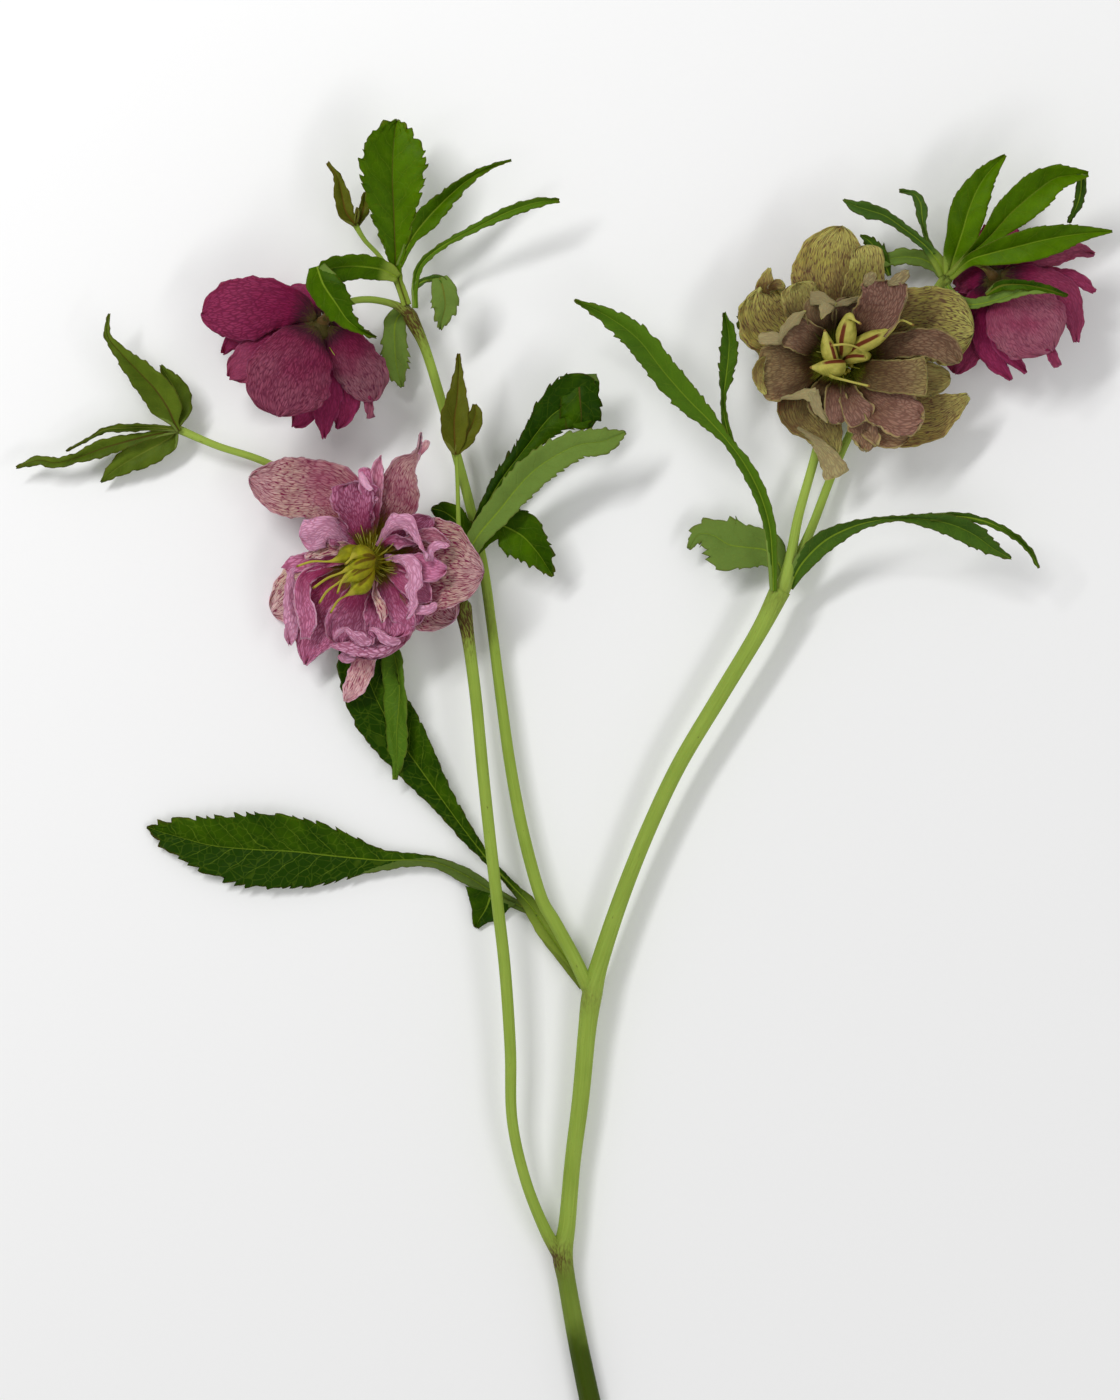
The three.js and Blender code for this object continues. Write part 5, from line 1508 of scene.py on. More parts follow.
UPPER_BUD_STALK: Rows = (
    (-45.8, 134.4, 12.2, 1.5), (-50.2, 145.5, 11.6, 0.75), (-55, 153, 11.2, 0.7),
    (-59.5, 157.9, 11.8, 0.7), (-62.3, 162.4, 12.8, 0.9),
)

OLIVE_STALK: Rows = (
    (65.6, 52, 12.8, 2.4), (68.3, 62, 12.2, 1.7), (70.8, 75, 10.6, 1.45), (75.3, 91, 8.4, 1.4),
    (79.4, 106, 7.8, 1.6), (82, 114.8, 7.2, 1.8), (83.2, 119.6, 8.2, 2.2),
    (83.4, 120.8, 11.4, 2.6),
)

CLUSTER_STALK: Rows = (
    (66.2, 53, 11.4, 2.2), (70.4, 62, 10, 1.6), (75, 72, 8, 1.4), (80.4, 86, 5.6, 1.3),
    (86, 99, 4, 1.25), (95.5, 118, 3.4, 1.25), (105.5, 134, 5, 1.25), (111.6, 142, 8, 1.4),
    (115.2, 146.3, 10, 2),
)

UPPER_RIGHT_STALK: Rows = (
    (114.4, 145.3, 9.6, 1.4), (118.4, 149.7, 13, 0.9), (122.6, 151, 17, 0.8),
    (126.4, 149.6, 20.4, 0.95), (128.9, 147, 21.8, 1.7),
)

STEM = Stem(
    limbs=(
        Tube(MAIN_STEM, end=End.CUT, ridges=5, ridge=0.03),
        Tube(LEFT_BRANCH, ridges=5, ridge=0.03),
        Tube(MIDDLE_BRANCH, ridges=5, ridge=0.03, shade=-0.1),
        Tube(PINK_STALK),
        Tube(SPRAY_STALK, shade=0.6),
        Tube(PINK_BUD_STALK, shade=-0.3),
        Tube(UPPER_LEFT_STALK),
        Tube(UPPER_BUD_STALK),
        Tube(OLIVE_STALK, shade=0.5),
        Tube(CLUSTER_STALK, shade=0.2),
        Tube(UPPER_RIGHT_STALK),
    ),
    spots=(
        (-3, -148, 5, 5, 0.9),
        (-0.4, -149, 5.6, 3.4, 0.5),
        (7.5, -70, 8, 4, 0.5),
        (-30.4, 44, 13.8, 8, 1.3),
        (-46, 134, 12.6, 7, 1.3),
        (-72, 133, 26.6, 4.4, 2.4),
        (128.9, 147, 21.8, 5, 2.2),
        (65, 50, 12.4, 5, 0.35),
        (115, 146, 10, 3, 0.4),
    ),
)

LEAVES = (
    Leaf("leaf_lower", (
        sheet(BLADE, (6.4, -66.6, 4.4, 1.5), (1, -58, 3.9, 2.6), (-5, -49.5, 3.7, 3.2),
              (-10, -42, 4, 2.4), (-15.5, -36, 4.6, 1.3), (-22, -29, 5, 1.3), (-28.5, -21, 5, 2.4),
              (-35.5, -11.5, 4.8, 3.6), (-43, -1, 4.4, 6.2), (-51, 10.5, 4, 8.6),
              (-57, 22, 3.6, 8.8), (-60, 33, 3.2, 8), (-59, 43, 3, 5), fold=14, tip=0.1, tooth=0.5,
              pitch=6, shade=-0.8, edge=0.5, base=0.22),
        # The folded-back lobe is painted lighter and bluer: partly its own paler tone, partly a
        # painted gloss highlight.
        sheet(BLADE, (-60.5, 38, 3.1, 3), (-57, 43, 3.6, 3.2), (-52.4, 38, 5.4, 3.4),
              (-50.1, 28, 6.4, 4.1), (-49.5, 19, 6.6, 4.6), (-49.6, 10, 6.6, 4.3),
              (-49.6, 3, 6.4, 2.9), (-50.7, -4.2, 6, 0.3), fold=20, tooth=0.3, pitch=3.4,
              crinkle=0.6, mix=0.45, shade=1.6, edge=0.6),
        sheet(BLADE, (-7.6, -44.6, 3.8, 1.4), (-15, -41.4, 3, 1.5), (-22, -37.6, 2.2, 1.9),
              (-29.5, -33, 2.4, 2.4), (-38, -29.3, 3, 1.8), (-46, -28.4, 3.2, 2.1),
              (-54, -28.5, 3.2, 3.2), (-62, -27.9, 3, 5.4), (-71, -27, 2.8, 8.2),
              (-82, -25.8, 2.8, 10.6), (-94, -25.2, 2.8, 10.4), (-106, -24, 2.6, 8.4),
              (-116, -21.4, 2.2, 4.8), (-121, -20, 1.9, 2.4), (-125.5, -18.5, 1.6, 0.3), fold=8,
              tooth=1.9, pitch=4.4, shade=-0.8, turned=0.36, edge=0.6),
        sheet(BLADE, (-21.6, -38.6, 2.6, 8), (-23, -42.6, 1.6, 5.8), (-25.2, -46.4, 1, 2.6),
              (-26.2, -48.9, 0.8, 0.6), fold=10, shade=-0.7),
    )),
    Leaf("leaf_node_light", (
        sheet(BLADE, (-29.6, 54, 13.4, 1.6), (-27.4, 66, 13.6, 2.8), (-19, 77, 15.6, 4.4),
              (-9, 88.4, 18.6, 5), (3, 95.8, 20.6, 4.2), (12, 97.5, 20.6, 3.8),
              (18.8, 100.2, 18.6, 0.4), fold=14, tooth=1, pitch=3.6, shade=0.1, turned=1, edge=0.3),
    )),
    Leaf("leaf_node_dark", (
        sheet(BLADE, (-30, 48.6, 11.8, 1.2), (-28.8, 59, 10, 1.3), (-26.2, 71, 9.7, 1.6),
              (-20, 84, 10.6, 2.2), (-11, 96, 12.4, 3), (-3, 105.6, 14.6, 6), (4.6, 109.4, 15.4, 9),
              (10.6, 109.6, 14.4, 7.4), fold=12, tip=0.12, tooth=1.3, shade=-0.6),
        sheet(BLADE, (4.6, 117.6, 15.6, 5.8), (5, 112, 16.8, 6), (5.4, 106, 16.8, 5.4),
              (5.4, 101.2, 16, 3.8), fold=-8, tip=0.2, tooth=1.4, shade=-0.8, mark=0.9),
        sheet(BLADE, (-27.6, 63, 9.8, 1.2), (-21, 72, 10.6, 4.5), (-13.5, 70, 11, 7.2),
              (-8, 64.5, 11, 4.6), (-3, 57, 10.4, 0.4), fold=14, tooth=1.2, shade=-0.3),
        sheet(BLADE, (-28, 63, 9.9, 1.4), (-30.5, 71.5, 9.9, 3.4), (-35, 76, 10.6, 3.4),
              (-39.6, 77.4, 11.4, 0.6), fold=14, tooth=0.8, shade=-0.7),
    )),
    Leaf("leaf_upper_tall", (
        sheet(BLADE, (-47, 138.5, 14.6, 1.5), (-50, 148.5, 17, 1.6), (-50.4, 156, 18, 3.7),
              (-50.8, 166, 19, 7.2), (-51.2, 176, 20, 9.8), (-51, 184, 20, 9.2),
              (-50.5, 190, 19, 5.2), (-49.8, 194, 18.5, 0.6), fold=22, rag=0.6, tooth=1.5,
              pitch=2.9, shade=0.2, mark=0.9, edge=0.3, base=0.14),
        sheet(BLADE, (-49.2, 150, 17.4, 1.2), (-45.5, 158, 18.5, 1.9), (-40.5, 164.5, 20, 4),
              (-34, 171, 21, 2.8), (-27.5, 176.5, 21.5, 1.6), (-21, 180, 21, 0.8),
              (-15.5, 181.7, 20, 0.4), fold=30, tooth=0.5, pitch=4.4, shade=0.1, mark=0.2),
        sheet(BLADE, (-49.6, 146.5, 17, 1.6), (-54.5, 149, 20, 3.4), (-62, 149.8, 25, 4.2),
              (-69, 149, 30, 4.4), (-73, 147.6, 33.4, 3.8), fold=20, shade=0.1, base=0.2),
        sheet(BLADE, (-73.6, 149.4, 33.4, 2.6), (-71.6, 144, 34.6, 5.2), (-68, 138.5, 35, 4.8),
              (-64.5, 133.5, 34.6, 2.6), (-60, 130, 34, 1), (-55.8, 128.1, 33, 0.4), fold=16,
              tooth=1.1, pitch=2.8, shade=-0.15),
    )),
    Leaf("leaf_upper_narrow", (
        sheet(BLADE, (-44.4, 137.5, 15.2, 1), (-44.4, 145, 16, 1.1), (-42.3, 151, 16.6, 1.2),
              (-36, 156.3, 17.2, 1.1), (-27, 161.2, 18, 1.3), (-17, 166, 19, 1.8),
              (-8, 169, 19, 1.6), (-1, 169.8, 18, 0.6), fold=24, tooth=0.3, pitch=5, mix=0.3,
              shade=0.9),
        sheet(BLADE, (-44.6, 144, 15.8, 1.1), (-41, 146, 17, 0.9), (-37.6, 146.3, 18.4, 1.2),
              (-35.6, 144.8, 19, 1.8), mix=0.6),
        sheet(BLADE, (-37, 146.6, 18.6, 2.4), (-35.8, 142.5, 19, 4), (-35.4, 138.5, 18, 3.9),
              (-36.2, 134.5, 17, 2), (-36.8, 131, 16, 0.4), fold=14, tooth=1.2, pitch=2.6, mark=0.6,
              turned=1),
    )),
    Leaf("leaf_upper_hanging", (
        sheet(BLADE, (-46.4, 138.6, 9.4, 1.3), (-50.2, 134, 8.6, 3.3), (-50.6, 127, 8, 3.7),
              (-50.2, 120.5, 7.2, 3.4), (-48.5, 114, 6.4, 0.5), fold=12, tooth=1.2, pitch=2.6,
              shade=0.5, turned=1),
    )),
    Leaf("leaf_right_long", (
        sheet(BLADE, (63.2, 52.5, 15.6, 1.2), (62.9, 62, 15.6, 1.7), (62, 72, 15.8, 2.1),
              (59.2, 81.5, 16.6, 2.3), (54.6, 90.4, 17.8, 2.2), (49.4, 97.5, 19, 1.6),
              (43.5, 104, 20, 2.8), (37, 110.5, 21, 4.3), (30, 118.5, 22, 4.4),
              (22.5, 128, 22, 4.1), (13.5, 134.8, 21, 2.6), (3.4, 139.8, 20, 0.4), fold=24,
              tooth=0.8, pitch=4.4, mix=0.35, shade=0.8),
        sheet(BLADE, (50.4, 96.6, 18.6, 1.3), (48.4, 105, 17.5, 1.1), (48.2, 111, 17, 0.9),
              (49, 117, 17, 2.2), (49.8, 124.5, 17, 2.8), (49.7, 130.5, 17, 2),
              (48.4, 136.2, 17, 0.4), fold=24, tooth=0.6, pitch=3.4, mix=0.2, shade=-0.2),
    )),
    Leaf("leaf_right_grey", (
        sheet(BLADE, (66.4, 55.4, 10.4, 1.4), (64.8, 61, 8.2, 3.2), (61.2, 64.8, 7.4, 5.8),
              (55.5, 65.8, 7.6, 6.6), (50, 66.6, 7.6, 7.8), (45.3, 69.2, 7.6, 4.8),
              (41, 69.6, 7.4, 2.6), (37.8, 65.3, 7, 0.5), fold=10, tooth=1.6, turned=1, edge=0.3),
    )),
    Leaf("leaf_right_arching", (
        sheet(BLADE, (68.2, 53.5, 11, 1.2), (71.6, 60.5, 13, 3.2), (78.5, 67.5, 15.4, 3.6),
              (87, 71.8, 18.6, 2.2), (95, 73.8, 21, 1.2), (101, 74.4, 22, 0.9), (108, 74, 22, 2.2),
              (116, 72.6, 21, 3.4), (123, 69.6, 20, 3.8), (129, 65.4, 19, 2.2),
              (134.5, 62.2, 18, 0.5), fold=24, tooth=0.5, pitch=4, mix=0.5),
        sheet(BLADE, (110, 74.6, 22, 1.2), (119, 74.9, 21.4, 1.3), (128, 72.8, 20.8, 1.1),
              (135, 69.2, 20, 1), (140, 64.6, 19, 0.8), (142.8, 59.3, 18, 0.4), fold=20, tooth=0.4,
              pitch=4, mix=0.3),
    )),
    Leaf("leaf_behind_olive", (
        sheet(BLADE, (77.6, 107.4, 7, 1), (70, 118, 5.6, 2.2), (62, 127, 5.2, 3.6),
              (56, 133, 5, 2.4), (52.6, 135.6, 4.8, 0.5), fold=10, tooth=1.9, pitch=3.2,
              shade=-0.4),
    )),
    Leaf("leaves_right_whorl", (
        sheet(BLADE, (115.8, 147.4, 13.4, 1.5), (117.5, 153, 15.4, 3.6), (119.8, 160, 17.4, 5.3),
              (121.8, 167, 18.4, 5.9), (124.6, 173.5, 18.9, 4.5), (128.2, 178.6, 18.4, 2.8),
              (132.9, 183.4, 17.4, 0.5), fold=24, rag=0, tooth=0.4, shade=0.55, base=0.1),
        sheet(BLADE, (116, 147, 13.6, 1.4), (122.3, 153.6, 18.2, 1.6), (128, 158.8, 20.4, 3),
              (134, 165.5, 23, 5.4), (140.5, 171.2, 25, 6.3), (147, 175.8, 26, 4.7),
              (152.5, 177, 26, 2.6), (157.4, 177.4, 25.4, 0.9), fold=28, rag=0, tooth=0.5,
              shade=0.5, mark=0.3, base=0.12),
        sheet(BLADE, (155.4, 177.4, 25.6, 1.5), (155.1, 172, 23, 1.6), (154.2, 168, 21, 1.2),
              (151.6, 162.9, 19, 0.4), fold=14, tooth=1.2, pitch=2.4, mix=0.4, shade=-0.6),
        sheet(BLADE, (116.4, 147, 13.8, 1.4), (122, 151.7, 20.6, 1.9), (128, 153.6, 24.6, 3.6),
              (135, 155.3, 26.2, 5), (142.5, 157.2, 27, 5.3), (150, 158.8, 27, 4.1),
              (157.5, 159.8, 26, 2), (164.6, 160.2, 25, 0.4), fold=22, rag=0, tooth=0.4, shade=0.5,
              base=0.1),
        sheet(BLADE, (114.6, 147.6, 13.2, 2), (112.4, 152, 14.2, 2.2), (108.5, 156.6, 15, 1.6),
              (103, 161, 16, 1.6), (97, 165, 17, 1.9), (91, 167, 17.5, 2.4), (87, 168.4, 17, 1.5),
              (84.2, 170.1, 16.5, 0.4), fold=22, tooth=0.3, pitch=3.4, mix=0.7, shade=-0.1,
              base=0.16),
        sheet(BLADE, (111, 153.6, 14.6, 1.5), (108.7, 160.2, 15, 0.7), (107.8, 165.5, 15, 1.7),
              (107.3, 169, 15, 1.7), (105.2, 171.9, 15, 1), (101, 172.9, 14.5, 0.5), fold=14,
              tooth=0.2, mix=0.7, shade=-0.2),
    )),
    Leaf("leaf_cluster_curled", (
        sheet(BLADE, (115, 146.2, 9, 1.3), (112.4, 150, 8, 1.9), (108.6, 152.4, 7.6, 2.4),
              (104, 153.2, 7.6, 2.4), (99.5, 152.9, 7.4, 2.2), (95.8, 151.6, 7.2, 1.8), fold=14,
              tooth=0.6, turned=1),
        sheet(BLADE, (98.3, 147.5, 7.2, 0.6), (96.8, 151.5, 7.4, 1.8), (94.6, 155.2, 7.6, 2),
              (92, 158, 7.4, 1.3), (89.6, 159.8, 7.2, 0.4), fold=14, tooth=1.5, pitch=2.6, mix=0.3,
              shade=-0.5),
    )),
    Leaf("leaf_cluster_drooping", (
        sheet(BLADE, (115.4, 144.4, 12.4, 1), (117.8, 141, 14.2, 1.3), (121.6, 138.6, 16.4, 1.9),
              (124.8, 138.6, 19.8, 2.1), (128.4, 139.4, 25, 2.2), (134, 141, 28.8, 2),
              (141, 142.4, 31, 1.4), (150.8, 141.2, 30.4, 0.5), fold=14, tooth=0.3, shade=0.3,
              turned=1),
        sheet(BLADE, (126.6, 141.2, 26, 0.6), (131.4, 143.8, 29.4, 1.7), (138, 143.9, 31.8, 1.5),
              (145, 142.6, 32, 1.2), (151, 140.6, 31, 0.4), tooth=0.5, shade=-0.5, mark=0.6),
    )),
    Leaf("spray_left", (
        sheet(BLADE, (-115.4, 100.6, 10.2, 0.9), (-116.8, 103, 10.4, 1.4),
              (-118.8, 107.5, 11.2, 4.6), (-122.5, 113, 12, 5.2), (-127.5, 118.4, 13, 3.9),
              (-133, 124.2, 13.5, 2), (-136.9, 129.5, 13.5, 1.1), (-136.5, 135.9, 13, 0.4), fold=20,
              tooth=0.5, pitch=4, shade=0.15, mark=0.9),
        sheet(BLADE, (-116.8, 101.6, 9.9, 1.1), (-115.6, 106.5, 8.6, 3.6), (-116.4, 112, 8.2, 4.3),
              (-118.6, 116.5, 8.4, 2.3), (-121, 120.6, 8.8, 0.4), fold=14, tooth=0.5, pitch=4,
              shade=-0.2, mark=0.2),
        sheet(BLADE, (-116, 101.2, 9.9, 0.9), (-124, 101.8, 9.8, 1.05), (-132.5, 101.6, 10, 1.35),
              (-138, 100.9, 10.2, 0.9), (-144, 97.6, 10.2, 0.45), (-149.6, 94.7, 10, 0.35), fold=20,
              shade=-0.3, mark=0.2),
        sheet(BLADE, (-116, 101, 9.8, 0.9), (-124.5, 99.4, 8.4, 1.3), (-132, 97.5, 8, 2.3),
              (-139, 95.4, 8, 2.7), (-146, 92.8, 7.6, 1.7), (-152.5, 91.2, 7.2, 1.7),
              (-158, 91.9, 7, 1.5), (-164.7, 89.8, 6.6, 0.4), fold=20, tooth=0.3, pitch=4,
              shade=0.15, mark=0.9),
        sheet(BLADE, (-116.2, 101, 9.7, 0.9), (-118.6, 98.6, 6.6, 3.8), (-124.8, 95.2, 5.4, 4.6),
              (-131.4, 91.6, 5, 3.6), (-135.8, 88.7, 4.6, 2.1), (-139.2, 85.4, 4, 0.4), fold=16,
              tooth=0.4, pitch=4, shade=0.4, mark=0.1),
    ), brownish=True),
)

BUDS = (
    Bud("bud_beside_pink",
        ((-32.1, 94.4, 17.2, 1), (-32.4, 97.5, 17.4, 1.7), (-32.5, 101, 17.6, 1.2)), (
            sheet(BLADE, (-32.2, 93.4, 18.4, 0.9), (-32.5, 98, 18.8, 3.4), (-32.6, 104, 19, 4.4),
                  (-31.8, 110, 19, 3.3), (-31.5, 116, 18.4, 1.9), (-31.3, 120.5, 18, 0.9),
                  (-31.5, 123.8, 17.5, 0.5), fold=14, mark=0.8),
            sheet(BLADE, (-31.8, 94, 18.4, 1), (-29, 99, 18.6, 2.8), (-26.4, 105, 19, 2.5),
                  (-26.6, 108.6, 19, 0.5), fold=10, mark=0.8),
        )),
    Bud("bud_upper_left",
        ((-62.5, 162.6, 13.6, 1), (-62, 164.6, 14.4, 1.7), (-61.8, 166.4, 14.6, 1.8),
         (-61.9, 167.9, 14.4, 0.8)), (
            sheet(BLADE, (-62.4, 162.6, 14.6, 1), (-65.2, 166.5, 15.4, 2.5),
                  (-66.6, 172, 15.6, 2.4), (-67.8, 177, 15, 1.2), (-70.8, 181.4, 14, 0.4), fold=16,
                  mark=0.8),
            sheet(BLADE, (-62, 162.6, 12.8, 0.9), (-60, 167, 12.4, 1.7), (-59.6, 172.6, 12.6, 0.4),
                  fold=12, mark=0.8),
        )),
)

PINK_TEPALS = (
    sheet(OUTER, (-62, 73, 14.4, 5.4), (-66.4, 79.5, 12.8, 8.6), (-72.4, 82.6, 11.6, 9.6),
          (-79.4, 83.4, 11, 9.4), (-86.4, 84.2, 11.6, 8.7), (-94.3, 86.6, 13.2, 6), tip=0.3,
          mix=0.75, shade=-0.08, mark=0.7),
    sheet(OUTER, (-53.6, 73, 19.4, 5.2), (-50, 79, 22.4, 6.9), (-49, 84.4, 25, 6.2),
          (-47.4, 89.4, 26.8, 4.2), (-43.6, 93.8, 28, 1.1), (-42.5, 99.8, 28.6, 0.3), cup=40, tip=0,
          mix=0.7, shade=-0.25, mark=0.7),
    sheet(OUTER, (-48, 61, 17.6, 10), (-41, 60, 20, 14.8), (-35, 59.4, 22.4, 14),
          (-29.4, 58.4, 24.2, 11), (-23.8, 58, 25.4, 7), cup=44, tip=0.3, mix=0.8, mark=1),
    sheet(OUTER, (-48.6, 55.6, 14.8, 7), (-41.6, 50.8, 16, 9.4), (-36.4, 47, 17.4, 9.2),
          (-32.4, 44, 18.6, 6.8), mix=0.75, mark=0.9),
    sheet(OUTER, (-57.8, 51, 12.8, 9), (-57.6, 44, 10.8, 12), (-57.4, 38, 10, 11.4),
          (-57, 32, 10.4, 8), cup=20, tip=0.25, mix=0.1, shade=0.05, mark=0.5),
    sheet(OUTER, (-67, 58, 9.4, 8), (-75, 53.5, 4.8, 9.5), (-82, 49.5, 1.6, 9),
          (-87.8, 46.3, 0.4, 6.5), cup=24, mix=1, shade=0.55, mark=0.8),
    sheet(OUTER, (-58, 46, 10, 3), (-58.6, 36, 9.4, 3.3), (-60.4, 29.6, 9, 3.7),
          (-62.6, 24.2, 9, 3.4), (-65.6, 19.4, 9, 2.2), tip=0.15, mix=0.6, shade=0.35, mark=0.5,
          edge=0.3),
    sheet(INNER, (-60, 69, 20.6, 3.2), (-61.6, 74.6, 24.6, 4.8), (-62.6, 80, 27.4, 7),
          (-62.6, 85, 28.8, 7.4), cup=24, tip=0.1, frill=1.1, rag=0.7, shade=-0.3, mark=0.75),
    sheet(INNER, (-58.4, 78, 24.6, 1.6), (-58.8, 83.4, 27, 2.4), (-59.2, 86.6, 28, 2.3),
          (-59.6, 89.5, 27.8, 2), cup=70, tip=0.08, shade=0.05, mark=0.4, edge=0.3),
    sheet(POINTED, (-56.8, 77, 22.8, 2.2), (-56, 85, 26, 2.4), (-55.6, 89.4, 27, 1.8),
          (-54.6, 93, 27.4, 0.3), mix=0.2, shade=0.2, mark=0.4),
    sheet(INNER, (-62, 67.4, 19.4, 3), (-66.4, 69.8, 20.6, 4.6), (-69.9, 71, 21.6, 4.6), cup=70,
          tip=0.08, shade=-0.4, mark=0.5, edge=0.45),
    sheet(INNER, (-69.4, 70, 22.6, 4.5), (-74, 69.3, 23.4, 5.2), (-78.9, 68.6, 21.4, 4.7), cup=-50,
          tip=0.14, frill=0.6, shade=0.1, mark=0.4, turned=1, base=NO_THROAT),
    sheet(INNER, (-67, 62.8, 17.6, 2.6), (-73, 61.8, 17, 2.8), (-79, 60.8, 15.4, 3),
          (-84, 59.6, 13, 2.2), tip=0.12, shade=0.05, mark=0.5, edge=0.3),
    sheet(POINTED, (-65.4, 65.6, 20.8, 1.6), (-70, 65.2, 20.6, 2.2), (-77.4, 62.6, 18.4, 0.9),
          cup=20, mix=1, shade=0.25, mark=1, base=NO_THROAT),
    sheet(POINTED, (-71, 59.6, 16.6, 2), (-77.4, 56.2, 17, 2.5), (-78.2, 50.4, 16.6, 2.8),
          (-76.8, 44.6, 15.6, 3.2), (-77.6, 38.2, 13, 1.5), cup=70, ruffle=0.3, shade=0.05,
          mark=0.4, edge=0.5),
    sheet(POINTED, (-79.8, 59.4, 15.4, 0.8), (-81.7, 54, 15.6, 1.8), (-81.7, 48, 14.8, 2.3),
          (-81.2, 43, 13.4, 2.7), (-82, 38.8, 12, 1.8), (-82.1, 36.2, 11, 0.4), cup=-40, ruffle=0,
          shade=0.15, mark=0.5, turned=1, base=NO_THROAT),
    sheet(POINTED, (-65.6, 55, 14, 7.4), (-70.4, 47.6, 12, 9), (-73.8, 41, 10.4, 7.6),
          (-76, 36, 9, 4.8), (-77.5, 30.4, 8.2, 0.6), ruffle=0.4, shade=-0.05, mark=0.6, edge=0.3),
    sheet(INNER, (-60.5, 51, 16.6, 5.6), (-62.5, 44.6, 16.4, 8.2), (-64.4, 39.4, 15.6, 7.8),
          (-65.6, 35.4, 14.6, 5), tip=0.12, ruffle=1.4, frill=1.2, shade=-0.2, mark=0.5, edge=0.3),
    sheet(POINTED, (-56.4, 52, 22.2, 0.8), (-55, 48.8, 23.4, 1.5), (-54, 46, 23.2, 1.6),
          (-54.4, 42.8, 22.4, 0.3), cup=30, ruffle=0, mix=1, shade=0.4, mark=0.7, base=NO_THROAT),
    sheet(INNER, (-53.5, 52, 19.6, 5.4), (-52.3, 45.4, 19.4, 8), (-51.6, 38.4, 18.2, 7.2), tip=0.12,
          ruffle=1.4, frill=1.2, shade=-0.05, mark=0.6, edge=0.3),
    sheet(INNER, (-49.4, 62, 26, 1.3), (-46.4, 60.8, 29, 2.8), (-44.8, 56.6, 30.4, 2.8),
          (-45.2, 52, 30, 1.9), (-44.7, 48.2, 29, 1.6), (-46.7, 43.9, 28, 0.4), cup=-50, tip=0,
          ruffle=0.3, shade=0.25, mark=0.4, turned=1, base=NO_THROAT),
    sheet(POINTED, (-53, 70, 25, 1.4), (-50.4, 72.2, 28, 2.8), (-46.6, 72, 31, 3.6),
          (-43.8, 68.4, 32.2, 2), (-41.8, 64.6, 32.4, 1.2), (-40.3, 61.4, 31.8, 0.4), cup=-50,
          ruffle=0.3, shade=0.25, mark=0.4, turned=1, base=NO_THROAT),
    sheet(POINTED, (-52.4, 67.4, 23.4, 1.4), (-48, 67.8, 25.6, 2.2), (-43.6, 66.6, 26.6, 1.2),
          cup=90, shade=-0.45, mark=0.5, edge=0.4),
    sheet(INNER, (-48, 69, 20.8, 4.2), (-43.5, 71.6, 23.6, 4.8), (-39.4, 74.4, 26, 3.8), cup=80,
          shade=-0.35, mark=0.6, edge=0.3),
    sheet(INNER, (-43, 69, 26, 1.6), (-38.6, 69, 27.6, 2.8), (-34, 66.6, 28, 2), ruffle=1.2,
          mix=0.3, shade=0.1, mark=0.6, edge=0.4),
    sheet(INNER, (-46, 60.6, 23.6, 3.2), (-41.6, 59.4, 27, 4.2), (-38, 58.8, 28.6, 4),
          (-34.8, 59, 28.4, 2.8), ruffle=1.2, frill=1.2, shade=0.1, mark=0.2, edge=0.3),
    sheet(INNER, (-48, 56.5, 21.6, 3.8), (-43, 52.6, 24, 4.2), (-39.4, 49.6, 25.6, 3.4), cup=80,
          frill=1.1, shade=0.05, mark=0.1, edge=0.3),
    sheet(INNER, (-51, 54, 18.8, 4.5), (-47, 48, 19.4, 6.2), (-43.4, 42.6, 20, 4.8), shade=0.05,
          mark=0.5, edge=0.3),
)

PINK_LIPS = (
    sheet(LIP, (-43, 93.2, 28, 0.6), (-41.6, 95.4, 28.4, 1.2), (-40.5, 97.6, 28.6, 0.8), mix=0.6,
          shade=0.1),
    sheet(LIP, (-60.6, 88, 29, 0.6), (-59.6, 85.4, 30, 1.1), (-58.2, 83.4, 30.2, 1),
          (-57, 82.8, 29.8, 0.5), mix=0.4, shade=0.3, turned=1),
    sheet(LIP, (-68.8, 37.8, 19, 0.4), (-67.6, 39.8, 20, 0.8), (-65.2, 41, 20.8, 0.9),
          (-63, 39.2, 20.8, 1.6), (-60.6, 37.8, 20.2, 2.2), (-57.4, 36.8, 19.2, 1.4), cup=-70,
          shade=0.2, mark=0.6, turned=1),
    sheet(LIP, (-58, 41, 21.2, 0.5), (-56.2, 40.8, 21.9, 1), (-54.2, 38.8, 21.6, 1.5),
          (-51.6, 37.2, 20.8, 1.7), (-48.6, 37.4, 19.6, 0.9), cup=-70, shade=0.2, mark=0.5,
          turned=1),
    sheet(LIP, (-70, 36.2, 17, 0.4), (-66.6, 35.8, 18, 1.5), (-62, 35, 18, 2.2),
          (-56, 34.6, 17, 2.2), (-50.6, 36, 16.2, 1), cup=-60, shade=0.15, mark=0.8, turned=1),
    sheet(LIP, (-39.6, 61.4, 29.6, 0.8), (-39.6, 64.4, 30.4, 1.3), (-37.2, 66.2, 30.4, 1.3),
          (-34, 65.8, 29.6, 0.7), shade=0.25, mark=0.4, turned=1),
    sheet(LIP, (-46.6, 48.4, 27, 0.8), (-43.2, 46.8, 28, 1.4), (-40, 47, 28, 1.5),
          (-37.8, 48.8, 27.2, 0.7), shade=0.2, mark=0.4, turned=1),
    sheet(LIP, (-66.8, 33.8, 12.4, 1.4), (-65.4, 32.4, 12.4, 1.6), (-62.4, 32.6, 12.2, 1.2),
          shade=0.1, mark=0.4, turned=1),
)

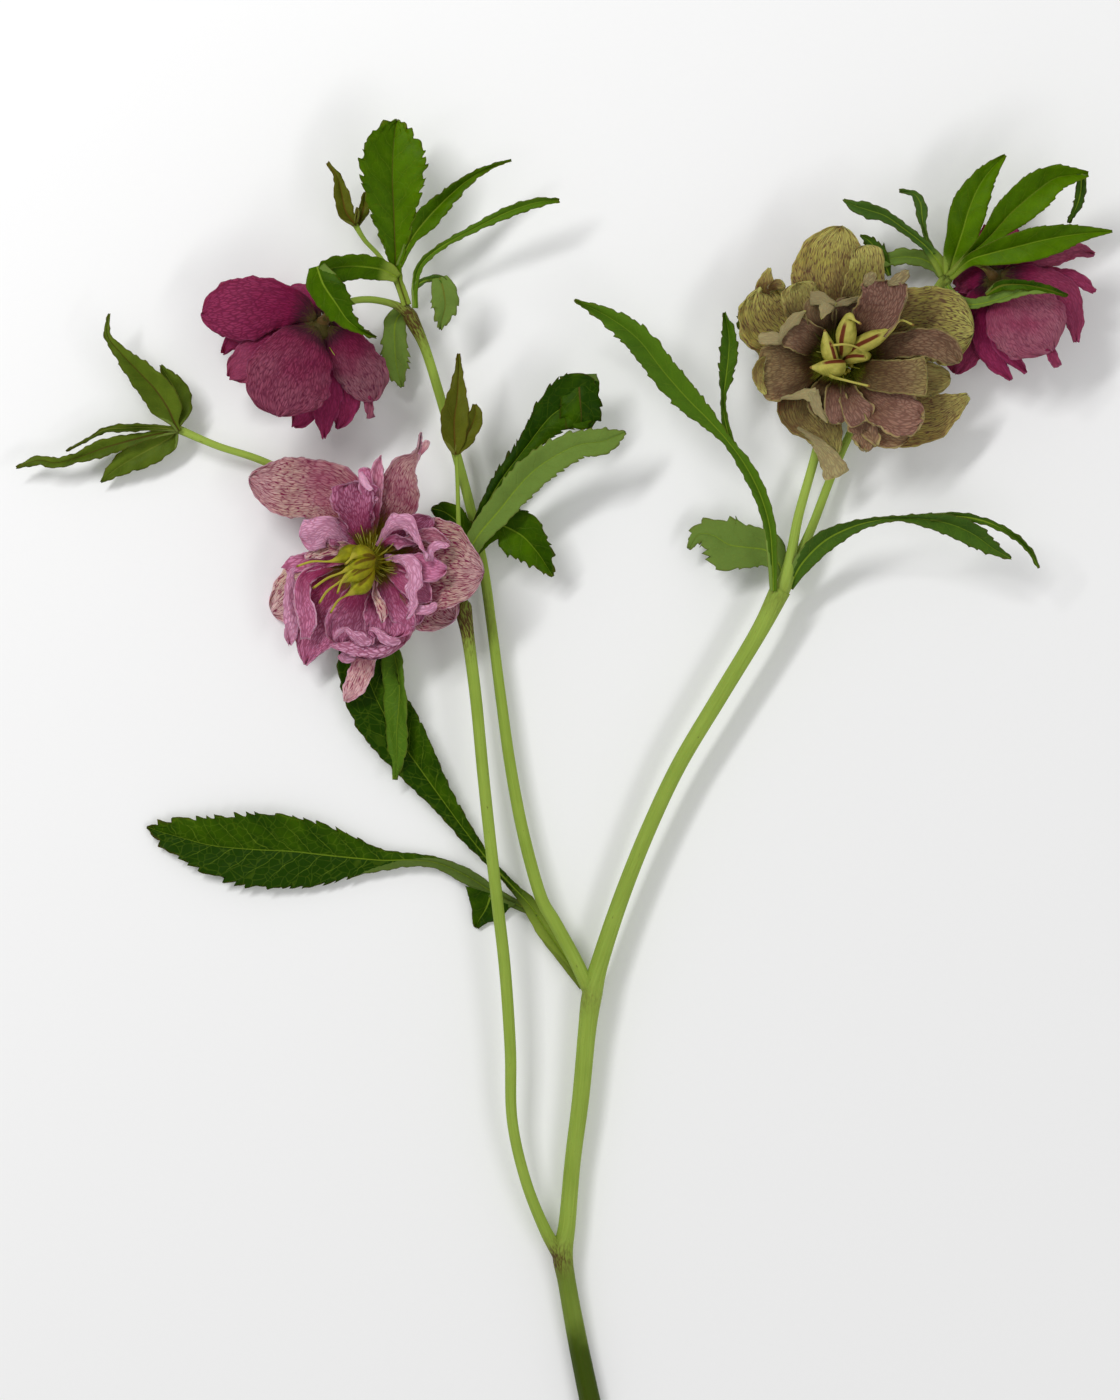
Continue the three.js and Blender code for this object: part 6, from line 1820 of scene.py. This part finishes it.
FLOWER_PINK = Flower(
    name="flower_pink",
    slot="tepal_pink",
    base=(-57, 63, 15.2),
    axis=(-0.391, -0.261, 0.883),
    seat_radius=5,
    tepals=PINK_TEPALS,
    flaps=PINK_LIPS,
    carpels=(
        ((-61.4, 63.8, 25, 2.3), (-64.4, 63.4, 28.5, 2.8), (-67, 62, 31, 1.3), (-70, 61.2, 32.4),
         (-75, 61.2, 32.6), (-79.4, 59.8, 31.6)),
        ((-59, 63.2, 26, 2.3), (-60.9, 63.7, 30, 2.6), (-62.5, 62.9, 33, 1), (-63.6, 61.8, 34.2),
         (-65, 60.4, 34)),
        ((-58.4, 61.2, 27, 1.9), (-61.4, 60.4, 31, 2.2), (-64.2, 59, 33, 1), (-66.4, 57.8, 34),
         (-70.4, 56.2, 34), (-74.6, 53.3, 32.6)),
        ((-59.2, 58.8, 26.6, 2), (-62, 57.4, 30.4, 2.4), (-64.6, 56, 32, 1.1), (-67.4, 54.6, 33),
         (-70.6, 52.2, 32.6), (-72.8, 48.9, 31)),
        ((-58.8, 56.8, 24.4, 2.4), (-60.6, 54.2, 27.6, 3), (-63, 52.2, 29.4, 1.2), (-65, 51, 30.2),
         (-67.4, 49.4, 30), (-69.5, 46, 28.4)),
        ((-60.4, 59.6, 28, 1.8), (-63, 58.4, 31.6, 1.9), (-64.8, 56.8, 33, 0.8), (-66.2, 55, 34),
         (-67.4, 51.8, 33)),
    ),
    filaments=44,
)

OLIVE_TEPALS = (
    sheet(OUTER, (82.6, 131, 15.5, 9), (82, 139, 17, 12.6), (81.4, 147, 18.5, 12.8),
          (81.6, 154.4, 20.5, 11), (83.6, 161.8, 22, 6.8), cup=24, tip=0.32, mix=1, shade=0.15,
          mark=0.7),
    sheet(OUTER, (73.5, 126.5, 13.4, 8), (67, 130.8, 14.4, 10.8), (61.8, 136, 16, 10.8),
          (59.4, 143.6, 17.6, 6.2), tip=0.14, frill=0.9, rag=0.7, mix=1, mark=0.7),
    sheet(OUTER, (94, 127, 15, 8), (103, 132, 16, 10.8), (111.5, 132.4, 17.5, 11.4),
          (118, 131.2, 18.2, 11), (123.2, 130.4, 18.8, 8), cup=24, tip=0.22, mix=0.95, mark=0.9),
    sheet(OUTER, (92.5, 112, 12.8, 8.5), (100.5, 106.6, 12.6, 10.5), (109.5, 105.2, 13, 8.6),
          (116, 107.6, 14, 4.8), (121.8, 111.2, 15, 0.9), tip=0, frill=0.2, mix=0.75, shade=0.2,
          mark=0.8),
    sheet(OUTER, (77, 113, 14, 8), (74.4, 108.2, 14, 10), (77.2, 102.8, 13.8, 7.6),
          (80.2, 98, 13.8, 4.4), (82.2, 93.6, 13.8, 1.6), tip=0.1, rise=1.8, mix=0.6, shade=-0.3,
          mark=0.5),
    sheet(INNER, (86.4, 134, 18.6, 4.5), (90, 143, 21, 6.4), (91.2, 150, 23, 5.4),
          (90.6, 156, 24.4, 4.8), tip=0.06, ruffle=0.4, frill=0.3, mix=0.9, mark=0.6),
    sheet(INNER, (90, 130, 23.4, 5.6), (94.2, 136, 27, 6.8), (96.2, 141, 29, 7.2),
          (96.6, 145.4, 29.4, 7.4), tip=0.06, ruffle=1, frill=1.1, shade=0.05, mark=0.5),
    # Partly painted shade: these two tepals deep in the hollow above the seed cases are darkened as
    # if in its shadow, besides their own dark base.
    sheet(INNER, (79, 130.6, 20.6, 3.6), (77, 136, 22.6, 5), (76.4, 141, 23.4, 4.6), tip=0.15,
          mix=0.2, shade=-0.6, base=0.3),
    sheet(INNER, (84.4, 131.4, 20.2, 3.4), (85, 136, 22.4, 4.6), (86, 140.6, 23.4, 3.4), tip=0.15,
          mix=0.1, shade=-0.6, base=0.35),
    sheet(INNER, (76, 131, 17.6, 5.4), (72.4, 137.2, 19.2, 6.2), (70, 144.8, 20.4, 6), tip=0.08,
          mix=0.7, shade=-0.05, mark=0.4, base=0.2),
    sheet(INNER, (75.6, 127, 20, 4.8), (70.6, 129.6, 21.8, 5.6), (66, 130.6, 23, 4.8), cup=70,
          tip=0.08, mix=0.1, shade=-0.2, mark=0.2, base=0.2),
    sheet(INNER, (73, 120.4, 16.2, 6.8), (67, 118.8, 17, 8.4), (62, 118, 18.4, 8.6),
          (58.6, 117.6, 19.4, 7.8), cup=30, tip=0.1, mix=0.25, shade=-0.1, mark=0.4),
    sheet(INNER, (66, 117.6, 14.6, 5), (61, 116.8, 15.2, 5.6), (57.2, 116.4, 15.4, 4.6), ruffle=0.3,
          mix=0.7, shade=0.05, mark=0.3, edge=0.6),
    sheet(POINTED, (77.6, 113, 18.8, 3), (76.4, 108.4, 19.6, 3.6), (77.6, 104, 19.4, 1.2), mix=0.3,
          shade=-0.35, mark=0.3),
    sheet(INNER, (81.8, 112, 20.4, 3.2), (82, 107, 21.6, 4), (83, 102.6, 21.6, 3), tip=0.15,
          shade=0.4, mark=0.4),
    sheet(INNER, (86, 111, 21.2, 3.2), (88, 106.6, 22.6, 4.8), (90.4, 103.2, 22.8, 5.2), tip=0.12,
          ruffle=0.4, shade=0.4, mark=0.4),
    sheet(INNER, (90, 112.6, 19.6, 5.2), (96, 108, 21.6, 7), (101.6, 105.4, 22.4, 7.4),
          (108.2, 104.6, 22.4, 6.6), frill=0.9, rag=0.9, shade=0.7, mark=0.4),
    sheet(INNER, (90, 109, 16.8, 5), (95.6, 103.6, 17.6, 7.8), (100.6, 100.8, 17.8, 7.2),
          (104.4, 99.4, 17.6, 4.6), frill=0.6, mix=0.15, shade=0.5, mark=0.4),
    sheet(INNER, (88, 107, 19.4, 4.2), (90.2, 102.4, 19.8, 5), (90.8, 98.6, 19.4, 4),
          (90.6, 94.6, 18.8, 2.2), tip=0.08, rag=1, mix=0.1, shade=0.45, mark=0.4),
    sheet(INNER, (91.6, 117.6, 20.6, 4.4), (98, 116.6, 22.8, 5.2), (104, 116.4, 24.2, 5.8),
          (109.2, 116.6, 25, 6.2), tip=0.04, ruffle=0.4, frill=0.3, mix=0.3, shade=-0.15, mark=0.5),
    sheet(INNER, (94, 124.4, 19.3, 3.2), (101, 126.2, 20.8, 4), (108, 127.2, 22, 4.4),
          (114, 125.4, 22.4, 4.6), (119, 121.2, 21.8, 3), tip=0.1, mix=0.1, shade=-0.15, mark=0.5),
    sheet(INNER, (98, 117.4, 15.2, 4.2), (108, 116.2, 15.7, 5.4), (116.4, 116.2, 16, 4.6), cup=20,
          ruffle=0.3, mix=0.6, shade=-0.2, mark=0.2),
)

OLIVE_LIPS = (
    sheet(LIP, (70.4, 101.6, 14.6, 0.5), (75.2, 98.2, 15, 1.4), (78.8, 94, 14.8, 2.8),
          (81, 90.4, 14.6, 3.7), (82.5, 86.8, 14.2, 4), tip=0.04, mix=1, shade=0.35, mark=0.2,
          turned=1),
    sheet(SHARP_LIP, (60, 142, 17.8, 2.6), (61, 145.6, 18.4, 2.4), (62, 149.5, 18.8, 0.4), cup=20,
          mix=1, shade=0.15, mark=0.6),
    sheet(SHARP_LIP, (61.6, 143, 18.4, 1), (64.2, 144.4, 19, 1.8), (66.8, 143.6, 18.8, 0.5),
          mix=0.8, shade=-0.1, mark=0.4),
    sheet(LIP, (90, 143.8, 29.8, 0.8), (91.8, 145.8, 31, 1.8), (93.2, 147.6, 31, 1.2), mix=0.7,
          mark=0.3, turned=1),
    sheet(LIP, (97.2, 144.2, 29.8, 0.7), (100, 145.4, 31, 1.7), (102.4, 147.2, 31, 1.6),
          (103.4, 148.2, 30.6, 0.8), mix=0.7, mark=0.3, turned=1),
    sheet(SHARP_LIP, (74, 140.2, 24.8, 2.2), (77.6, 140, 25.8, 1.9), (82, 138.4, 25.4, 0.3),
          mix=0.8, shade=-0.1, turned=1),
    sheet(SHARP_LIP, (79.6, 138.6, 25.8, 2.3), (78.4, 136.6, 26.2, 1.7), (77.4, 134, 25.6, 0.3),
          mix=0.9, shade=0.2, turned=1),
    sheet(SHARP_LIP, (81, 138, 24.8, 0.6), (84.6, 138.9, 25.2, 1), (88.8, 140.2, 25.2, 0.9),
          mix=0.6, shade=-0.3, turned=1),
    sheet(SHARP_LIP, (64.6, 127, 24, 0.6), (66.4, 130.8, 24.8, 1.2), (69.4, 133.8, 25.2, 1.7),
          (72.6, 136.4, 25, 0.3), mix=0.8, shade=0.05, turned=1),
    sheet(LIP, (65.6, 128, 24, 1.6), (62, 128.2, 24.2, 2.1), (58.4, 128, 23.8, 1.4), mix=0.5,
          shade=0.2, turned=1),
    sheet(LIP, (60.8, 122.6, 20.6, 0.6), (58.8, 119.8, 21, 1.7), (58.8, 115.4, 21, 1.6),
          (60.8, 111.4, 20.6, 0.6), mix=1, shade=0.05, mark=0.3),
    sheet(LIP, (65.4, 110.2, 22, 0.4), (69.6, 110.9, 23, 1), (73, 111.4, 23.6, 1.8),
          (75.8, 111.2, 23.6, 2.4), cup=-20, tip=0.03, mix=0.7, shade=0.25, turned=1),
    sheet(SHARP_LIP, (74.8, 112.6, 23.6, 1.8), (75.6, 109.2, 23.6, 1.7), (77, 106, 23, 1.3),
          (79.3, 103.2, 22.4, 0.3), cup=-20, mix=0.7, shade=0.2, turned=1),
)

FLOWER_OLIVE = Flower(
    name="flower_olive",
    slot="tepal_olive",
    base=(83.4, 121, 11.9),
    axis=(0, 0, 1),
    seat_radius=5,
    tepals=OLIVE_TEPALS,
    flaps=OLIVE_LIPS,
    carpels=(
        ((84.6, 126, 22, 2.6), (84.9, 130, 26, 3.1), (85.8, 134.4, 28, 1.5), (87.3, 133.4, 29.6),
         (89, 132.4, 29.6)),
        ((89, 126, 22, 2.6), (93.5, 128.3, 25, 2.5), (98, 130.8, 27, 1), (101, 133.4, 28.4),
         (104.8, 132.1, 28)),
        ((80.3, 122.6, 23, 2.2), (79.3, 125.8, 25, 2.2), (78.4, 130.4, 26.4)),
        ((82, 119.4, 23, 2.8), (78.5, 119.3, 25, 2.4), (74.2, 119.4, 26)),
        ((80, 117, 26, 0.6), (84.5, 115.5, 27.4), (91.6, 113.8, 27)),
        ((87.5, 123, 21, 2.3), (91.3, 123, 22, 1.2), (88.5, 125.2, 25.6), (84.6, 126.2, 28.6),
         (80.4, 125.9, 29.4)),
    ),
    filaments=6,
)

UPPER_LEFT_TEPALS = (
    sheet(OUTER_BACK, (-79, 137, 26.4, 4.8), (-86, 138.2, 25, 7.6), (-94, 137.6, 22.8, 9.8),
          (-101.5, 136.8, 19.6, 9.4), (-108.6, 135.8, 16, 6.6), mix=0.05, shade=-0.12, mark=0.5),
    sheet(OUTER_BACK, (-76, 127.6, 30.6, 8.2), (-79.5, 121, 33, 12.4), (-82.4, 114.6, 33.2, 13.2),
          (-84.6, 108.6, 31.8, 11.4), (-85.4, 104.8, 30.5, 9), tip=0.22, mix=0.4, shade=-0.12,
          mark=0.7),
    sheet(OUTER_BACK, (-66, 126.5, 27, 5.8), (-61.8, 120.5, 25.5, 7.6), (-58.5, 115, 23.5, 7.5),
          (-56.5, 109.6, 21.5, 5.6), mix=0.85, shade=-0.3, mark=0.4),
    sheet(OUTER_BACK, (-76.4, 138, 20, 5), (-80, 140.6, 13, 7.5), (-84, 141.4, 6, 8),
          (-87, 140.6, 0.8, 6), tip=0.4, shade=-0.2),
    sheet(OUTER_BACK, (-69, 134.8, 20, 5), (-67, 133, 12, 7), (-66.5, 130, 5.6, 7),
          (-66, 126, 0.4, 5.6), tip=0.4, shade=-0.2),
    sheet(POINTED_BACK, (-85, 130, 20, 5), (-95, 128.5, 16, 5), (-100, 127, 14, 2.6),
          (-102.2, 123.8, 13, 0.6), shade=0.1),
    sheet(POINTED_BACK, (-84, 127, 22, 5.5), (-92, 122.5, 20, 7), (-98, 118.6, 17, 4.6),
          (-100.4, 116.6, 16, 1.2), mix=0.2, shade=0.15),
    sheet(POINTED_BACK, (-76.5, 119, 21.4, 5.5), (-78, 110, 18.8, 6), (-78.5, 105, 17, 4),
          (-81, 101.8, 16, 0.8), shade=0.15),
    sheet(POINTED_BACK, (-70.5, 118, 23.4, 4.5), (-71, 109, 21, 4.6), (-71.5, 103.5, 19.2, 3),
          (-71.8, 98.4, 17.4, 0.7), shade=0.15),
    sheet(POINTED_BACK, (-67, 118, 21.8, 4.5), (-65.6, 110, 19.4, 5), (-66.4, 104.5, 17.6, 2.9),
          (-67.8, 101.2, 16.6, 0.7), shade=0.15),
    sheet(INNER_BACK, (-79.5, 124, 15, 5), (-83, 118, 7, 6), (-84, 114, 1.4, 4), shade=-0.2),
    sheet(INNER_BACK, (-70, 121, 15, 5), (-69, 114, 7, 6), (-68.5, 109, 1.4, 4), shade=-0.2),
)

UPPER_LEFT_LIPS = (
    sheet(INNER_BACK, (-58.6, 111.5, 22, 1.4), (-58.2, 107.6, 21, 1.3), (-57.6, 104.4, 20.4, 1.3),
          tip=0, mix=0.7),
)

FLOWER_UPPER_LEFT = Flower(
    name="flower_upper_left",
    slot="tepal_magenta",
    base=(-71.8, 133.2, 27),
    axis=(-0.352, -0.755, -0.553),
    seat_radius=3.6,
    tepals=UPPER_LEFT_TEPALS,
    flaps=UPPER_LEFT_LIPS,
    carpels=(
        ((-77, 125, 17, 2.2), (-79, 120, 13, 1.6), (-79.4, 115, 10.4), (-78, 111, 9.4)),
        ((-73.6, 123.6, 18, 2.2), (-74.4, 118.4, 15, 1.6), (-75, 113, 13), (-77, 109, 13)),
        ((-75.4, 126, 15, 2.2), (-76, 121.6, 10.4, 1.6), (-74.6, 117, 7.6), (-72.6, 114, 7)),
    ),
)

UPPER_RIGHT_TEPALS = (
    sheet(OUTER_BACK, (133, 141.5, 24.4, 8), (136.5, 136.5, 25.6, 11.7), (140.5, 131.5, 25.6, 12.2),
          (144, 127.3, 24.6, 10.4), (146.2, 124.4, 23.2, 8), mix=0.6, shade=0.25, mark=0.2),
    sheet(OUTER_BACK, (126, 139.6, 16, 5), (122.8, 132, 12.8, 7.4), (120.2, 125.5, 11.4, 6.8),
          (118, 118, 10.6, 4.4), mix=0.1, shade=-0.2),
    sheet(OUTER_BACK, (137, 146.6, 22.4, 4), (144.5, 144.3, 22, 5.2), (150.6, 140.3, 20.5, 5.4),
          (153.4, 134, 19, 3.2), (154, 127.2, 17.5, 0.6), cup=-30, tip=0, mix=0.2, shade=0.05),
    sheet(POINTED_BACK, (139, 151.3, 21, 2.6), (147, 153, 20, 3.2), (153.5, 155, 19, 2.6),
          (159.5, 153.4, 18.5, 0.7), mix=0.3, shade=0.1),
    sheet(POINTED_BACK, (140, 149.4, 19.4, 2), (148, 148, 18.6, 1.6), (154, 146.4, 17.6, 2.4),
          (159.8, 142.4, 16.6, 0.8), mix=0.1, shade=0.05),
    sheet(OUTER_BACK, (131.5, 153, 16.6, 5.5), (134, 157.5, 12.6, 7.2), (136, 161.6, 9.6, 5.4),
          tip=0.4, shade=-0.1),
    sheet(POINTED_BACK, (126.3, 154, 13.8, 3.6), (126.8, 159, 9.4, 2.8), (127.3, 162.8, 8.4, 0.7),
          shade=-0.1),
    sheet(POINTED_BACK, (123, 147, 15.4, 4.2), (119.6, 145.6, 10.4, 3.6), (117.4, 144.4, 6, 1.2),
          mix=0.1, shade=-0.3),
    sheet(INNER_BACK, (124.6, 142, 13.4, 3.6), (121.6, 139.6, 7.6, 4), (120, 137, 3.2, 2.6),
          shade=-0.2),
    sheet(POINTED_BACK, (127, 135, 16.6, 3.4), (127.5, 127.5, 14.6, 4.4), (130.5, 121, 13, 3.1),
          (134.8, 116, 12.4, 0.6), shade=0.1),
    sheet(POINTED_BACK, (131, 133, 19, 4), (133, 125.5, 17.6, 3.3), (139.1, 118, 16.6, 0.6),
          shade=0.1),
    sheet(INNER_BACK, (138, 145, 12, 5), (143, 142, 6, 6), (146, 139, 1, 4), shade=-0.1),
    sheet(INNER_BACK, (131.6, 137, 10, 5), (133, 130, 4.6, 6), (134, 125.4, 0.8, 4), shade=-0.1),
)

UPPER_RIGHT_LIPS = (
    sheet(INNER_BACK, (144.6, 127, 24, 1.5), (147, 122.5, 22.8, 1.7), (148.4, 119.6, 22.2, 1.3),
          tip=0, mix=0.2, shade=0.1),
)

FLOWER_UPPER_RIGHT = Flower(
    name="flower_upper_right",
    slot="tepal_magenta",
    base=(128.9, 147, 22),
    axis=(0.401, -0.381, -0.833),
    seat_radius=3.6,
    tepals=UPPER_RIGHT_TEPALS,
    flaps=UPPER_RIGHT_LIPS,
    carpels=(
        ((134, 142.6, 12.6, 2.2), (137, 139.6, 9.4, 1.6), (139.4, 136.4, 7.4), (139.6, 133, 6.6)),
        ((131.6, 143.6, 11.4, 2.2), (133, 141, 7.4, 1.6), (135, 138, 4.6), (137.4, 136.6, 3.6)),
        ((134.4, 145.2, 11.4, 2.1), (137.4, 143.6, 7.4, 1.5), (139.6, 141, 4.8), (140, 138, 3.8)),
    ),
)

FLOWERS = (
    (FLOWER_PINK, PINK_SKIN, GOLD_CARPEL, SEAT_GOLD),
    (FLOWER_OLIVE, OLIVE_SKIN, LIME_CARPEL, SEAT_GOLD),
    (FLOWER_UPPER_LEFT, MAGENTA_SKIN, GOLD_CARPEL, SEAT_SKIN),
    (FLOWER_UPPER_RIGHT, MAGENTA_SKIN, GOLD_CARPEL, SEAT_SKIN),
)


# ------------------------ studio


@dataclass(frozen=True)
class Studio:
    """The pale floor, the soft lights and the camera that looks straight down.

    Attributes:
        aim: the place in mm that lights and camera face.
        frame_height: height in mm of what the camera sees.
        lens: the camera's focal length in mm.
        sensor: the size of its sensor in mm.
        floor_half: half the side of the floor in mm.
        sky: strength of the light from all round.
        key: power of the main light in watts.
        fill: power of the light from the other side in watts.
    """

    aim: Point = (-0.9, 19.8, 20.0)
    frame_height: float = 420.0
    lens: float = 300.0
    sensor: float = 36.0
    floor_half: float = 4000.0
    sky: float = 0.46
    key: float = 172.0
    fill: float = 54.0

    def floor(self) -> None:
        """Lays a wide flat card under the flower."""
        half = self.floor_half * MM
        corners = [(-half, -half, 0), (half, -half, 0), (half, half, 0), (-half, half, 0)]
        mesh = bpy.data.meshes.new("floor")
        mesh.from_pydata(corners, [], [(0, 1, 2, 3)])
        mesh.materials.append(FloorFinish("pale_card", "fafafa").material())
        card = bpy.data.objects.new("floor", mesh)
        bpy.context.scene.collection.objects.link(card)

    def lamp(self, name: str, place: Point, size: float, power: float) -> None:
        """Adds a square soft light that faces the flower.

        Args:
            name: the light's name.
            place: where it hangs, in metres.
            size: the length of its side in metres.
            power: its power in watts.
        """
        light = bpy.data.lights.new(name, "AREA")
        light.size = size
        light.energy = power
        lamp = bpy.data.objects.new(name, light)
        lamp.location = place
        aim = [value * MM - at for value, at in zip(self.aim, place)]
        lamp.rotation_euler = facing(aim)
        bpy.context.scene.collection.objects.link(lamp)

    def build(self) -> None:
        """Builds the floor, the world, the lights and the camera."""
        scene = bpy.context.scene
        self.floor()
        world = bpy.data.worlds.new("studio")
        world.use_nodes = True
        world.node_tree.nodes["Background"].inputs[0].default_value = (1, 1, 1, 1)
        world.node_tree.nodes["Background"].inputs[1].default_value = self.sky
        scene.world = world
        self.lamp("key", (-1.3, 1.3, 2.2), 1.4, self.key)
        self.lamp("fill", (1.5, -0.9, 2.2), 2.0, self.fill)
        lens = bpy.data.cameras.new("camera")
        lens.lens = self.lens
        lens.sensor_width = self.sensor
        lens.clip_end = 100
        camera = bpy.data.objects.new("camera", lens)
        distance = self.frame_height * self.lens / self.sensor
        x, y, z = self.aim
        camera.location = (x * MM, y * MM, (z + distance) * MM)
        scene.collection.objects.link(camera)
        scene.camera = camera
        scene.view_settings.view_transform = "Standard"


def facing(towards: list[float]) -> tuple[float, float, float]:
    """The rotation that turns a light's -Z towards a direction.

    Args:
        towards: the direction, of any length.

    Returns:
        Its angles about X, Y and Z in radians.
    """
    x, y, z = towards
    flat = math.hypot(x, y)
    return (math.atan2(flat, -z), 0.0, math.atan2(x, -y) if flat > 0 else 0.0)


def main() -> None:
    """Builds every piece over the frame and reports each of them."""
    logging.basicConfig(level=logging.INFO, format="%(message)s")
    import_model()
    Studio().build()

    STEM.build(STEM_SKIN.material())
    leaf_skin, olive_skin = LEAF_SKIN.material(), OLIVE_LEAF_SKIN.material()
    for k, leaf in enumerate(LEAVES):
        leaf.build(olive_skin if leaf.brownish else leaf_skin, LEAF_SEED + 10 * k)
    bract_skin = BRACT_SKIN.material()
    for k, bud in enumerate(BUDS):
        bud.build(bract_skin, BUD_SEED + 10 * k)
    ring_skin = NECTARY_SKIN.material()
    for k, (flower, tepal_skin, carpel_skin, seat_skin) in enumerate(FLOWERS):
        flower.corolla(tepal_skin.material(), TEPAL_SEED + 100 * k)
        flower.seat(seat_skin.material())
        flower.centre(carpel_skin.material(), CARPEL_SEED + 10 * k)
        flower.ring(ring_skin, RING_SEED + k)


if __name__ == "__main__":
    main()
